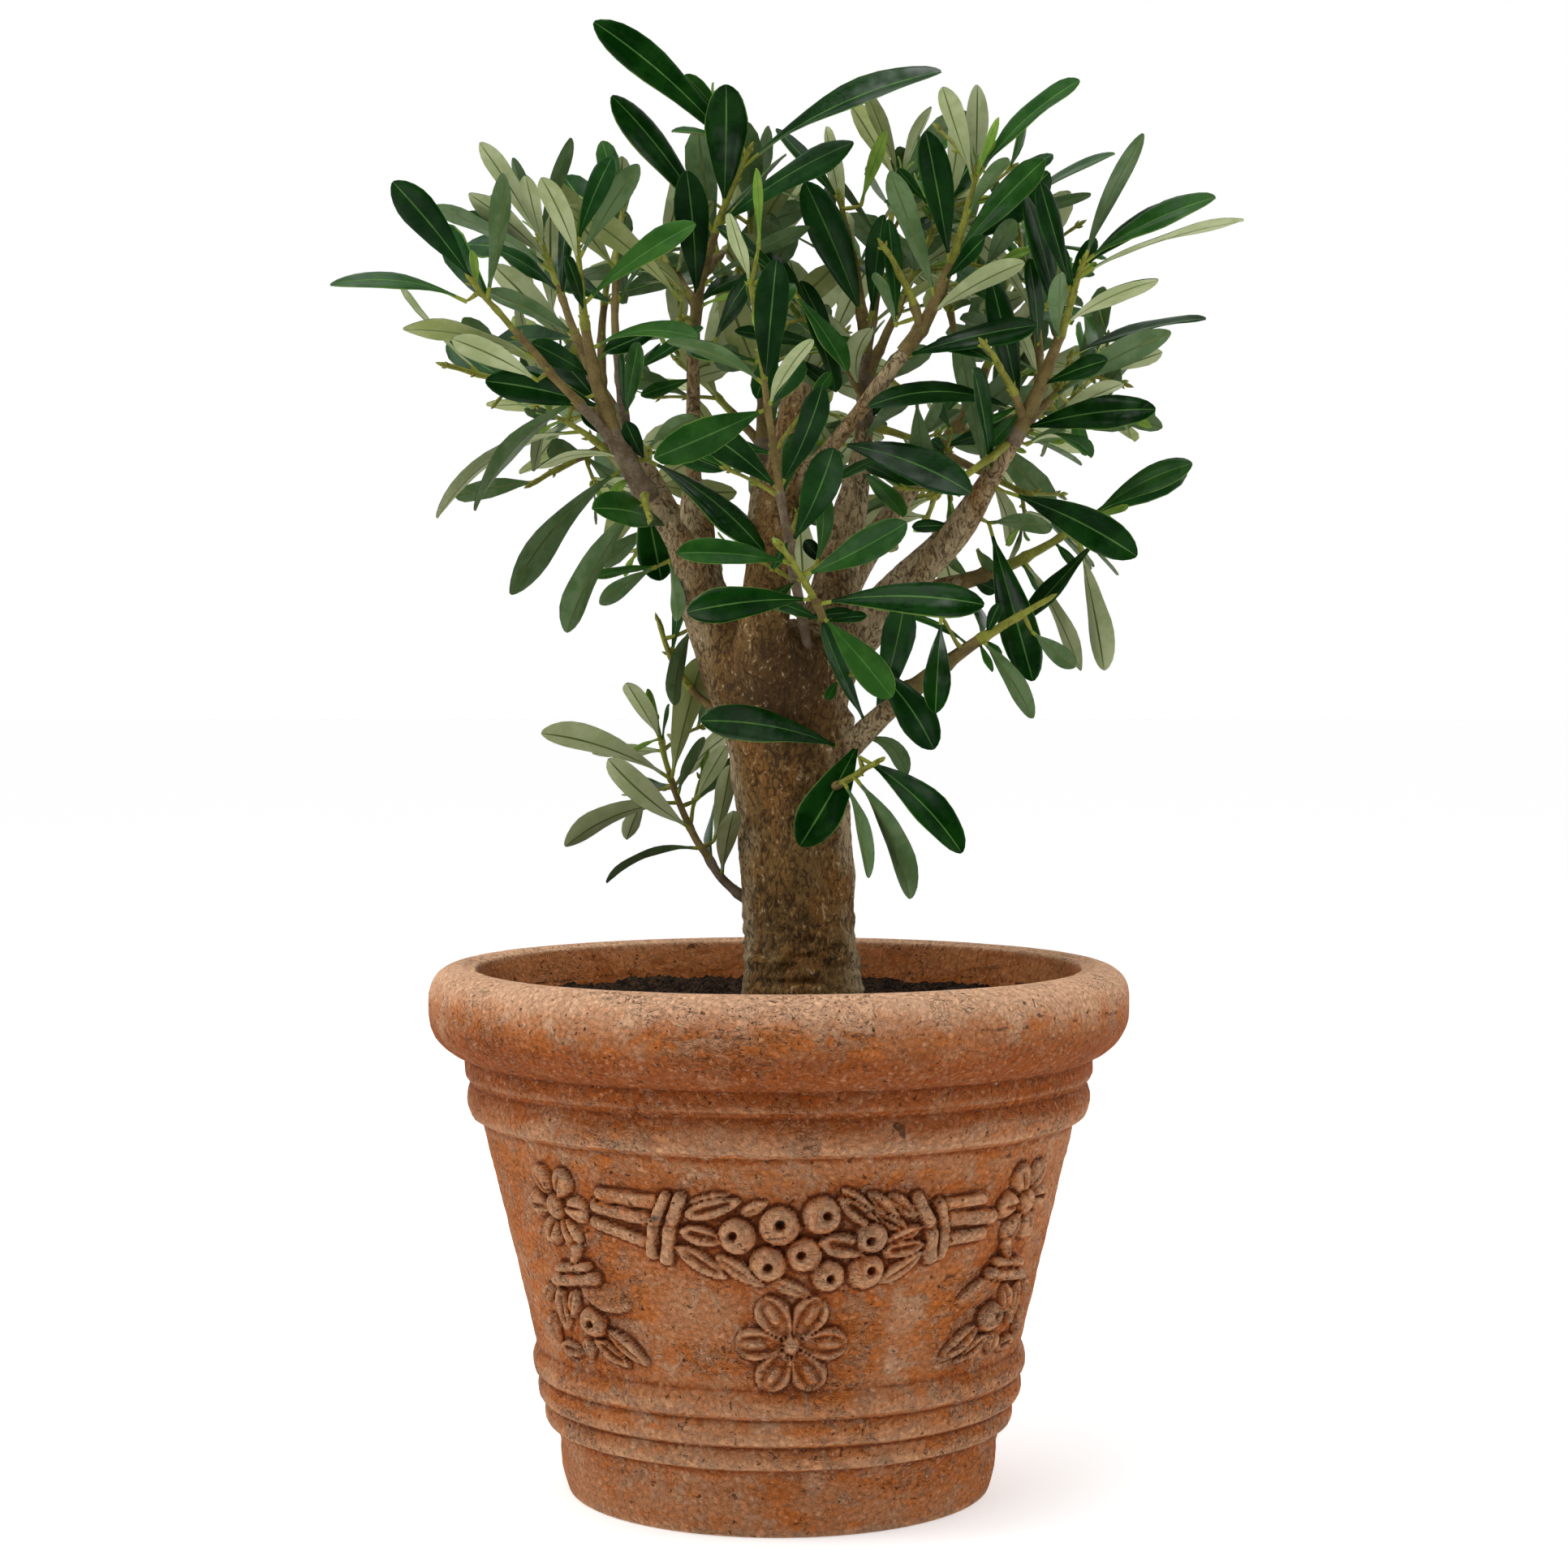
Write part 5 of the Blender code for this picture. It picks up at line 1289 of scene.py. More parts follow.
def twig_sites(crown):
    """Places that can carry a leaf, along all twigs and the thin parts of the boughs: (point, owners)."""
    sites = []
    lines = [((mass, MASSES[mass][0]), points) for mass, twigs in crown.items() for points, _, _ in twigs]
    lines += [((mass, limb), [Vector(row[:3]) for row in BOUGHS[limb] if row[3] < THIN_BOUGH])
              for mass, (limb, _) in MASSES.items() if limb != "trunk"]
    for owners, points in lines:
        run = sum((b - a).length for a, b in zip(points, points[1:]))
        for step in range(int(run / SITE_PITCH) + 1):
            sites.append((place_along(points, step * SITE_PITCH / run)[0], owners))
    return sites


def seat_leaf(node, row, lean):
    """Leaf from a node to where its row shows the tip, turned about its own axis to the width as seen."""
    tip_x, tip_z, _, _, _, wide, look, _ = row
    tip = at_depth(tip_x, tip_z, node.y - lean)
    way = (tip - node).normalized()
    length = (tip - node).length
    width = max(wide, min(FRONT_WIDTH * length, LEAF_WIDEST)) if look != "F" else YOUNG_WIDTH * wide
    toward = Vector(CAMERA_PLACE) / MM - node
    toward = (toward - way * toward.dot(way)).normalized()
    turn = math.acos(min(wide / width, 1.0))
    side = way.cross(toward)
    sense = -1 if look in UNDERSIDES else 1
    faces = [sense * (toward * math.cos(turn) + side * (sign * math.sin(turn))) for sign in (1, -1)]
    face = max(faces, key=lambda way_up: way_up.z)
    leaf = (node, way, face, length, width)
    while not all(inside_box(Vector(point)) for point in blade_points(leaf, 3, 2)):
        length = BOX_SHRINK * length
        leaf = (node, way, face, length, width)
    return leaf


def seat_front(space, crown, cover):
    """Leaves of the front as they were read, on the nearest twig or a short shoot from it, and the shoots.

    A tip moves only along the camera's line of sight, until the leaf is clear of everything else.
    """
    sites = twig_sites(crown)
    placed = []
    shoots = []
    for spray, row in enumerate(FRONT_LEAVES):
        tip_x, tip_z, base_x, base_z, depth, wide, look, bow = row
        spots = np.array([(*seen(point), point.y) for point, _ in sites])
        off = np.hypot(spots[:, 0] - base_x, spots[:, 1] - base_z)
        best = int(np.argmin(off + DEPTH_WEIGHT * np.abs(spots[:, 2] - depth)))
        node, owners = sites[best]
        if off[best] > SHOOT_REACH:
            shift = max(min(depth - node.y, off[best]), -off[best])
            base = at_depth(base_x, base_z, node.y + 0.5 * shift)
            line = arc_points(node, node.lerp(base, 0.5) - UP * (SHOOT_SAG * off[best]), base, TWIG_STEPS)
            radii = [SHOOT_RADII[0] - SHOOT_RADII[1] * k for k in range(TWIG_STEPS + 1)]
            shoots.append((line, radii, SHOOT_ROLL))
            sites += [(point, owners) for point in line[1:]]
            node = base
        flat = math.hypot(tip_x - base_x, tip_z - base_z)
        full = LEAF_REACH * flat
        if flat >= SMALL_LEAF:
            full = max(full, 0.5 * (flat + FULL_LEAF))
        lean = max(math.sqrt(full ** 2 - flat ** 2), LEAST_LEAN * flat / FULL_LEAF)
        leaves = [seat_leaf(node, row, lean * share) for share in FRONT_TRIES]
        clear = [leaf for leaf in leaves if try_leaf(space, owners, leaf)]
        loose = [leaf for leaf in leaves if not space.touches(*leaf_room(leaf, 0.0, LOOSE_START))]
        leaf = (clear + loose + leaves)[0]
        placed.append((leaf, spray, bow / 100, look))
        space.add(owners[0], *leaf_solid(leaf))
        cover.add(blade_points(leaf, *COVER_POINTS))
    return placed, shoots


def named_slots(slots, size, leads):
    """Which leaf place takes which named tip: the free one that comes nearest to it at its own size."""
    named = {}
    for lead in leads:
        lead = Vector(lead)
        free = [k for k in range(len(slots)) if k not in named]
        if free:
            best = min(free, key=lambda k: (slots[k][0] + slots[k][2] * size - lead).length
                       + 0.5 * abs((lead - slots[k][0]).length - size))
            named[best] = lead
    return named


def grow_leaves(space, plans, cover):
    """Leaves of every mass: first those with named tips, then the opposite pairs of each shoot.

    A named leaf that the front table holds isn't grown twice, and all others hide behind the front's leaves.
    They come back mass by mass, in the order that they grew in.
    """
    leaves = []
    plans = [(*plan[:4], named_slots(*plan[2:])) for plan in plans]
    for with_name in (True, False):
        for spray, (number, mass, slots, size, named) in enumerate(plans):
            rng = random.Random(500 + 37 * number + len(slots))
            for index, (node, stem, ahead, share) in enumerate(slots):
                draws = [[rng.gauss(0, 1) for _ in range(7)] for _ in range(LEAF_TRIES)]
                if (index in named) != with_name or with_name and has_twin(named[index]):
                    continue
                for attempt, (turn_a, turn_b, turn_c, grow, *jitter) in enumerate(draws):
                    if with_name:
                        spot = named[index] + Vector((turn_a, turn_b, turn_c)) * (NAMED_SHIFT * attempt)
                        length = (spot - node).length
                        way = (spot - node).normalized()
                    else:
                        grow = max(min(grow, SIZE_LIMIT), -SIZE_LIMIT)
                        length = size * share * (1 + SIZE_SPREAD * grow) * (1 - TRY_SHRINK * attempt)
                        loose = WAY_SPREAD[0] + WAY_SPREAD[1] * attempt
                        way = (ahead + Vector((turn_a, turn_b, turn_c + UPTURN)) * loose).normalized()
                    front = NAMED_LIGHT if with_name else FRONT_LIGHT
                    face = leaf_face(way, stem, node, mass, front, jitter)
                    leaf = (node, way, face, length, min(LEAF_WIDTH * length, LEAF_WIDEST))
                    if not inside_box(node + way * length):
                        continue
                    if not (with_name or cover.hides(blade_points(leaf, *HIDE_POINTS))):
                        continue
                    if try_leaf(space, (mass,), leaf):
                        leaves.append((number, len(leaves), (leaf, spray, 0.0)))
                        space.add(mass, *leaf_solid(leaf))
                        break
    return [item for _, _, item in sorted(leaves, key=lambda row: row[:2])]


def grow_spurs(space, crown, cover):
    """Short side shoots with small leaves, square to the leaf pairs of the twigs, where they have room."""
    spurs = []
    small = []
    for number, (mass, twigs) in enumerate(crown.items()):
        rng = random.Random(900 + number)
        for spray, (points, _, roll) in enumerate(twigs):
            for node, stem, ahead, _ in pair_slots(points, roll):
                draws = [rng.gauss(0, 1) for _ in range(3 + 5 * SPUR_LEAVES)]
                sideways = stem.cross(ahead).normalized()
                length = rng.uniform(*SPUR_LENGTH)
                lean = math.radians(rng.uniform(*SPUR_LEAN))
                way = stem * math.cos(lean) + sideways * math.sin(lean) + Vector(draws[:3]) * SPUR_JITTER
                tip = node + way.normalized() * length
                line = arc_points(node, node.lerp(tip, 0.5) + stem * length * SHOOT_SAG, tip, TWIG_STEPS)
                radii = tapering(SPUR_RADIUS, SPUR_TIP)
                if not (inside_box(tip) and cover.hides(np.array(line))):
                    continue
                if space.touches(*tube(line[1:], [CLEARANCE * 2] * TWIG_STEPS, ROUGH_SIDES)):
                    continue
                grown = spur_leaves(space, mass, line, draws[3:], cover)
                if grown:
                    spurs.append((line, radii, SHOOT_ROLL))
                    space.add(mass, *tube(line, radii, ROUGH_SIDES))
                    small += [(leaf, spray, 0.0) for leaf in grown]
    return spurs, small


def spur_leaves(space, mass, line, draws, cover):
    """Opposite pairs of small leaves on a spur, from its tip down, as far as they have room."""
    grown = []
    slots = pair_slots(line, SHOOT_ROLL + SPUR_TURN * draws[0])[:SPUR_LEAVES]
    for index, (node, stem, ahead, share) in enumerate(slots):
        turn_a, turn_b, turn_c, grow, lean = draws[5 * index:5 * index + 5]
        length = SPUR_LEAF * share * (1 + SPUR_SPREAD[0] * max(min(grow, 1.6), -1.6))
        way = (ahead + Vector((turn_a, turn_b, turn_c)) * SPUR_SPREAD[1]).normalized()
        if not inside_box(node + way * length):
            continue
        face = leaf_face(way, stem, node, mass, FRONT_LIGHT, (turn_b, turn_c, lean))
        leaf = (node, way, face, length, SPUR_LEAF_WIDTH * length)
        if cover.hides(blade_points(leaf, *HIDE_POINTS)) and try_leaf(space, (mass,), leaf):
            grown.append(leaf)
            space.add(mass, *leaf_solid(leaf))
    return grown


def inside_box(point):
    """Whether a point lies well inside the box that the solids fill."""
    low, high = CAD_BOX
    return all(a / MM + BOX_MARGIN < value < b / MM - BOX_MARGIN for a, value, b in zip(low, point, high))


def tip_leaflets(twigs, cover):
    """Two young leaflets that close round the tip of every twig behind the front's leaves."""
    rng = random.Random(1200)
    young = []
    for spray, (points, _, roll) in enumerate(twigs):
        stem = (points[-1] - points[-2]).normalized()
        side = stem.orthogonal().normalized()
        other = stem.cross(side)
        for half_turn in (0.0, math.pi):
            turn = math.radians(roll + 90.0) + half_turn
            away = side * math.cos(turn) + other * math.sin(turn)
            lean = math.radians(rng.uniform(*LEAFLET_LEAN))
            length = rng.uniform(*LEAFLET_LENGTH)
            way = stem * math.cos(lean) + away * math.sin(lean)
            face = stem * math.sin(lean) - away * math.cos(lean)
            leaf = (points[-1] - stem, way, face, length, LEAFLET_WIDTH * length)
            if cover.hides(blade_points(leaf, 4, 2)):
                young.append((leaf, spray, 0.0))
    return young


def flowing(rows, steps):
    """Rows on Catmull-Rom curves through the given ones, for many lines at once: (line, row, number)."""
    last = rows.shape[1] - 1
    before = rows[:, np.maximum(np.arange(last) - 1, 0), None]
    first, second = rows[:, :-1, None], rows[:, 1:, None]
    after = rows[:, np.minimum(np.arange(last) + 2, last), None]
    t = (np.arange(steps) / steps)[None, None, :, None]
    curve = 0.5 * (before * (-t + 2 * t ** 2 - t ** 3) + first * (2 - 5 * t ** 2 + 3 * t ** 3)
                   + second * (t + 4 * t ** 2 - 3 * t ** 3) + after * (t ** 3 - t ** 2))
    curve = curve.reshape(len(rows), last * steps, rows.shape[2])
    return np.concatenate([curve, rows[:, -1:]], axis=1)


def unit(vectors):
    """Vectors of length one."""
    return vectors / np.maximum(np.linalg.norm(vectors, axis=-1, keepdims=True), 1e-9)


def frames(lines):
    """Side and upward directions along many lines at once, carried from ring to ring without twist."""
    along = unit(np.gradient(lines, axis=1))
    side = np.empty_like(lines)
    side[:, 0] = unit(np.cross(along[:, 0], (0.31, 0.22, 0.92)))
    for ring in range(1, lines.shape[1]):
        carried = side[:, ring - 1]
        part = along[:, ring] * np.sum(carried * along[:, ring], axis=-1, keepdims=True)
        side[:, ring] = unit(carried - part)
    return side, np.cross(along, side)


def strands(lines, radii, sides):
    """Corners and faces of many closed round strands along lines, with a radius at each point."""
    side, other = (way[:, :, None] for way in frames(lines))
    angle = (math.tau * np.arange(sides) / sides)[:, None]
    ring = side * np.cos(angle) + other * np.sin(angle)
    corners = lines[:, :, None] + ring * radii[..., None, None]
    return corners, strand_faces(len(lines), lines.shape[1], sides)


def build_leaves(name, groups, looks, nodes, shape):
    """Leaves as closed thin blades: a loop of corners carried along each leaf's arched middle line.

    Half width: the stalk's, then s^slim (1 - s^2.2)^0.6 with s from 0 at the blade's foot to 1 at its tip.
    Upper side: rises to its edges by the fold times |v|, and rolls down again by the curl times v^4.
    Underside: the same less the thickness, with a raised rib. A leaf's bow lifts its middle as the front
    shows it.
    """
    rings, loop, tops, strips = shape
    rows = [(*item, kind) for kind, leaves in enumerate(groups) for item in leaves]
    count = len(rows)
    rng = np.random.default_rng(count)
    base, ahead, face = (np.array([row[0][k] for row in rows])[:, None] for k in range(3))
    length, width = (np.array([row[0][k] for row in rows])[:, None] for k in (3, 4))
    bow = np.array([row[2] for row in rows])[:, None, None]
    habit = {key: rng.uniform(low, high, (count, 1)) for key, (low, high) in LEAF_HABIT.items()}
    calm = np.array([FRONT_CALM if row[3] >= FIRST_FRONT else 1.0 for row in rows])[:, None]
    u = np.array(rings)[None]
    v = np.array(loop)[None, None]
    side = np.cross(face, ahead)
    lift = np.cross(ahead, (0.0, 1.0, 0.0))
    lift = unit(lift * np.where(lift[..., 2:] < 0, -1.0, 1.0))

    hump = (4 * u * (1 - u))[..., None]
    drift = face * (habit["arch"] * calm)[..., None] + side * (habit["sweep"] * calm)[..., None] + lift * bow
    lines = base + (ahead * u[..., None] + drift * hump) * length[..., None]
    along = unit(np.gradient(lines, axis=1))
    turn = (habit["twist"] * calm * (u - TWIST_CENTRE))[..., None]
    across = side * np.cos(turn) + face * np.sin(turn)
    across = unit(across - along * np.sum(across * along, axis=-1, keepdims=True))
    upward = np.cross(along, across)

    s = np.clip((u - STALK_SHARE) / (1 - STALK_SHARE), 0, 1)
    blade = ease(*BLADE_START, u)[..., None]
    outline = s ** habit["slim"] * np.maximum(1 - s ** TIP_POWERS[0], 0) ** TIP_POWERS[1] / OUTLINE_PEAK
    outline = outline * (1 + habit["ripple"] * np.sin(RIPPLES * u + habit["phase"]))
    stalk = np.minimum(STALK_HALF, STALK_WIDTH * length)
    half = np.maximum(0.5 * width * np.maximum(outline, TIP_SHARE * s ** 9), stalk * (1 - s))[..., None]
    rise = habit["fold"][..., None] * np.abs(v) - habit["curl"][..., None] * v ** 4
    rise = rise + habit["wave"][..., None] * v ** 3 * np.sin(WAVES * u + habit["phase"])[..., None]
    thick = np.minimum(LEAF_THICK, THICK_SHARE * width)[..., None] + STALK_THICK * (1 - blade)
    ribbed = np.where(np.abs(v) < RIB_HALF, LEAF_KEEL_RISE, 0.0)
    under = np.where(np.abs(v) > EDGE_PLACE, -0.5 * thick, -thick - ribbed * blade)
    is_top = (np.arange(v.size) < tops) & (np.abs(v) < EDGE_PLACE)
    height = half * blade * rise + np.where(is_top, 0.0, under)
    corners = lines[:, :, None] + across[:, :, None] * (half * v)[..., None]
    corners = corners + upward[:, :, None] * height[..., None]

    part = np.tile(np.array(strips), (u.size - 1, 1))
    part[:np.searchsorted(rings, STALK_SHARE)] = STALK
    kinds = np.array([row[3] for row in rows])[:, None, None]
    sprays = np.array([row[1] for row in rows])
    choice = (sprays * 2 + rng.integers(0, 3, count))[:, None, None] % LEAF_SHADES.shape[2]
    shade = LEAF_SHADES[kinds, part[None], choice]
    shades = np.concatenate([shade.ravel(), np.stack([shade[:, 0, 0], shade[:, -1, 1]], axis=-1).ravel()])
    quads, caps = strand_faces(count, u.size, v.size)
    piece = make_piece(name, corners, [quads, caps], looks, shades)
    belongs(piece, "foliage", *nodes)


def build_twigs(name, twigs, looks, nodes):
    """Twigs as closed tapering strands, thicker at the leaf pairs, green at the tip and brown below."""
    rows = [[(*point, radius) for point, radius in zip(points, radii)] for points, radii, _ in twigs]
    fine = flowing(np.array(rows), TWIG_FINENESS)
    lines, radii = fine[..., :3], fine[..., 3]
    steps = np.linalg.norm(np.diff(lines, axis=1), axis=-1)
    run = np.concatenate([np.zeros((len(twigs), 1)), np.cumsum(steps, axis=1)], axis=1)
    from_tip = run[:, -1:] - run
    thin, more, full_at = TWIG_TAPER
    radii = radii * (thin + more * np.minimum(from_tip / full_at, 1))
    nodes_at = FIRST_PAIR + np.concatenate([[0], np.cumsum([PAIR_PITCH[min(k, 2)] for k in range(9)])])
    for place in nodes_at:
        radii = radii * (1 + NODE_SWELL * bell(from_tip, place, NODE_WIDTH))
    wander = [noise(lines / WANDER_SIZE + shift) for shift in (0.0, 31.0, 67.0)]
    lines = lines + WANDER * np.stack(wander, axis=-1)
    edge = 0.5 * (from_tip[:, 1:] + from_tip[:, :-1])
    edge = edge + 10 * np.sin(np.arange(len(twigs)))[:, None]
    shade = np.searchsorted(TWIG_AGES, edge.ravel()).repeat(TWIG_SIDES)
    ends = np.searchsorted(TWIG_AGES, edge[:, (0, -1)].ravel())
    piece = make_piece(name, *strands(lines, radii, TWIG_SIDES), looks, np.concatenate([shade, ends]))
    belongs(piece, "bark", *nodes)


def build_buds(name, twigs, looks, nodes):
    """Small pointed buds in the leaf axils and at the twigs' tips, as closed strands of four rings."""
    rng = random.Random(77)
    rows = []
    for points, radii, roll in twigs:
        stem = (points[-1] - points[-2]).normalized()
        rows.append((points[-1] - stem, stem, *TIP_BUD))
        for node, along, ahead, _ in pair_slots(points, roll):
            away = (ahead - along * ahead.dot(along)).normalized()
            lean = (along * 0.9 + away * rng.uniform(*BUD_LEAN)).normalized()
            foot = node + along * 1.6 + away * 0.8
            rows.append((foot, lean, rng.uniform(*BUD_LENGTH), rng.uniform(*BUD_RADIUS)))
    base, ahead = (np.array([row[k] for row in rows])[:, None] for k in (0, 1))
    length, radius = (np.array([row[k] for row in rows])[:, None] for k in (2, 3))
    lines = base + ahead * (np.array(BUD_PLACES) * length)[..., None]
    piece = make_piece(name, *strands(lines, radius * BUD_SHARES, BUD_SIDES), looks)
    belongs(piece, "bark", *nodes)


def limb_rows():
    """Each bough's middle line as rows of (x, y, z, radius)."""
    return {name: smooth_rows(rows, LIMB_STEPS) for name, rows in BOUGHS.items()}


def chain_distance(places, rows):
    """Distance from places to a chain of tapering round stretches, and its radius at the nearest one."""
    start, span = rows[:-1, :3], np.diff(rows[:, :3], axis=0)
    share = np.einsum("ijk,jk->ij", places[:, None] - start, span) / np.sum(span ** 2, axis=1)
    share = np.clip(share, 0, 1)
    radius = rows[:-1, 3] + share * np.diff(rows[:, 3])
    gap = np.linalg.norm(places[:, None] - start - share[..., None] * span, axis=-1) - radius
    best = np.argmin(gap, axis=1)
    pick = np.arange(len(places))
    return gap[pick, best], radius[pick, best]


def trunk_distance(places):
    """Distance to the trunk's oval rings, with shallow flutes that wander up it."""
    rows = np.array(TRUNK, float)
    row = np.stack([np.interp(places[:, 2], rows[:, 0], rows[:, k]) for k in (1, 2, 3, 4)], axis=-1)
    across = (places[:, :2] - row[:, :2]) / row[:, 2:]
    reach = np.linalg.norm(across, axis=-1)
    turn = across / np.maximum(reach, 1e-6)[:, None]
    flute = noise(np.stack([turn[:, 0] * 2.6, turn[:, 1] * 2.6, places[:, 2] / 75], axis=-1), 3)
    flute = flute * FLUTE_DEPTH * ease(232, 300, places[:, 2])
    side = (reach - 1) * row[:, 2:].min(axis=1) + TRUNK_SKIN - flute
    return np.maximum(side, places[:, 2] - rows[-1, 0])


def wood_distance(places, chains):
    """Distance to trunk and boughs, each smoothly joined to the ones before it, and the radius there."""
    gap = trunk_distance(places)
    radius = np.full(len(places), 27.0)
    for rows in chains.values():
        near = np.linalg.norm(places - rows[:, :3].mean(axis=0), axis=1)
        near = near < np.ptp(rows[:, :3], axis=0).max() + 30
        other = np.full(len(places), 1e3)
        size = np.zeros(len(places))
        other[near], size[near] = chain_distance(places[near], rows)
        radius = np.where(other < gap, size, radius)
        gap = smooth_join(gap, other, JOIN_WIDTH)
    for place, size in KNOTS:
        gap = smooth_join(gap, np.linalg.norm(places - place, axis=1) - size, 4.0)
    centre, sizes = HOLLOW
    hollow = (np.linalg.norm((places - centre) / sizes, axis=1) - 1) * min(sizes)
    return np.maximum(gap, -smooth_join(hollow, np.full(len(places), 3.0), 2.0)), radius


def build_wood(chains, look):
    """Trunk and boughs as one skin: rough tubes are remeshed together and drawn onto the smooth join.

    Bark depth: lumps, cracks along the zero lines of a noise stretched up the limb, and fine flakes,
    all in proportion to the limb's thickness.
    """
    work = bmesh.new()
    solids = [trunk_solid(ROUGH_TRUNK_SIDES, TRUNK_SKIN)]
    for rows in chains.values():
        solids.append(tube([Vector(row[:3]) for row in rows], [row[3] for row in rows], ROUGH_BOUGH_SIDES))
    for corners, faces in solids:
        verts = [work.verts.new(corner * MM) for corner in corners]
        for face in faces:
            work.faces.new([verts[k] for k in face])
    rough = bpy.data.meshes.new("rough_wood")
    work.to_mesh(rough)
    work.free()
    holder = bpy.data.objects.new("rough_wood", rough)
    bpy.context.scene.collection.objects.link(holder)
    remesh = holder.modifiers.new("skin", "REMESH")
    remesh.mode = "VOXEL"
    remesh.voxel_size = VOXEL * MM
    skin = holder.evaluated_get(bpy.context.evaluated_depsgraph_get()).to_mesh()
    places = np.empty(3 * len(skin.vertices))
    skin.vertices.foreach_get("co", places)
    places = places.reshape(-1, 3) / MM
    quads = np.empty(4 * len(skin.polygons), np.int32)
    skin.polygons.foreach_get("vertices", quads)
    quads = quads.reshape(-1, 4)
    bpy.data.objects.remove(holder)

    for _ in range(SKIN_ROUNDS):
        gap, radius = wood_distance(places, chains)
        slope = [wood_distance(places + shift, chains)[0] - gap for shift in SLOPE_STEP * np.eye(3)]
        normal = unit(np.stack(slope, axis=-1))
        places = places - normal * np.clip(gap, -SKIN_REACH, SKIN_REACH)[:, None] * SKIN_PULL
    share = ease(*BARK_RADII, radius) * (1 - THIN_BARK) + THIN_BARK
    low = 1 - ease(*TRUNK_FOOT, places[:, 2] + 12 * noise(places / 14, 13))
    bend = 0.6 * noise(places / 9)[:, None]
    crack = flakes = 0
    for stretch, part in ((BARK_STRETCH, 1 - low), (WRINKLE_STRETCH, low)):
        grain = places * np.array([1, 1, stretch])
        crack = crack + part * bell(noise(grain / CRACK_SIZE + bend, 11), 0, CRACK_WIDTH)
        flakes = flakes + part * layered(grain / FLAKE_SIZE, 2, 21)
    crack *= ease(-0.5, 0.3, noise(places / 13, 12))
    lumps = noise(places / LUMP_SIZE, 31)
    wrinkle = noise(places * np.array(WRINKLE_PITCH), 41) * low
    depth = share * (LUMP_DEPTH * lumps + FLAKE_DEPTH * flakes - CRACK_DEPTH * crack)
    depth = depth + WRINKLE_DEPTH * wrinkle
    places = places + normal * depth[:, None]
    age = ease(*OLD_RADII, radius)
    cut = 1 - ease(*CUT_REACH, np.linalg.norm(places - CUT_PLACE, axis=1))
    marks = {"crack": crack * share, "age": age, "cut": cut}
    piece = make_piece("bark", places, [quads], [look], marks=marks, sharp=180)
    belongs(piece, "bark", "trunk", *BOUGHS)


def outline_points(rows, fine=1):
    """Outline as (radius, height): each stretch is a parabola that swells out by its bulge."""
    points = [rows[0][:2]]
    for (r0, z0, _, _), (r1, z1, bulge, steps) in zip(rows, rows[1:]):
        chord = math.hypot(r1 - r0, z1 - z0)
        for step in range(1, steps * fine + 1):
            t = step / (steps * fine)
            out = 4 * bulge * t * (1 - t) / chord
            points.append((r0 + (r1 - r0) * t + (z1 - z0) * out, z0 + (z1 - z0) * t - (r1 - r0) * out))
    return points


def rounded(rows, softness):
    """Rows of numbers smoothed by a bell curve of this softness, in steps of one row."""
    reach = int(3 * softness)
    weights = np.exp(-0.5 * (np.arange(-reach, reach + 1) / softness) ** 2)
    padded = np.concatenate([np.repeat(rows[:1], reach, 0), rows, np.repeat(rows[-1:], reach, 0)])
    columns = [np.convolve(padded[:, k], weights / weights.sum(), "valid") for k in range(rows.shape[1])]
    return np.stack(columns, axis=-1)


def worn_outline():
    """Pot's outline with its corners a little rounded, as points in steps that are close where it bends.

    Second and third result: how far each point lies in a crease and in a broad recess, below zero on an
    edge. It is the distance, along the outward normal, to the same outline rounded off much more.
    """
    points = np.array(outline_points(POT_OUTLINE, OUTLINE_FINENESS))
    run = np.concatenate([[0], np.cumsum(np.linalg.norm(np.diff(points, axis=0), axis=1))])
    pitch = FINEST_PITCH
    even = np.stack([np.interp(np.arange(0, run[-1], pitch), run, points[:, k]) for k in (0, 1)], axis=-1)
    soft = rounded(even, OUTLINE_SOFTNESS / pitch)
    soft[0], soft[-1] = (0, 0), (0, soft[-1, 1])
    along = unit(np.gradient(soft, axis=0))
    away = [rounded(even, reach / pitch) - soft for reach in (CREASE_REACH, RECESS_REACH)]
    crease, recess = (gap[:, 0] * along[:, 1] - gap[:, 1] * along[:, 0] for gap in away)

    outer = np.arange(len(soft)) < np.argmax(soft[:, 1])
    shown = (outer & (soft[:, 0] > FOOT_RADIUS)) | (~outer & (soft[:, 1] > INNER_LEVEL))
    bend = ease(0.02, 0.25, np.abs(rounded(crease[:, None], 6)[:, 0]))
    plain, close = OUTLINE_PITCH["moulding"], OUTLINE_PITCH["crease"]
    step = np.where(shown, plain + (close - plain) * bend, OUTLINE_PITCH["hidden"])
    step[outer & on_wall(soft)] = np.minimum(step[outer & on_wall(soft)], OUTLINE_PITCH["wall"])
    run = np.cumsum(pitch / step)
    places = np.linspace(run[0], run[-1], int(run[-1] - run[0]) + 1)
    rows = (soft[:, 0], soft[:, 1], crease, recess)
    radius, height, crease, recess = (np.interp(places, run, row) for row in rows)
    return np.stack([radius, height], axis=-1), crease, recess


def on_wall(outline):
    """Which of the outline's points lie at the heights of the sloping wall."""
    return (outline[:, 1] > WALL_FOOT[1]) & (outline[:, 1] < WALL_HEAD[1])


def bell(value, centre, width):
    """Bell curve, 1 at the centre."""
    return np.exp(-((value - centre) / width) ** 2)


def dome(share, power):
    """Dome from 1 in its middle to 0 at a share of 1 and beyond; a higher power makes its top flatter."""
    return np.sqrt(np.clip(1 - share ** power, 0, 1))


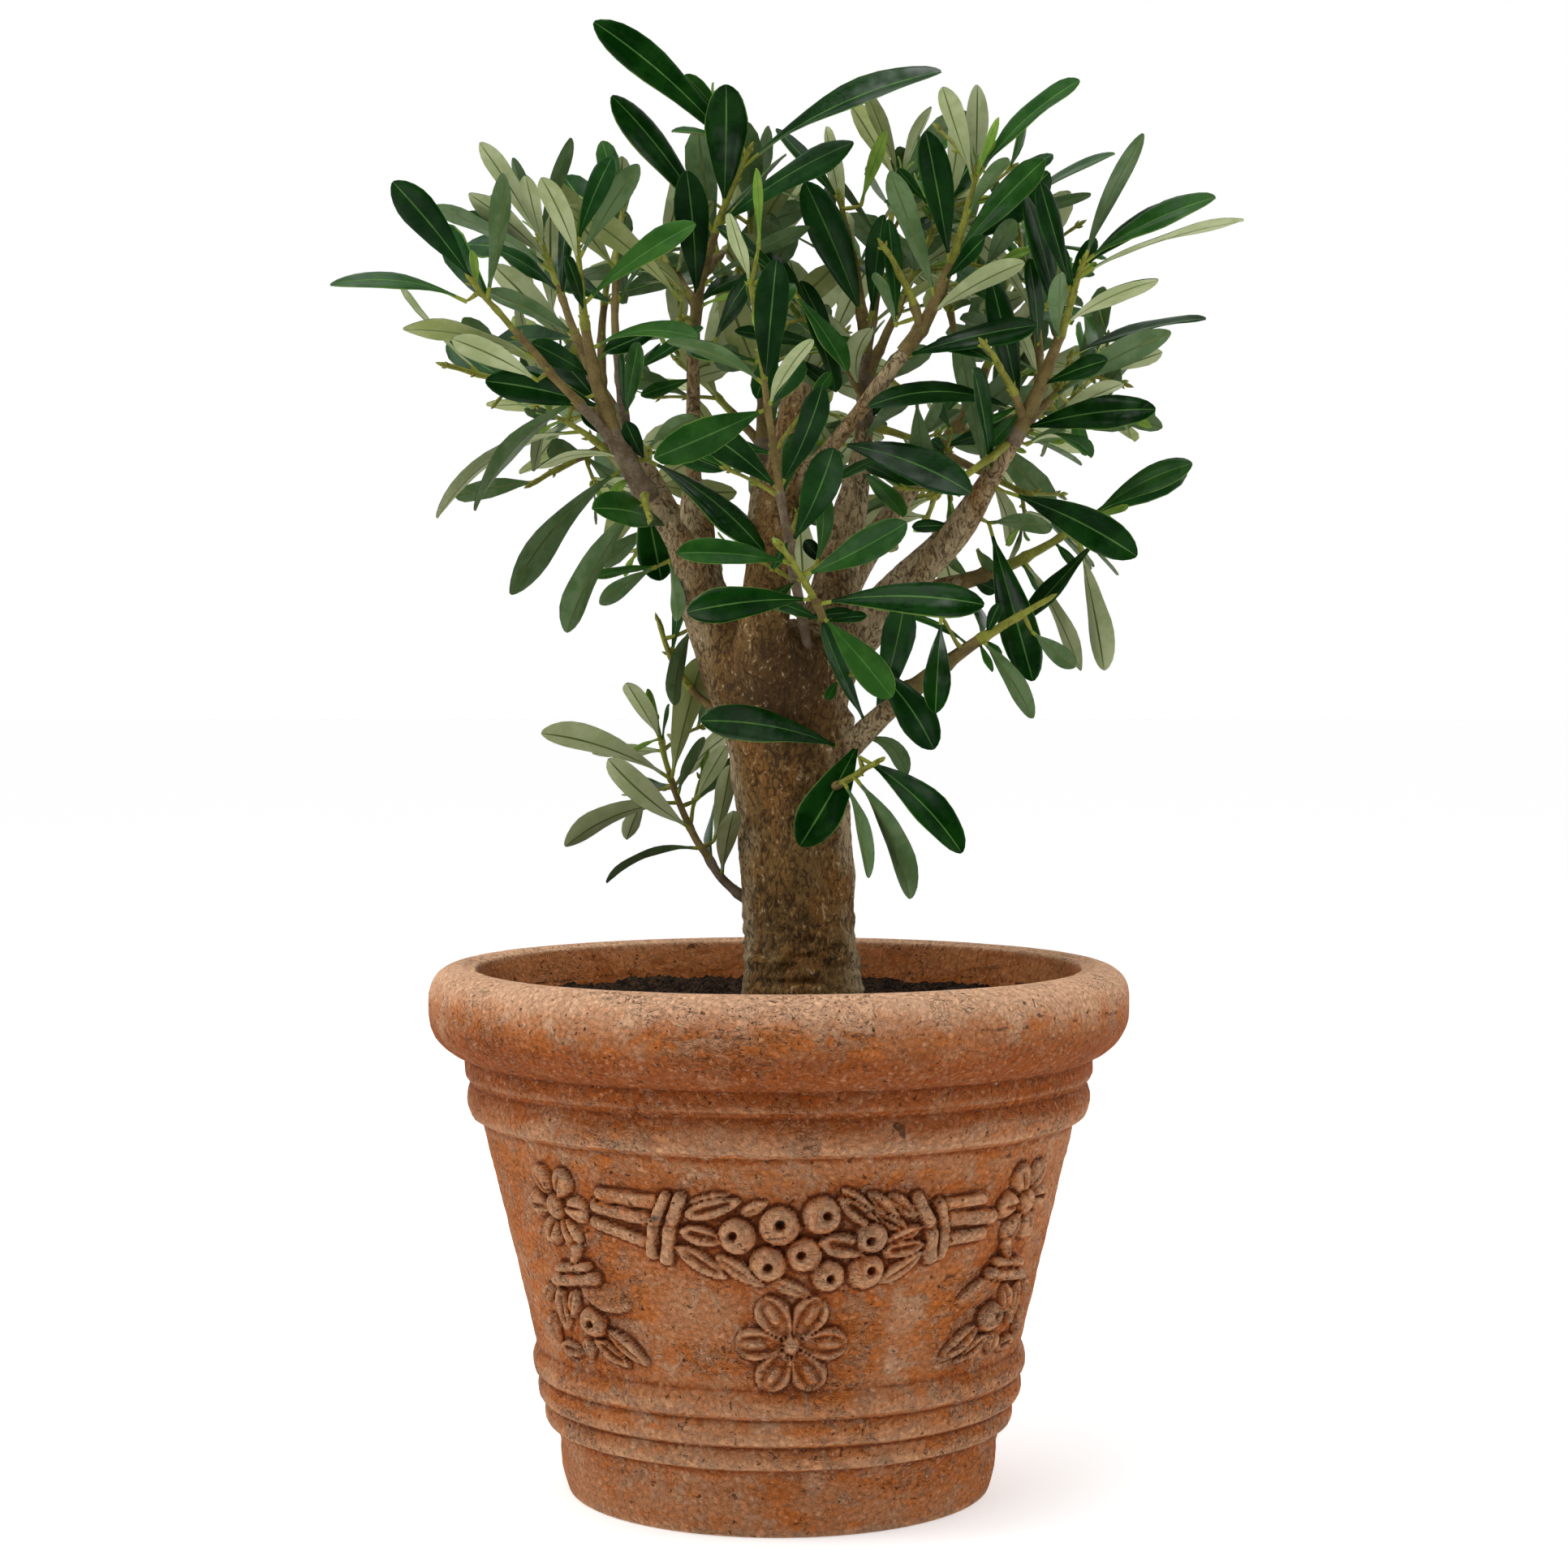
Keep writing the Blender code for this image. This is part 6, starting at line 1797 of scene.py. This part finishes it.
def wall_radius(height):
    """Radius of the pot's sloping wall at a height."""
    share = (height - WALL_FOOT[1]) / (WALL_HEAD[1] - WALL_FOOT[1])
    return WALL_FOOT[0] + share * (WALL_HEAD[0] - WALL_FOOT[0])


class Relief:
    """Heights of the moulded ornament over a band of the wall, as the highest of its motifs."""

    def __init__(self, azimuths, heights):
        self.azimuth, self.height = np.meshgrid(azimuths, heights, indexing="ij")
        self.radius = wall_radius(self.height)
        self.top = np.zeros_like(self.azimuth)
        self.second = np.zeros_like(self.azimuth)

    def near(self, azimuth, height, reach):
        """Places within reach of a point, and their offsets from it along and up the wall."""
        turn = (self.azimuth - azimuth + 180.0) % 360.0 - 180.0
        along = np.radians(turn) * self.radius
        up = self.height - height
        spot = np.nonzero((np.abs(along) < reach) & (np.abs(up) < reach))
        return spot, along[spot], up[spot]

    def lay(self, spot, height):
        """Lays a motif over the ones before, and keeps the second highest for the creases between."""
        before = self.top[spot]
        self.second[spot] = np.maximum(self.second[spot], np.minimum(before, height))
        self.top[spot] = np.maximum(before, height)

    def ball(self, azimuth, height, width, rise):
        """Round fruit: a steep dome with a deep pit a little off its crown and a soft lip round the pit."""
        spot, along, up = self.near(azimuth, height, width)
        share = np.hypot(along, up) / (0.5 * width)
        turn = 7.0 * azimuth
        pit_along = along - 0.1 * width * math.cos(turn)
        pit_up = up - 0.07 * width * math.sin(turn)
        pit = np.hypot(pit_along, pit_up) / (0.5 * width)
        lip = 0.10 * rise * bell(pit, 0.40, 0.12)
        self.lay(spot, rise * dome(share, 2.8) + lip - 0.9 * rise * np.exp(-(pit / 0.2) ** 2.6))

    def strip(self, kind, ends, width, rise, widest=0.45):
        """Motif between two points of the wall, shaped in shares of its length and of its own half width.

        A bar has round ends and swells a little; a pod is an open bean with a hollow; a leaf is folded
        along a groove, one half higher; a shell is a fan with one raised edge; a petal is a spoon with a
        rim and a drop-shaped ridge; a lobe is a round petal with a cleft.
        """
        azimuth, height, to_azimuth, to_height = ends
        radius = wall_radius(0.5 * (height + to_height))
        run = np.array([math.radians(to_azimuth - azimuth) * radius, to_height - height])
        length = np.linalg.norm(run)
        run = run / length
        middle = (0.5 * (azimuth + to_azimuth), 0.5 * (height + to_height))
        spot, along, up = self.near(*middle, 0.5 * length + width)
        t = (along * run[0] + up * run[1]) / length + 0.5
        across = (up * run[0] - along * run[1]) / (0.5 * width)
        if kind == "bar":
            end = np.maximum(np.abs(t - 0.5) - 0.5, 0) * length / (0.5 * width)
            swell = 1 + 0.08 * np.sin(9 * t + azimuth)
            self.lay(spot, rise * dome(np.hypot(across, end), BAR_ROUND) * swell)
            return
        inner = np.clip(t, 1e-4, 1 - 1e-4)
        shape = np.sin(math.pi * inner ** (math.log(0.5) / math.log(widest))) ** POWERS.get(kind, POINTED)
        share = np.abs(across) / np.maximum(shape, 0.02)
        share = np.where((t <= 0) | (t >= 1), 2.0, share)
        if kind == "leaf":
            groove = bell(across, -0.1, 0.16) * ease(1.0, 0.8, t)
            profile = 0.78 + 0.22 * np.clip(across, -1, 1) - 0.34 * groove
        elif kind == "pod":
            slot = ease(0.08, 0.3, t) * ease(0.96, 0.75, t)
            profile = 0.92 + 0.08 * bell(share, 0.7, 0.2) - 0.62 * slot * bell(across, 0.08, 0.34)
        elif kind == "shell":
            profile = 0.55 - 0.45 * np.clip(across, -1, 1)
        elif kind == "lobe":
            cleft = bell(across, 0.12, 0.13) * ease(1.0, 0.5, t)
            profile = 0.85 + 0.15 * np.cos(math.pi * np.minimum(share, 1)) - 0.6 * cleft
        else:
            ridge = ease(0.3, 0.5, t) * ease(0.88, 0.75, t)
            profile = 0.3 + 0.7 * bell(share, 0.82, 0.24) + 0.5 * ridge * bell(share, 0, 0.26)
        arch = 0.75 + 0.25 * np.sin(math.pi * inner)
        self.lay(spot, rise * dome(share, 4) * profile * arch)

    def bloom(self, azimuth, height, sizes):
        """Flower of petals round a button."""
        radius = wall_radius(height)
        for k in range(sizes["petals"]):
            angle = math.radians(sizes["turn"] + 360.0 * k / sizes["petals"])
            ends = [(azimuth + math.degrees(out * math.cos(angle) / radius), height + out * math.sin(angle))
                    for out in (sizes["inner"], sizes["outer"])]
            self.strip(sizes["kind"], (*ends[0], *ends[1]), sizes["width"], sizes["rise"], 0.6)
        spot, along, up = self.near(azimuth, height, sizes["button"])
        share = np.hypot(along, 0.8 * up) / (0.5 * sizes["button"])
        self.lay(spot, sizes["button_rise"] * dome(share, BAR_ROUND))

    def rows(self, rows, azimuth, side=1.0):
        """Lays the motifs of a table, its azimuths counted from the given one, or mirrored about it."""
        for kind, start, height, end, to_height, width, rise in rows:
            start, end = azimuth + start * side, azimuth + end * side
            if kind == "ball":
                self.ball(start, height, width, rise)
            else:
                self.strip(kind, (start, height, end, to_height), width, rise)

    def lifted(self):
        """Heights with a crease wherever two motifs meet."""
        crease = bell(self.top, self.second, 0.7) * ease(0.4, 1.6, self.second)
        return self.top - CREASE_DEPTH * crease


def garland(azimuths, heights):
    """Heights of the panels on the front and the back of the pot's wall."""
    relief = Relief(azimuths, heights)
    for centre in (FRONT_SWAG, FRONT_SWAG + 180.0):
        relief.rows(SWAG, centre)
        relief.bloom(centre + FLOWER_OFFSET, FLOWER_HEIGHT, FLOWER)
        for side in (1.0, -1.0):
            relief.rows(PENDANT, centre - side * PANEL_HALF, side)
            relief.bloom(centre - side * PANEL_HALF, ROSETTE_HEIGHT, ROSETTE)
    return relief.lifted()


def blurred(values, reach):
    """Mean of each value's neighbours within reach, in both directions."""
    size = 2 * reach + 1
    for axis in (0, 1):
        pad = [(reach + 1, reach) if k == axis else (0, 0) for k in (0, 1)]
        total = np.cumsum(np.pad(values, pad, mode="edge"), axis=axis)
        values = (np.take(total, range(size, total.shape[axis]), axis=axis)
                  - np.take(total, range(0, total.shape[axis] - size), axis=axis)) / size
    return values


def build_pot(looks):
    """Pot as four closed sectors: the outline's rows turned round the axis, raised by the garland.

    Radius: the outline's, plus the garland's height on the wall, plus the clay's own unevenness. Marks:
    hollow is how deep a place lies in a crease, recess the same over a wider reach, and halo is how near
    it lies to the ornament; the clay's look paints shade and highlight by them.
    """
    outline, crease, recess = worn_outline()
    wall = (np.arange(len(outline)) < np.argmax(outline[:, 1])) & on_wall(outline)
    ends = (outline[:, 1] - WALL_FOOT[1], WALL_HEAD[1] - outline[:, 1])
    fade = np.where(wall, ease(0, WALL_FADE, ends[0]) * ease(0, WALL_FADE, ends[1]), 0)
    count = len(outline)
    for name, first, last, columns in SECTORS:
        azimuths = np.linspace(first, last, columns + 1)
        lift = np.zeros((columns + 1, count))
        lift[:, wall] = garland(azimuths, outline[wall, 1])
        lift *= fade
        hollow = blurred(lift, 2) - lift + crease
        halo = blurred(np.minimum(lift, 1.5), 12) - 0.5 * np.minimum(lift, 1.5)
        broad = 0.5 * (blurred(lift, 5) - lift) + recess
        angle = np.radians(azimuths)[:, None]
        way = np.stack([np.sin(angle), -np.cos(angle)], axis=-1) * np.ones((1, count, 1))
        height = np.broadcast_to(outline[:, 1:2], (*way.shape[:2], 1))
        flat = np.concatenate([way * outline[:, :1], height], axis=-1)
        dents = ease(2, 30, outline[:, 0]) * ease(0, 6, outline[:, 1])
        uneven = (0.5 * noise(flat / 26, 5) + 0.3 * layered(flat / 6, 3, 6)) * dents
        radius = np.minimum(outline[:, 0] + lift + uneven, POT_WIDEST)
        places = np.concatenate([way * radius[..., None], height], axis=-1)
        ends = np.stack([np.arange(count), columns * count + np.arange(count)[::-1]])
        marks = {"hollow": hollow, "halo": halo, "recess": broad}
        faces = [grid_faces(columns, count), ends]
        piece = make_piece(name, places, faces, looks, marks=marks, merge=True)
        belongs(piece, "terracotta", "pot")


def build_soil(look):
    """Potting soil: its side follows the pot, and its top swells as the solid's does, under crumbs.

    Height: the level, plus the swell's sine times cosine, which dies out at the trunk and at the wall,
    plus crumbs from noises of three sizes.
    """
    edge = SOIL_SIDE[-1]
    top = np.stack([np.linspace(edge[0] - 0.8, 0, SOIL_RINGS), np.full(SOIL_RINGS, SOIL_LEVEL)], axis=-1)
    outline = np.concatenate([SOIL_SIDE, top])
    angle = math.tau * np.arange(SOIL_COLUMNS)[:, None] / SOIL_COLUMNS
    x, y = outline[:, 0] * np.sin(angle), -outline[:, 0] * np.cos(angle)
    flat = np.stack([x, y, np.zeros_like(x)], axis=-1)
    outer = np.clip((edge[0] - outline[:, 0]) / SOIL_FADE, 0, 1)
    inner = np.clip((outline[:, 0] - SOIL_FOOT) / SOIL_FADE, 0, 1)
    swell = SOIL_SWELL * np.sin(x / SOIL_WAVES[0]) * np.cos(y / SOIL_WAVES[1]) * inner * outer
    crumbs = sum(rise * np.abs(noise(flat / size, seed)) for rise, size, seed in CRUMBS)
    crumbs = crumbs + GRIT_RISE * noise(flat / GRIT_SIZE, GRIT_SEED) - CRUMB_SINK
    loose = (np.arange(len(outline)) >= len(SOIL_SIDE)) & (outline[:, 0] > 1)
    height = outline[:, 1] + np.where(loose, swell + crumbs + (edge[1] - SOIL_LEVEL) * (1 - outer), 0)
    places = np.stack([x, y, height], axis=-1)
    faces = grid_faces(SOIL_COLUMNS, len(outline), closed=True)
    piece = make_piece("potting_soil", places, [faces], [look], merge=True)
    belongs(piece, "soil", "soil")


def clay_look():
    """Fired clay: grey-pink dust and painted highlight on what stands out, deep orange in recesses as orange
    clay under less dust and as painted shade, and painted shade in dark creases.

    The rim's top is dusty and lighter as painted light from above, the mouldings under it are deep orange
    as painted shade under the rim, and a painted shadow darkens the clay round the ornament; over all lie
    streaks, pits, cracks and a broken seam round the rim, dark partly as painted shade, and a few spots.
    """
    look = Look("fired_clay", Specular_IOR_Level=DULL)
    broad, middle, wiped, fine, line, breaks, pit_noise, hole_noise, speck_noise = look.noises(CLAY_NOISES)
    spot = look.node("TexCoord", output="Object")
    east, north, height = look.axes(spot)
    recess = look.mark("recess") + 0.9 * (wiped - 0.5)
    # Band from the rim's foot down to the rings that takes painted shade from the rim above it; the grey and
    # pale dust patches fade out in it
    under_rim = look.step(height + 0.03 * wiped, *RIM_SHADE) * look.step(height + 0.02 * wiped, *RING_SHADE)
    dust_outside_rim_shade = 1.0 - 0.7 * under_rim
    inside = look.step(height, *INNER_TOP) * look.step(height, *INNER_FOOT)
    raised_clay = look.mix(look.step(middle, 0.45, 0.6), PALE_CLAY, GREY_CLAY)
    inner_clay = look.mix(look.step(wiped, 0.45, 0.62), INNER_CLAY, ORANGE_CLAY)
    hollow = look.mark("hollow")
    shade = look.mix(look.step(0.5 * broad + 0.5 * wiped, 0.43, 0.57), DUSTY_CLAY, ORANGE_CLAY)
    # Painted shade: deep orange under the rim
    shade = look.layers(look.mix(0.78 * under_rim, shade, DEEP_ORANGE), (
        # Deep orange in recesses: orange clay where less dust sits, darkened as painted shade
        (0.8, recess, 0.25, 0.95, DEEP_ORANGE),
        # Painted shadow round the ornament
        (0.75, look.mark("halo"), 0.12, 0.6, ORNAMENT_SHADOW_CLAY),
        (0.55 * dust_outside_rim_shade, middle + 0.25 * broad, 0.60, 0.74, GREY_CLAY),
        (0.35 * dust_outside_rim_shade, middle - 0.25 * broad, 0.40, 0.54, PALE_CLAY),
        # Pale and grey on the raised edges of the mouldings: dust and painted highlight
        (0.5 * look.step(height, *RAISED_TOP), recess, -0.2, -0.95, raised_clay),
        # Rim's top: pale dust and painted light from above
        (0.9, height + 0.02 * middle, *RIM_TOP, RIM_DUST_AND_LIGHT),
        (0.9 * inside, east * east + north * north, *INNER_WALL, inner_clay),
        # Paler on the ornament's edges, as dust and painted highlight, and dark in its creases as painted
        # shade
        (0.35, hollow, -0.1, -0.5, PALE_CLAY),
        (0.95, hollow + 0.25 * fine, 0.28, 0.85, DEEP_CLAY),
        (0.4, fine, 0.53, 0.68, DEEP_CLAY),
        (0.3, fine, 0.46, 0.36, PALE_CLAY)))
    line = line - 0.5
    cracks = look.step(line * line, *CRACK_LINE) * look.step(broad + 0.4 * middle, 0.72, 0.78)
    off = height + 0.004 * middle - SEAM_LEVEL
    seam = look.step(off * off, *SEAM_LINE) * look.step(breaks, 0.53, 0.6)
    pits = look.step(pit_noise, 0.685, 0.715)
    holes = look.step(hole_noise, 0.71, 0.735)
    specks = look.step(speck_noise, 0.715, 0.75)
    # Near-black cracks, seam, pits and holes: marks of the clay, darkened partly as painted shade inside
    # them; pale specks
    for share, place, over in ((0.8, cracks, PIT_CLAY), (0.65, seam, PIT_CLAY), (0.6, specks, SPECK_CLAY),
                               (0.8, pits, PIT_CLAY), (0.7, holes, PIT_CLAY)):
        shade = look.mix(share * place, shade, over)
    for azimuth, level, reach, spot_colour in WALL_SPOTS:
        angle = math.radians(azimuth)
        radius = wall_radius(level) + SPOT_RISE
        centre = Vector((radius * math.sin(angle), -radius * math.cos(angle), level)) * MM
        edge = [(reach + more) * MM for more in SPOT_EDGE]
        shade = look.layers(shade, ((0.9, look.away(spot, centre) + 0.004 * fine, *edge, spot_colour),))
    rough = look.bump(middle + 0.5 * fine - 0.8 * holes, 0.0028)
    marks = fine - 0.9 * pits - 0.5 * cracks - seam + 0.4 * specks
    look.feed(Base_Color=shade, Roughness=0.8 + 0.18 * middle, Normal=look.bump(marks, 0.0009, 1.0, rough))
    return look.owner


def bark_look():
    """Olive bark: grey-tan with brown and orange patches, dark cracks and pale flecks.

    It is red-brown where the leader is sawn off. Its old wood is browner on the side facing the camera,
    partly as its own tone and partly as painted shade, and painted shade makes it browner in the fork and
    dark in its crotch.
    """
    look = Look("olive_bark", Specular_IOR_Level=DULL)
    patches, flecks, grain = look.noises(BARK_NOISES)
    place = look.node("TexCoord", output="Object")
    aside, depth, height = look.axes(place)
    # Old wood is browner on the side facing the camera: partly its own tone, partly painted shade
    old_front_tone_and_shade = look.step(depth, *BARK_FRONT) * look.mark("age")
    shade = look.mix(look.step(patches + 0.35 * old_front_tone_and_shade, 0.42, 0.72), GREY_BARK, BROWN_BARK)
    shade = look.layers(shade, (
        (0.45, patches + 0.3 * flecks + 0.12 * old_front_tone_and_shade, 0.72, 0.9, ORANGE_BARK),
        # Browner in the fork and dark in the crotch: painted shade in the middle of the crown
        (0.6 * look.step(aside * aside, *FORK_SIDES) * look.step(height, *FORK_FOOT), patches, 0.25, 0.6,
         BROWN_BARK),
        (0.7, look.away(place, CROTCH) + 0.02 * flecks, *CROTCH_EDGE, DARK_BARK),
        (0.85, flecks, 0.52, 0.40, DARK_BARK),
        (0.75, flecks, 0.58, 0.68, PALE_BARK),
        (0.35, grain, 0.5, 0.7, DARK_BARK),
        (0.7, look.mark("crack"), 0.2, 0.85, DARK_BARK)))
    look.feed(Base_Color=look.mix(look.mark("cut"), shade, SAWN_WOOD), Roughness=0.78 + 0.2 * flecks,
              Normal=look.bump(grain, 0.0005, 0.8, look.bump(flecks, 0.0016)))
    return look.owner


def twig_look(name, first, second, roughness):
    """Young bark: two near shades in patches, with fine lengthwise marks."""
    look = Look(name, Roughness=roughness, Specular_IOR_Level=0.15)
    patches, fine = look.noises(TWIG_NOISES)
    shade = look.mix(look.step(patches + 0.3 * fine, 0.5, 0.8), first, second)
    look.feed(Base_Color=look.layers(shade, ((0.4, fine, 0.55, 0.7, DARK_BARK),)),
              Normal=look.bump(patches + 0.4 * fine, 0.0007))
    return look.owner


def leaf_look(name, first, second, roughness):
    """Leaf skin: two near greens in soft patches, a faintly uneven surface and a waxy sheen in places."""
    look = Look(name, Specular_IOR_Level=0.05, Coat_Roughness=0.26)
    patches, fine, waxy = look.noises(LEAF_NOISES)
    look.feed(Base_Color=look.mix(look.step(patches + 0.25 * fine, 0.5, 0.75), first, second),
              Roughness=roughness - 0.2 + 0.4 * patches, Normal=look.bump(patches + 0.12 * fine, 0.0011))
    if name in SHEEN:
        look.feed(Coat_Weight=SHEEN[name] * look.step(waxy, 0.47, 0.62))
    return look.owner


def soil_look():
    """Potting soil: black-brown crumbs with a few paler fibres."""
    look = Look("potting_soil", Roughness=0.95, Specular_IOR_Level=0.08)
    crumbs, fibres = look.noises(SOIL_NOISES)
    shade = look.mix(look.step(crumbs, 0.42, 0.62), DARK_SOIL, BROWN_SOIL)
    look.feed(Base_Color=look.layers(shade, ((0.8, fibres, 0.68, 0.74, SOIL_FIBRE),)),
              Normal=look.bump(crumbs, 0.003))
    return look.owner


def floor_look():
    """White studio floor, a little self-lit so that it meets the white background without a line."""
    look = Look("studio_floor", Roughness=0.9, Emission_Color=WHITE, Emission_Strength=FLOOR_GLOW)
    look.feed(Base_Color=look.mix(look.noises(FLOOR_NOISES)[0], *FLOOR_GREYS))
    return look.owner


def build_floor():
    """Plain round floor under the pot."""
    angle = math.tau * np.arange(FLOOR_SIDES) / FLOOR_SIDES
    corners = FLOOR_REACH * np.stack([np.cos(angle), np.sin(angle), 0 * angle], axis=-1) - (0, 0, FLOOR_DROP)
    floor = make_piece("floor", corners, [np.arange(FLOOR_SIDES)[None]], [floor_look()])


def add_lamp(name, place, size, power):
    """Square soft lamp at a place in metres that shines at the middle of the plant."""
    lamp = bpy.data.lights.new(name, "AREA")
    lamp.size = size
    lamp.energy = power
    holder = bpy.data.objects.new(name, lamp)
    holder.location = place
    holder.rotation_euler = (Vector(LAMP_TARGET) - Vector(place)).to_track_quat("-Z", "Y").to_euler()
    bpy.context.scene.collection.objects.link(holder)


def build_studio():
    """Camera, and soft light that is strongest from behind and beside the plant and dimmer from the front.

    The walls light the plant by their direction, but are plain white where they are seen themselves.
    """
    scene = bpy.context.scene
    camera = bpy.data.cameras.new("camera")
    camera.lens = CAMERA_LENS
    camera.sensor_width = SENSOR_WIDTH
    holder = bpy.data.objects.new("camera", camera)
    holder.location = CAMERA_PLACE
    holder.rotation_euler = (math.radians(90.0 - CAMERA_DIP), 0.0, 0.0)
    scene.collection.objects.link(holder)
    scene.camera = holder
    scene.view_settings.view_transform = "Standard"

    walls = Look("studio", bpy.data.worlds.new("studio"), "Background", Color=WHITE)
    way = walls.axes(walls.node("TexCoord", output="Generated"))[1]
    inputs = dict(zip(("Value", "From Min", "From Max", "To Min", "To Max"), (way, *STUDIO_WALLS)))
    level = walls.node("MapRange", {"interpolation_type": "SMOOTHSTEP"}, inputs)
    plain = walls.node("LightPath", output="Is Camera Ray")
    walls.feed(Strength=walls.node("Math", {"operation": "MAXIMUM"}, {0: level, 1: plain}))
    scene.world = walls.owner
    for name, place, size, power in LAMPS:
        add_lamp(name, place, size, power)


def build_foliage():
    """Twigs and leaves in the place of the masses: the front's leaves as read, the others grown by rule."""
    space = Space()
    space.add("trunk", *trunk_solid(TRUNK_SIDES))
    for name in BOUGHS:
        space.add(name, *bough_solid(name)[:2])
    cover = Cover()
    cover.add_limbs()
    crown, plans = grow_twigs(space)
    placed, shoots = seat_front(space, crown, cover)
    grown = grow_leaves(space, plans, cover)
    spurs, small = grow_spurs(space, crown, cover)
    twigs = [twig for mass in crown.values() for twig in mass]
    young = tip_leaflets(twigs + spurs, cover)
    masses = list(crown)
    twig_looks = [twig_look(name, *shades) for name, shades in TWIG_SHADES.items()]
    build_twigs("twigs", twigs, twig_looks, masses)
    build_twigs("short_shoots", spurs + shoots, twig_looks, masses)
    build_buds("buds", twigs + spurs, twig_looks[:1], masses)
    looks = [leaf_look(name, *shades) for name, shades in LEAF_LOOKS.items()]
    fronts = [[item[:3] for item in placed if item[3] == letter] for letter in LOOK_LETTERS]
    build_leaves("front_leaves", [[]] * FIRST_FRONT + fronts, looks, masses, FINE_LEAF)
    build_leaves("leaves", [grown], looks, masses, PLAIN_LEAF)
    build_leaves("small_leaves", [[], small, young], looks, masses, PLAIN_LEAF)


build_studio()
build_floor()
build_pot([clay_look()])
build_soil(soil_look())
build_wood(limb_rows(), bark_look())
build_foliage()
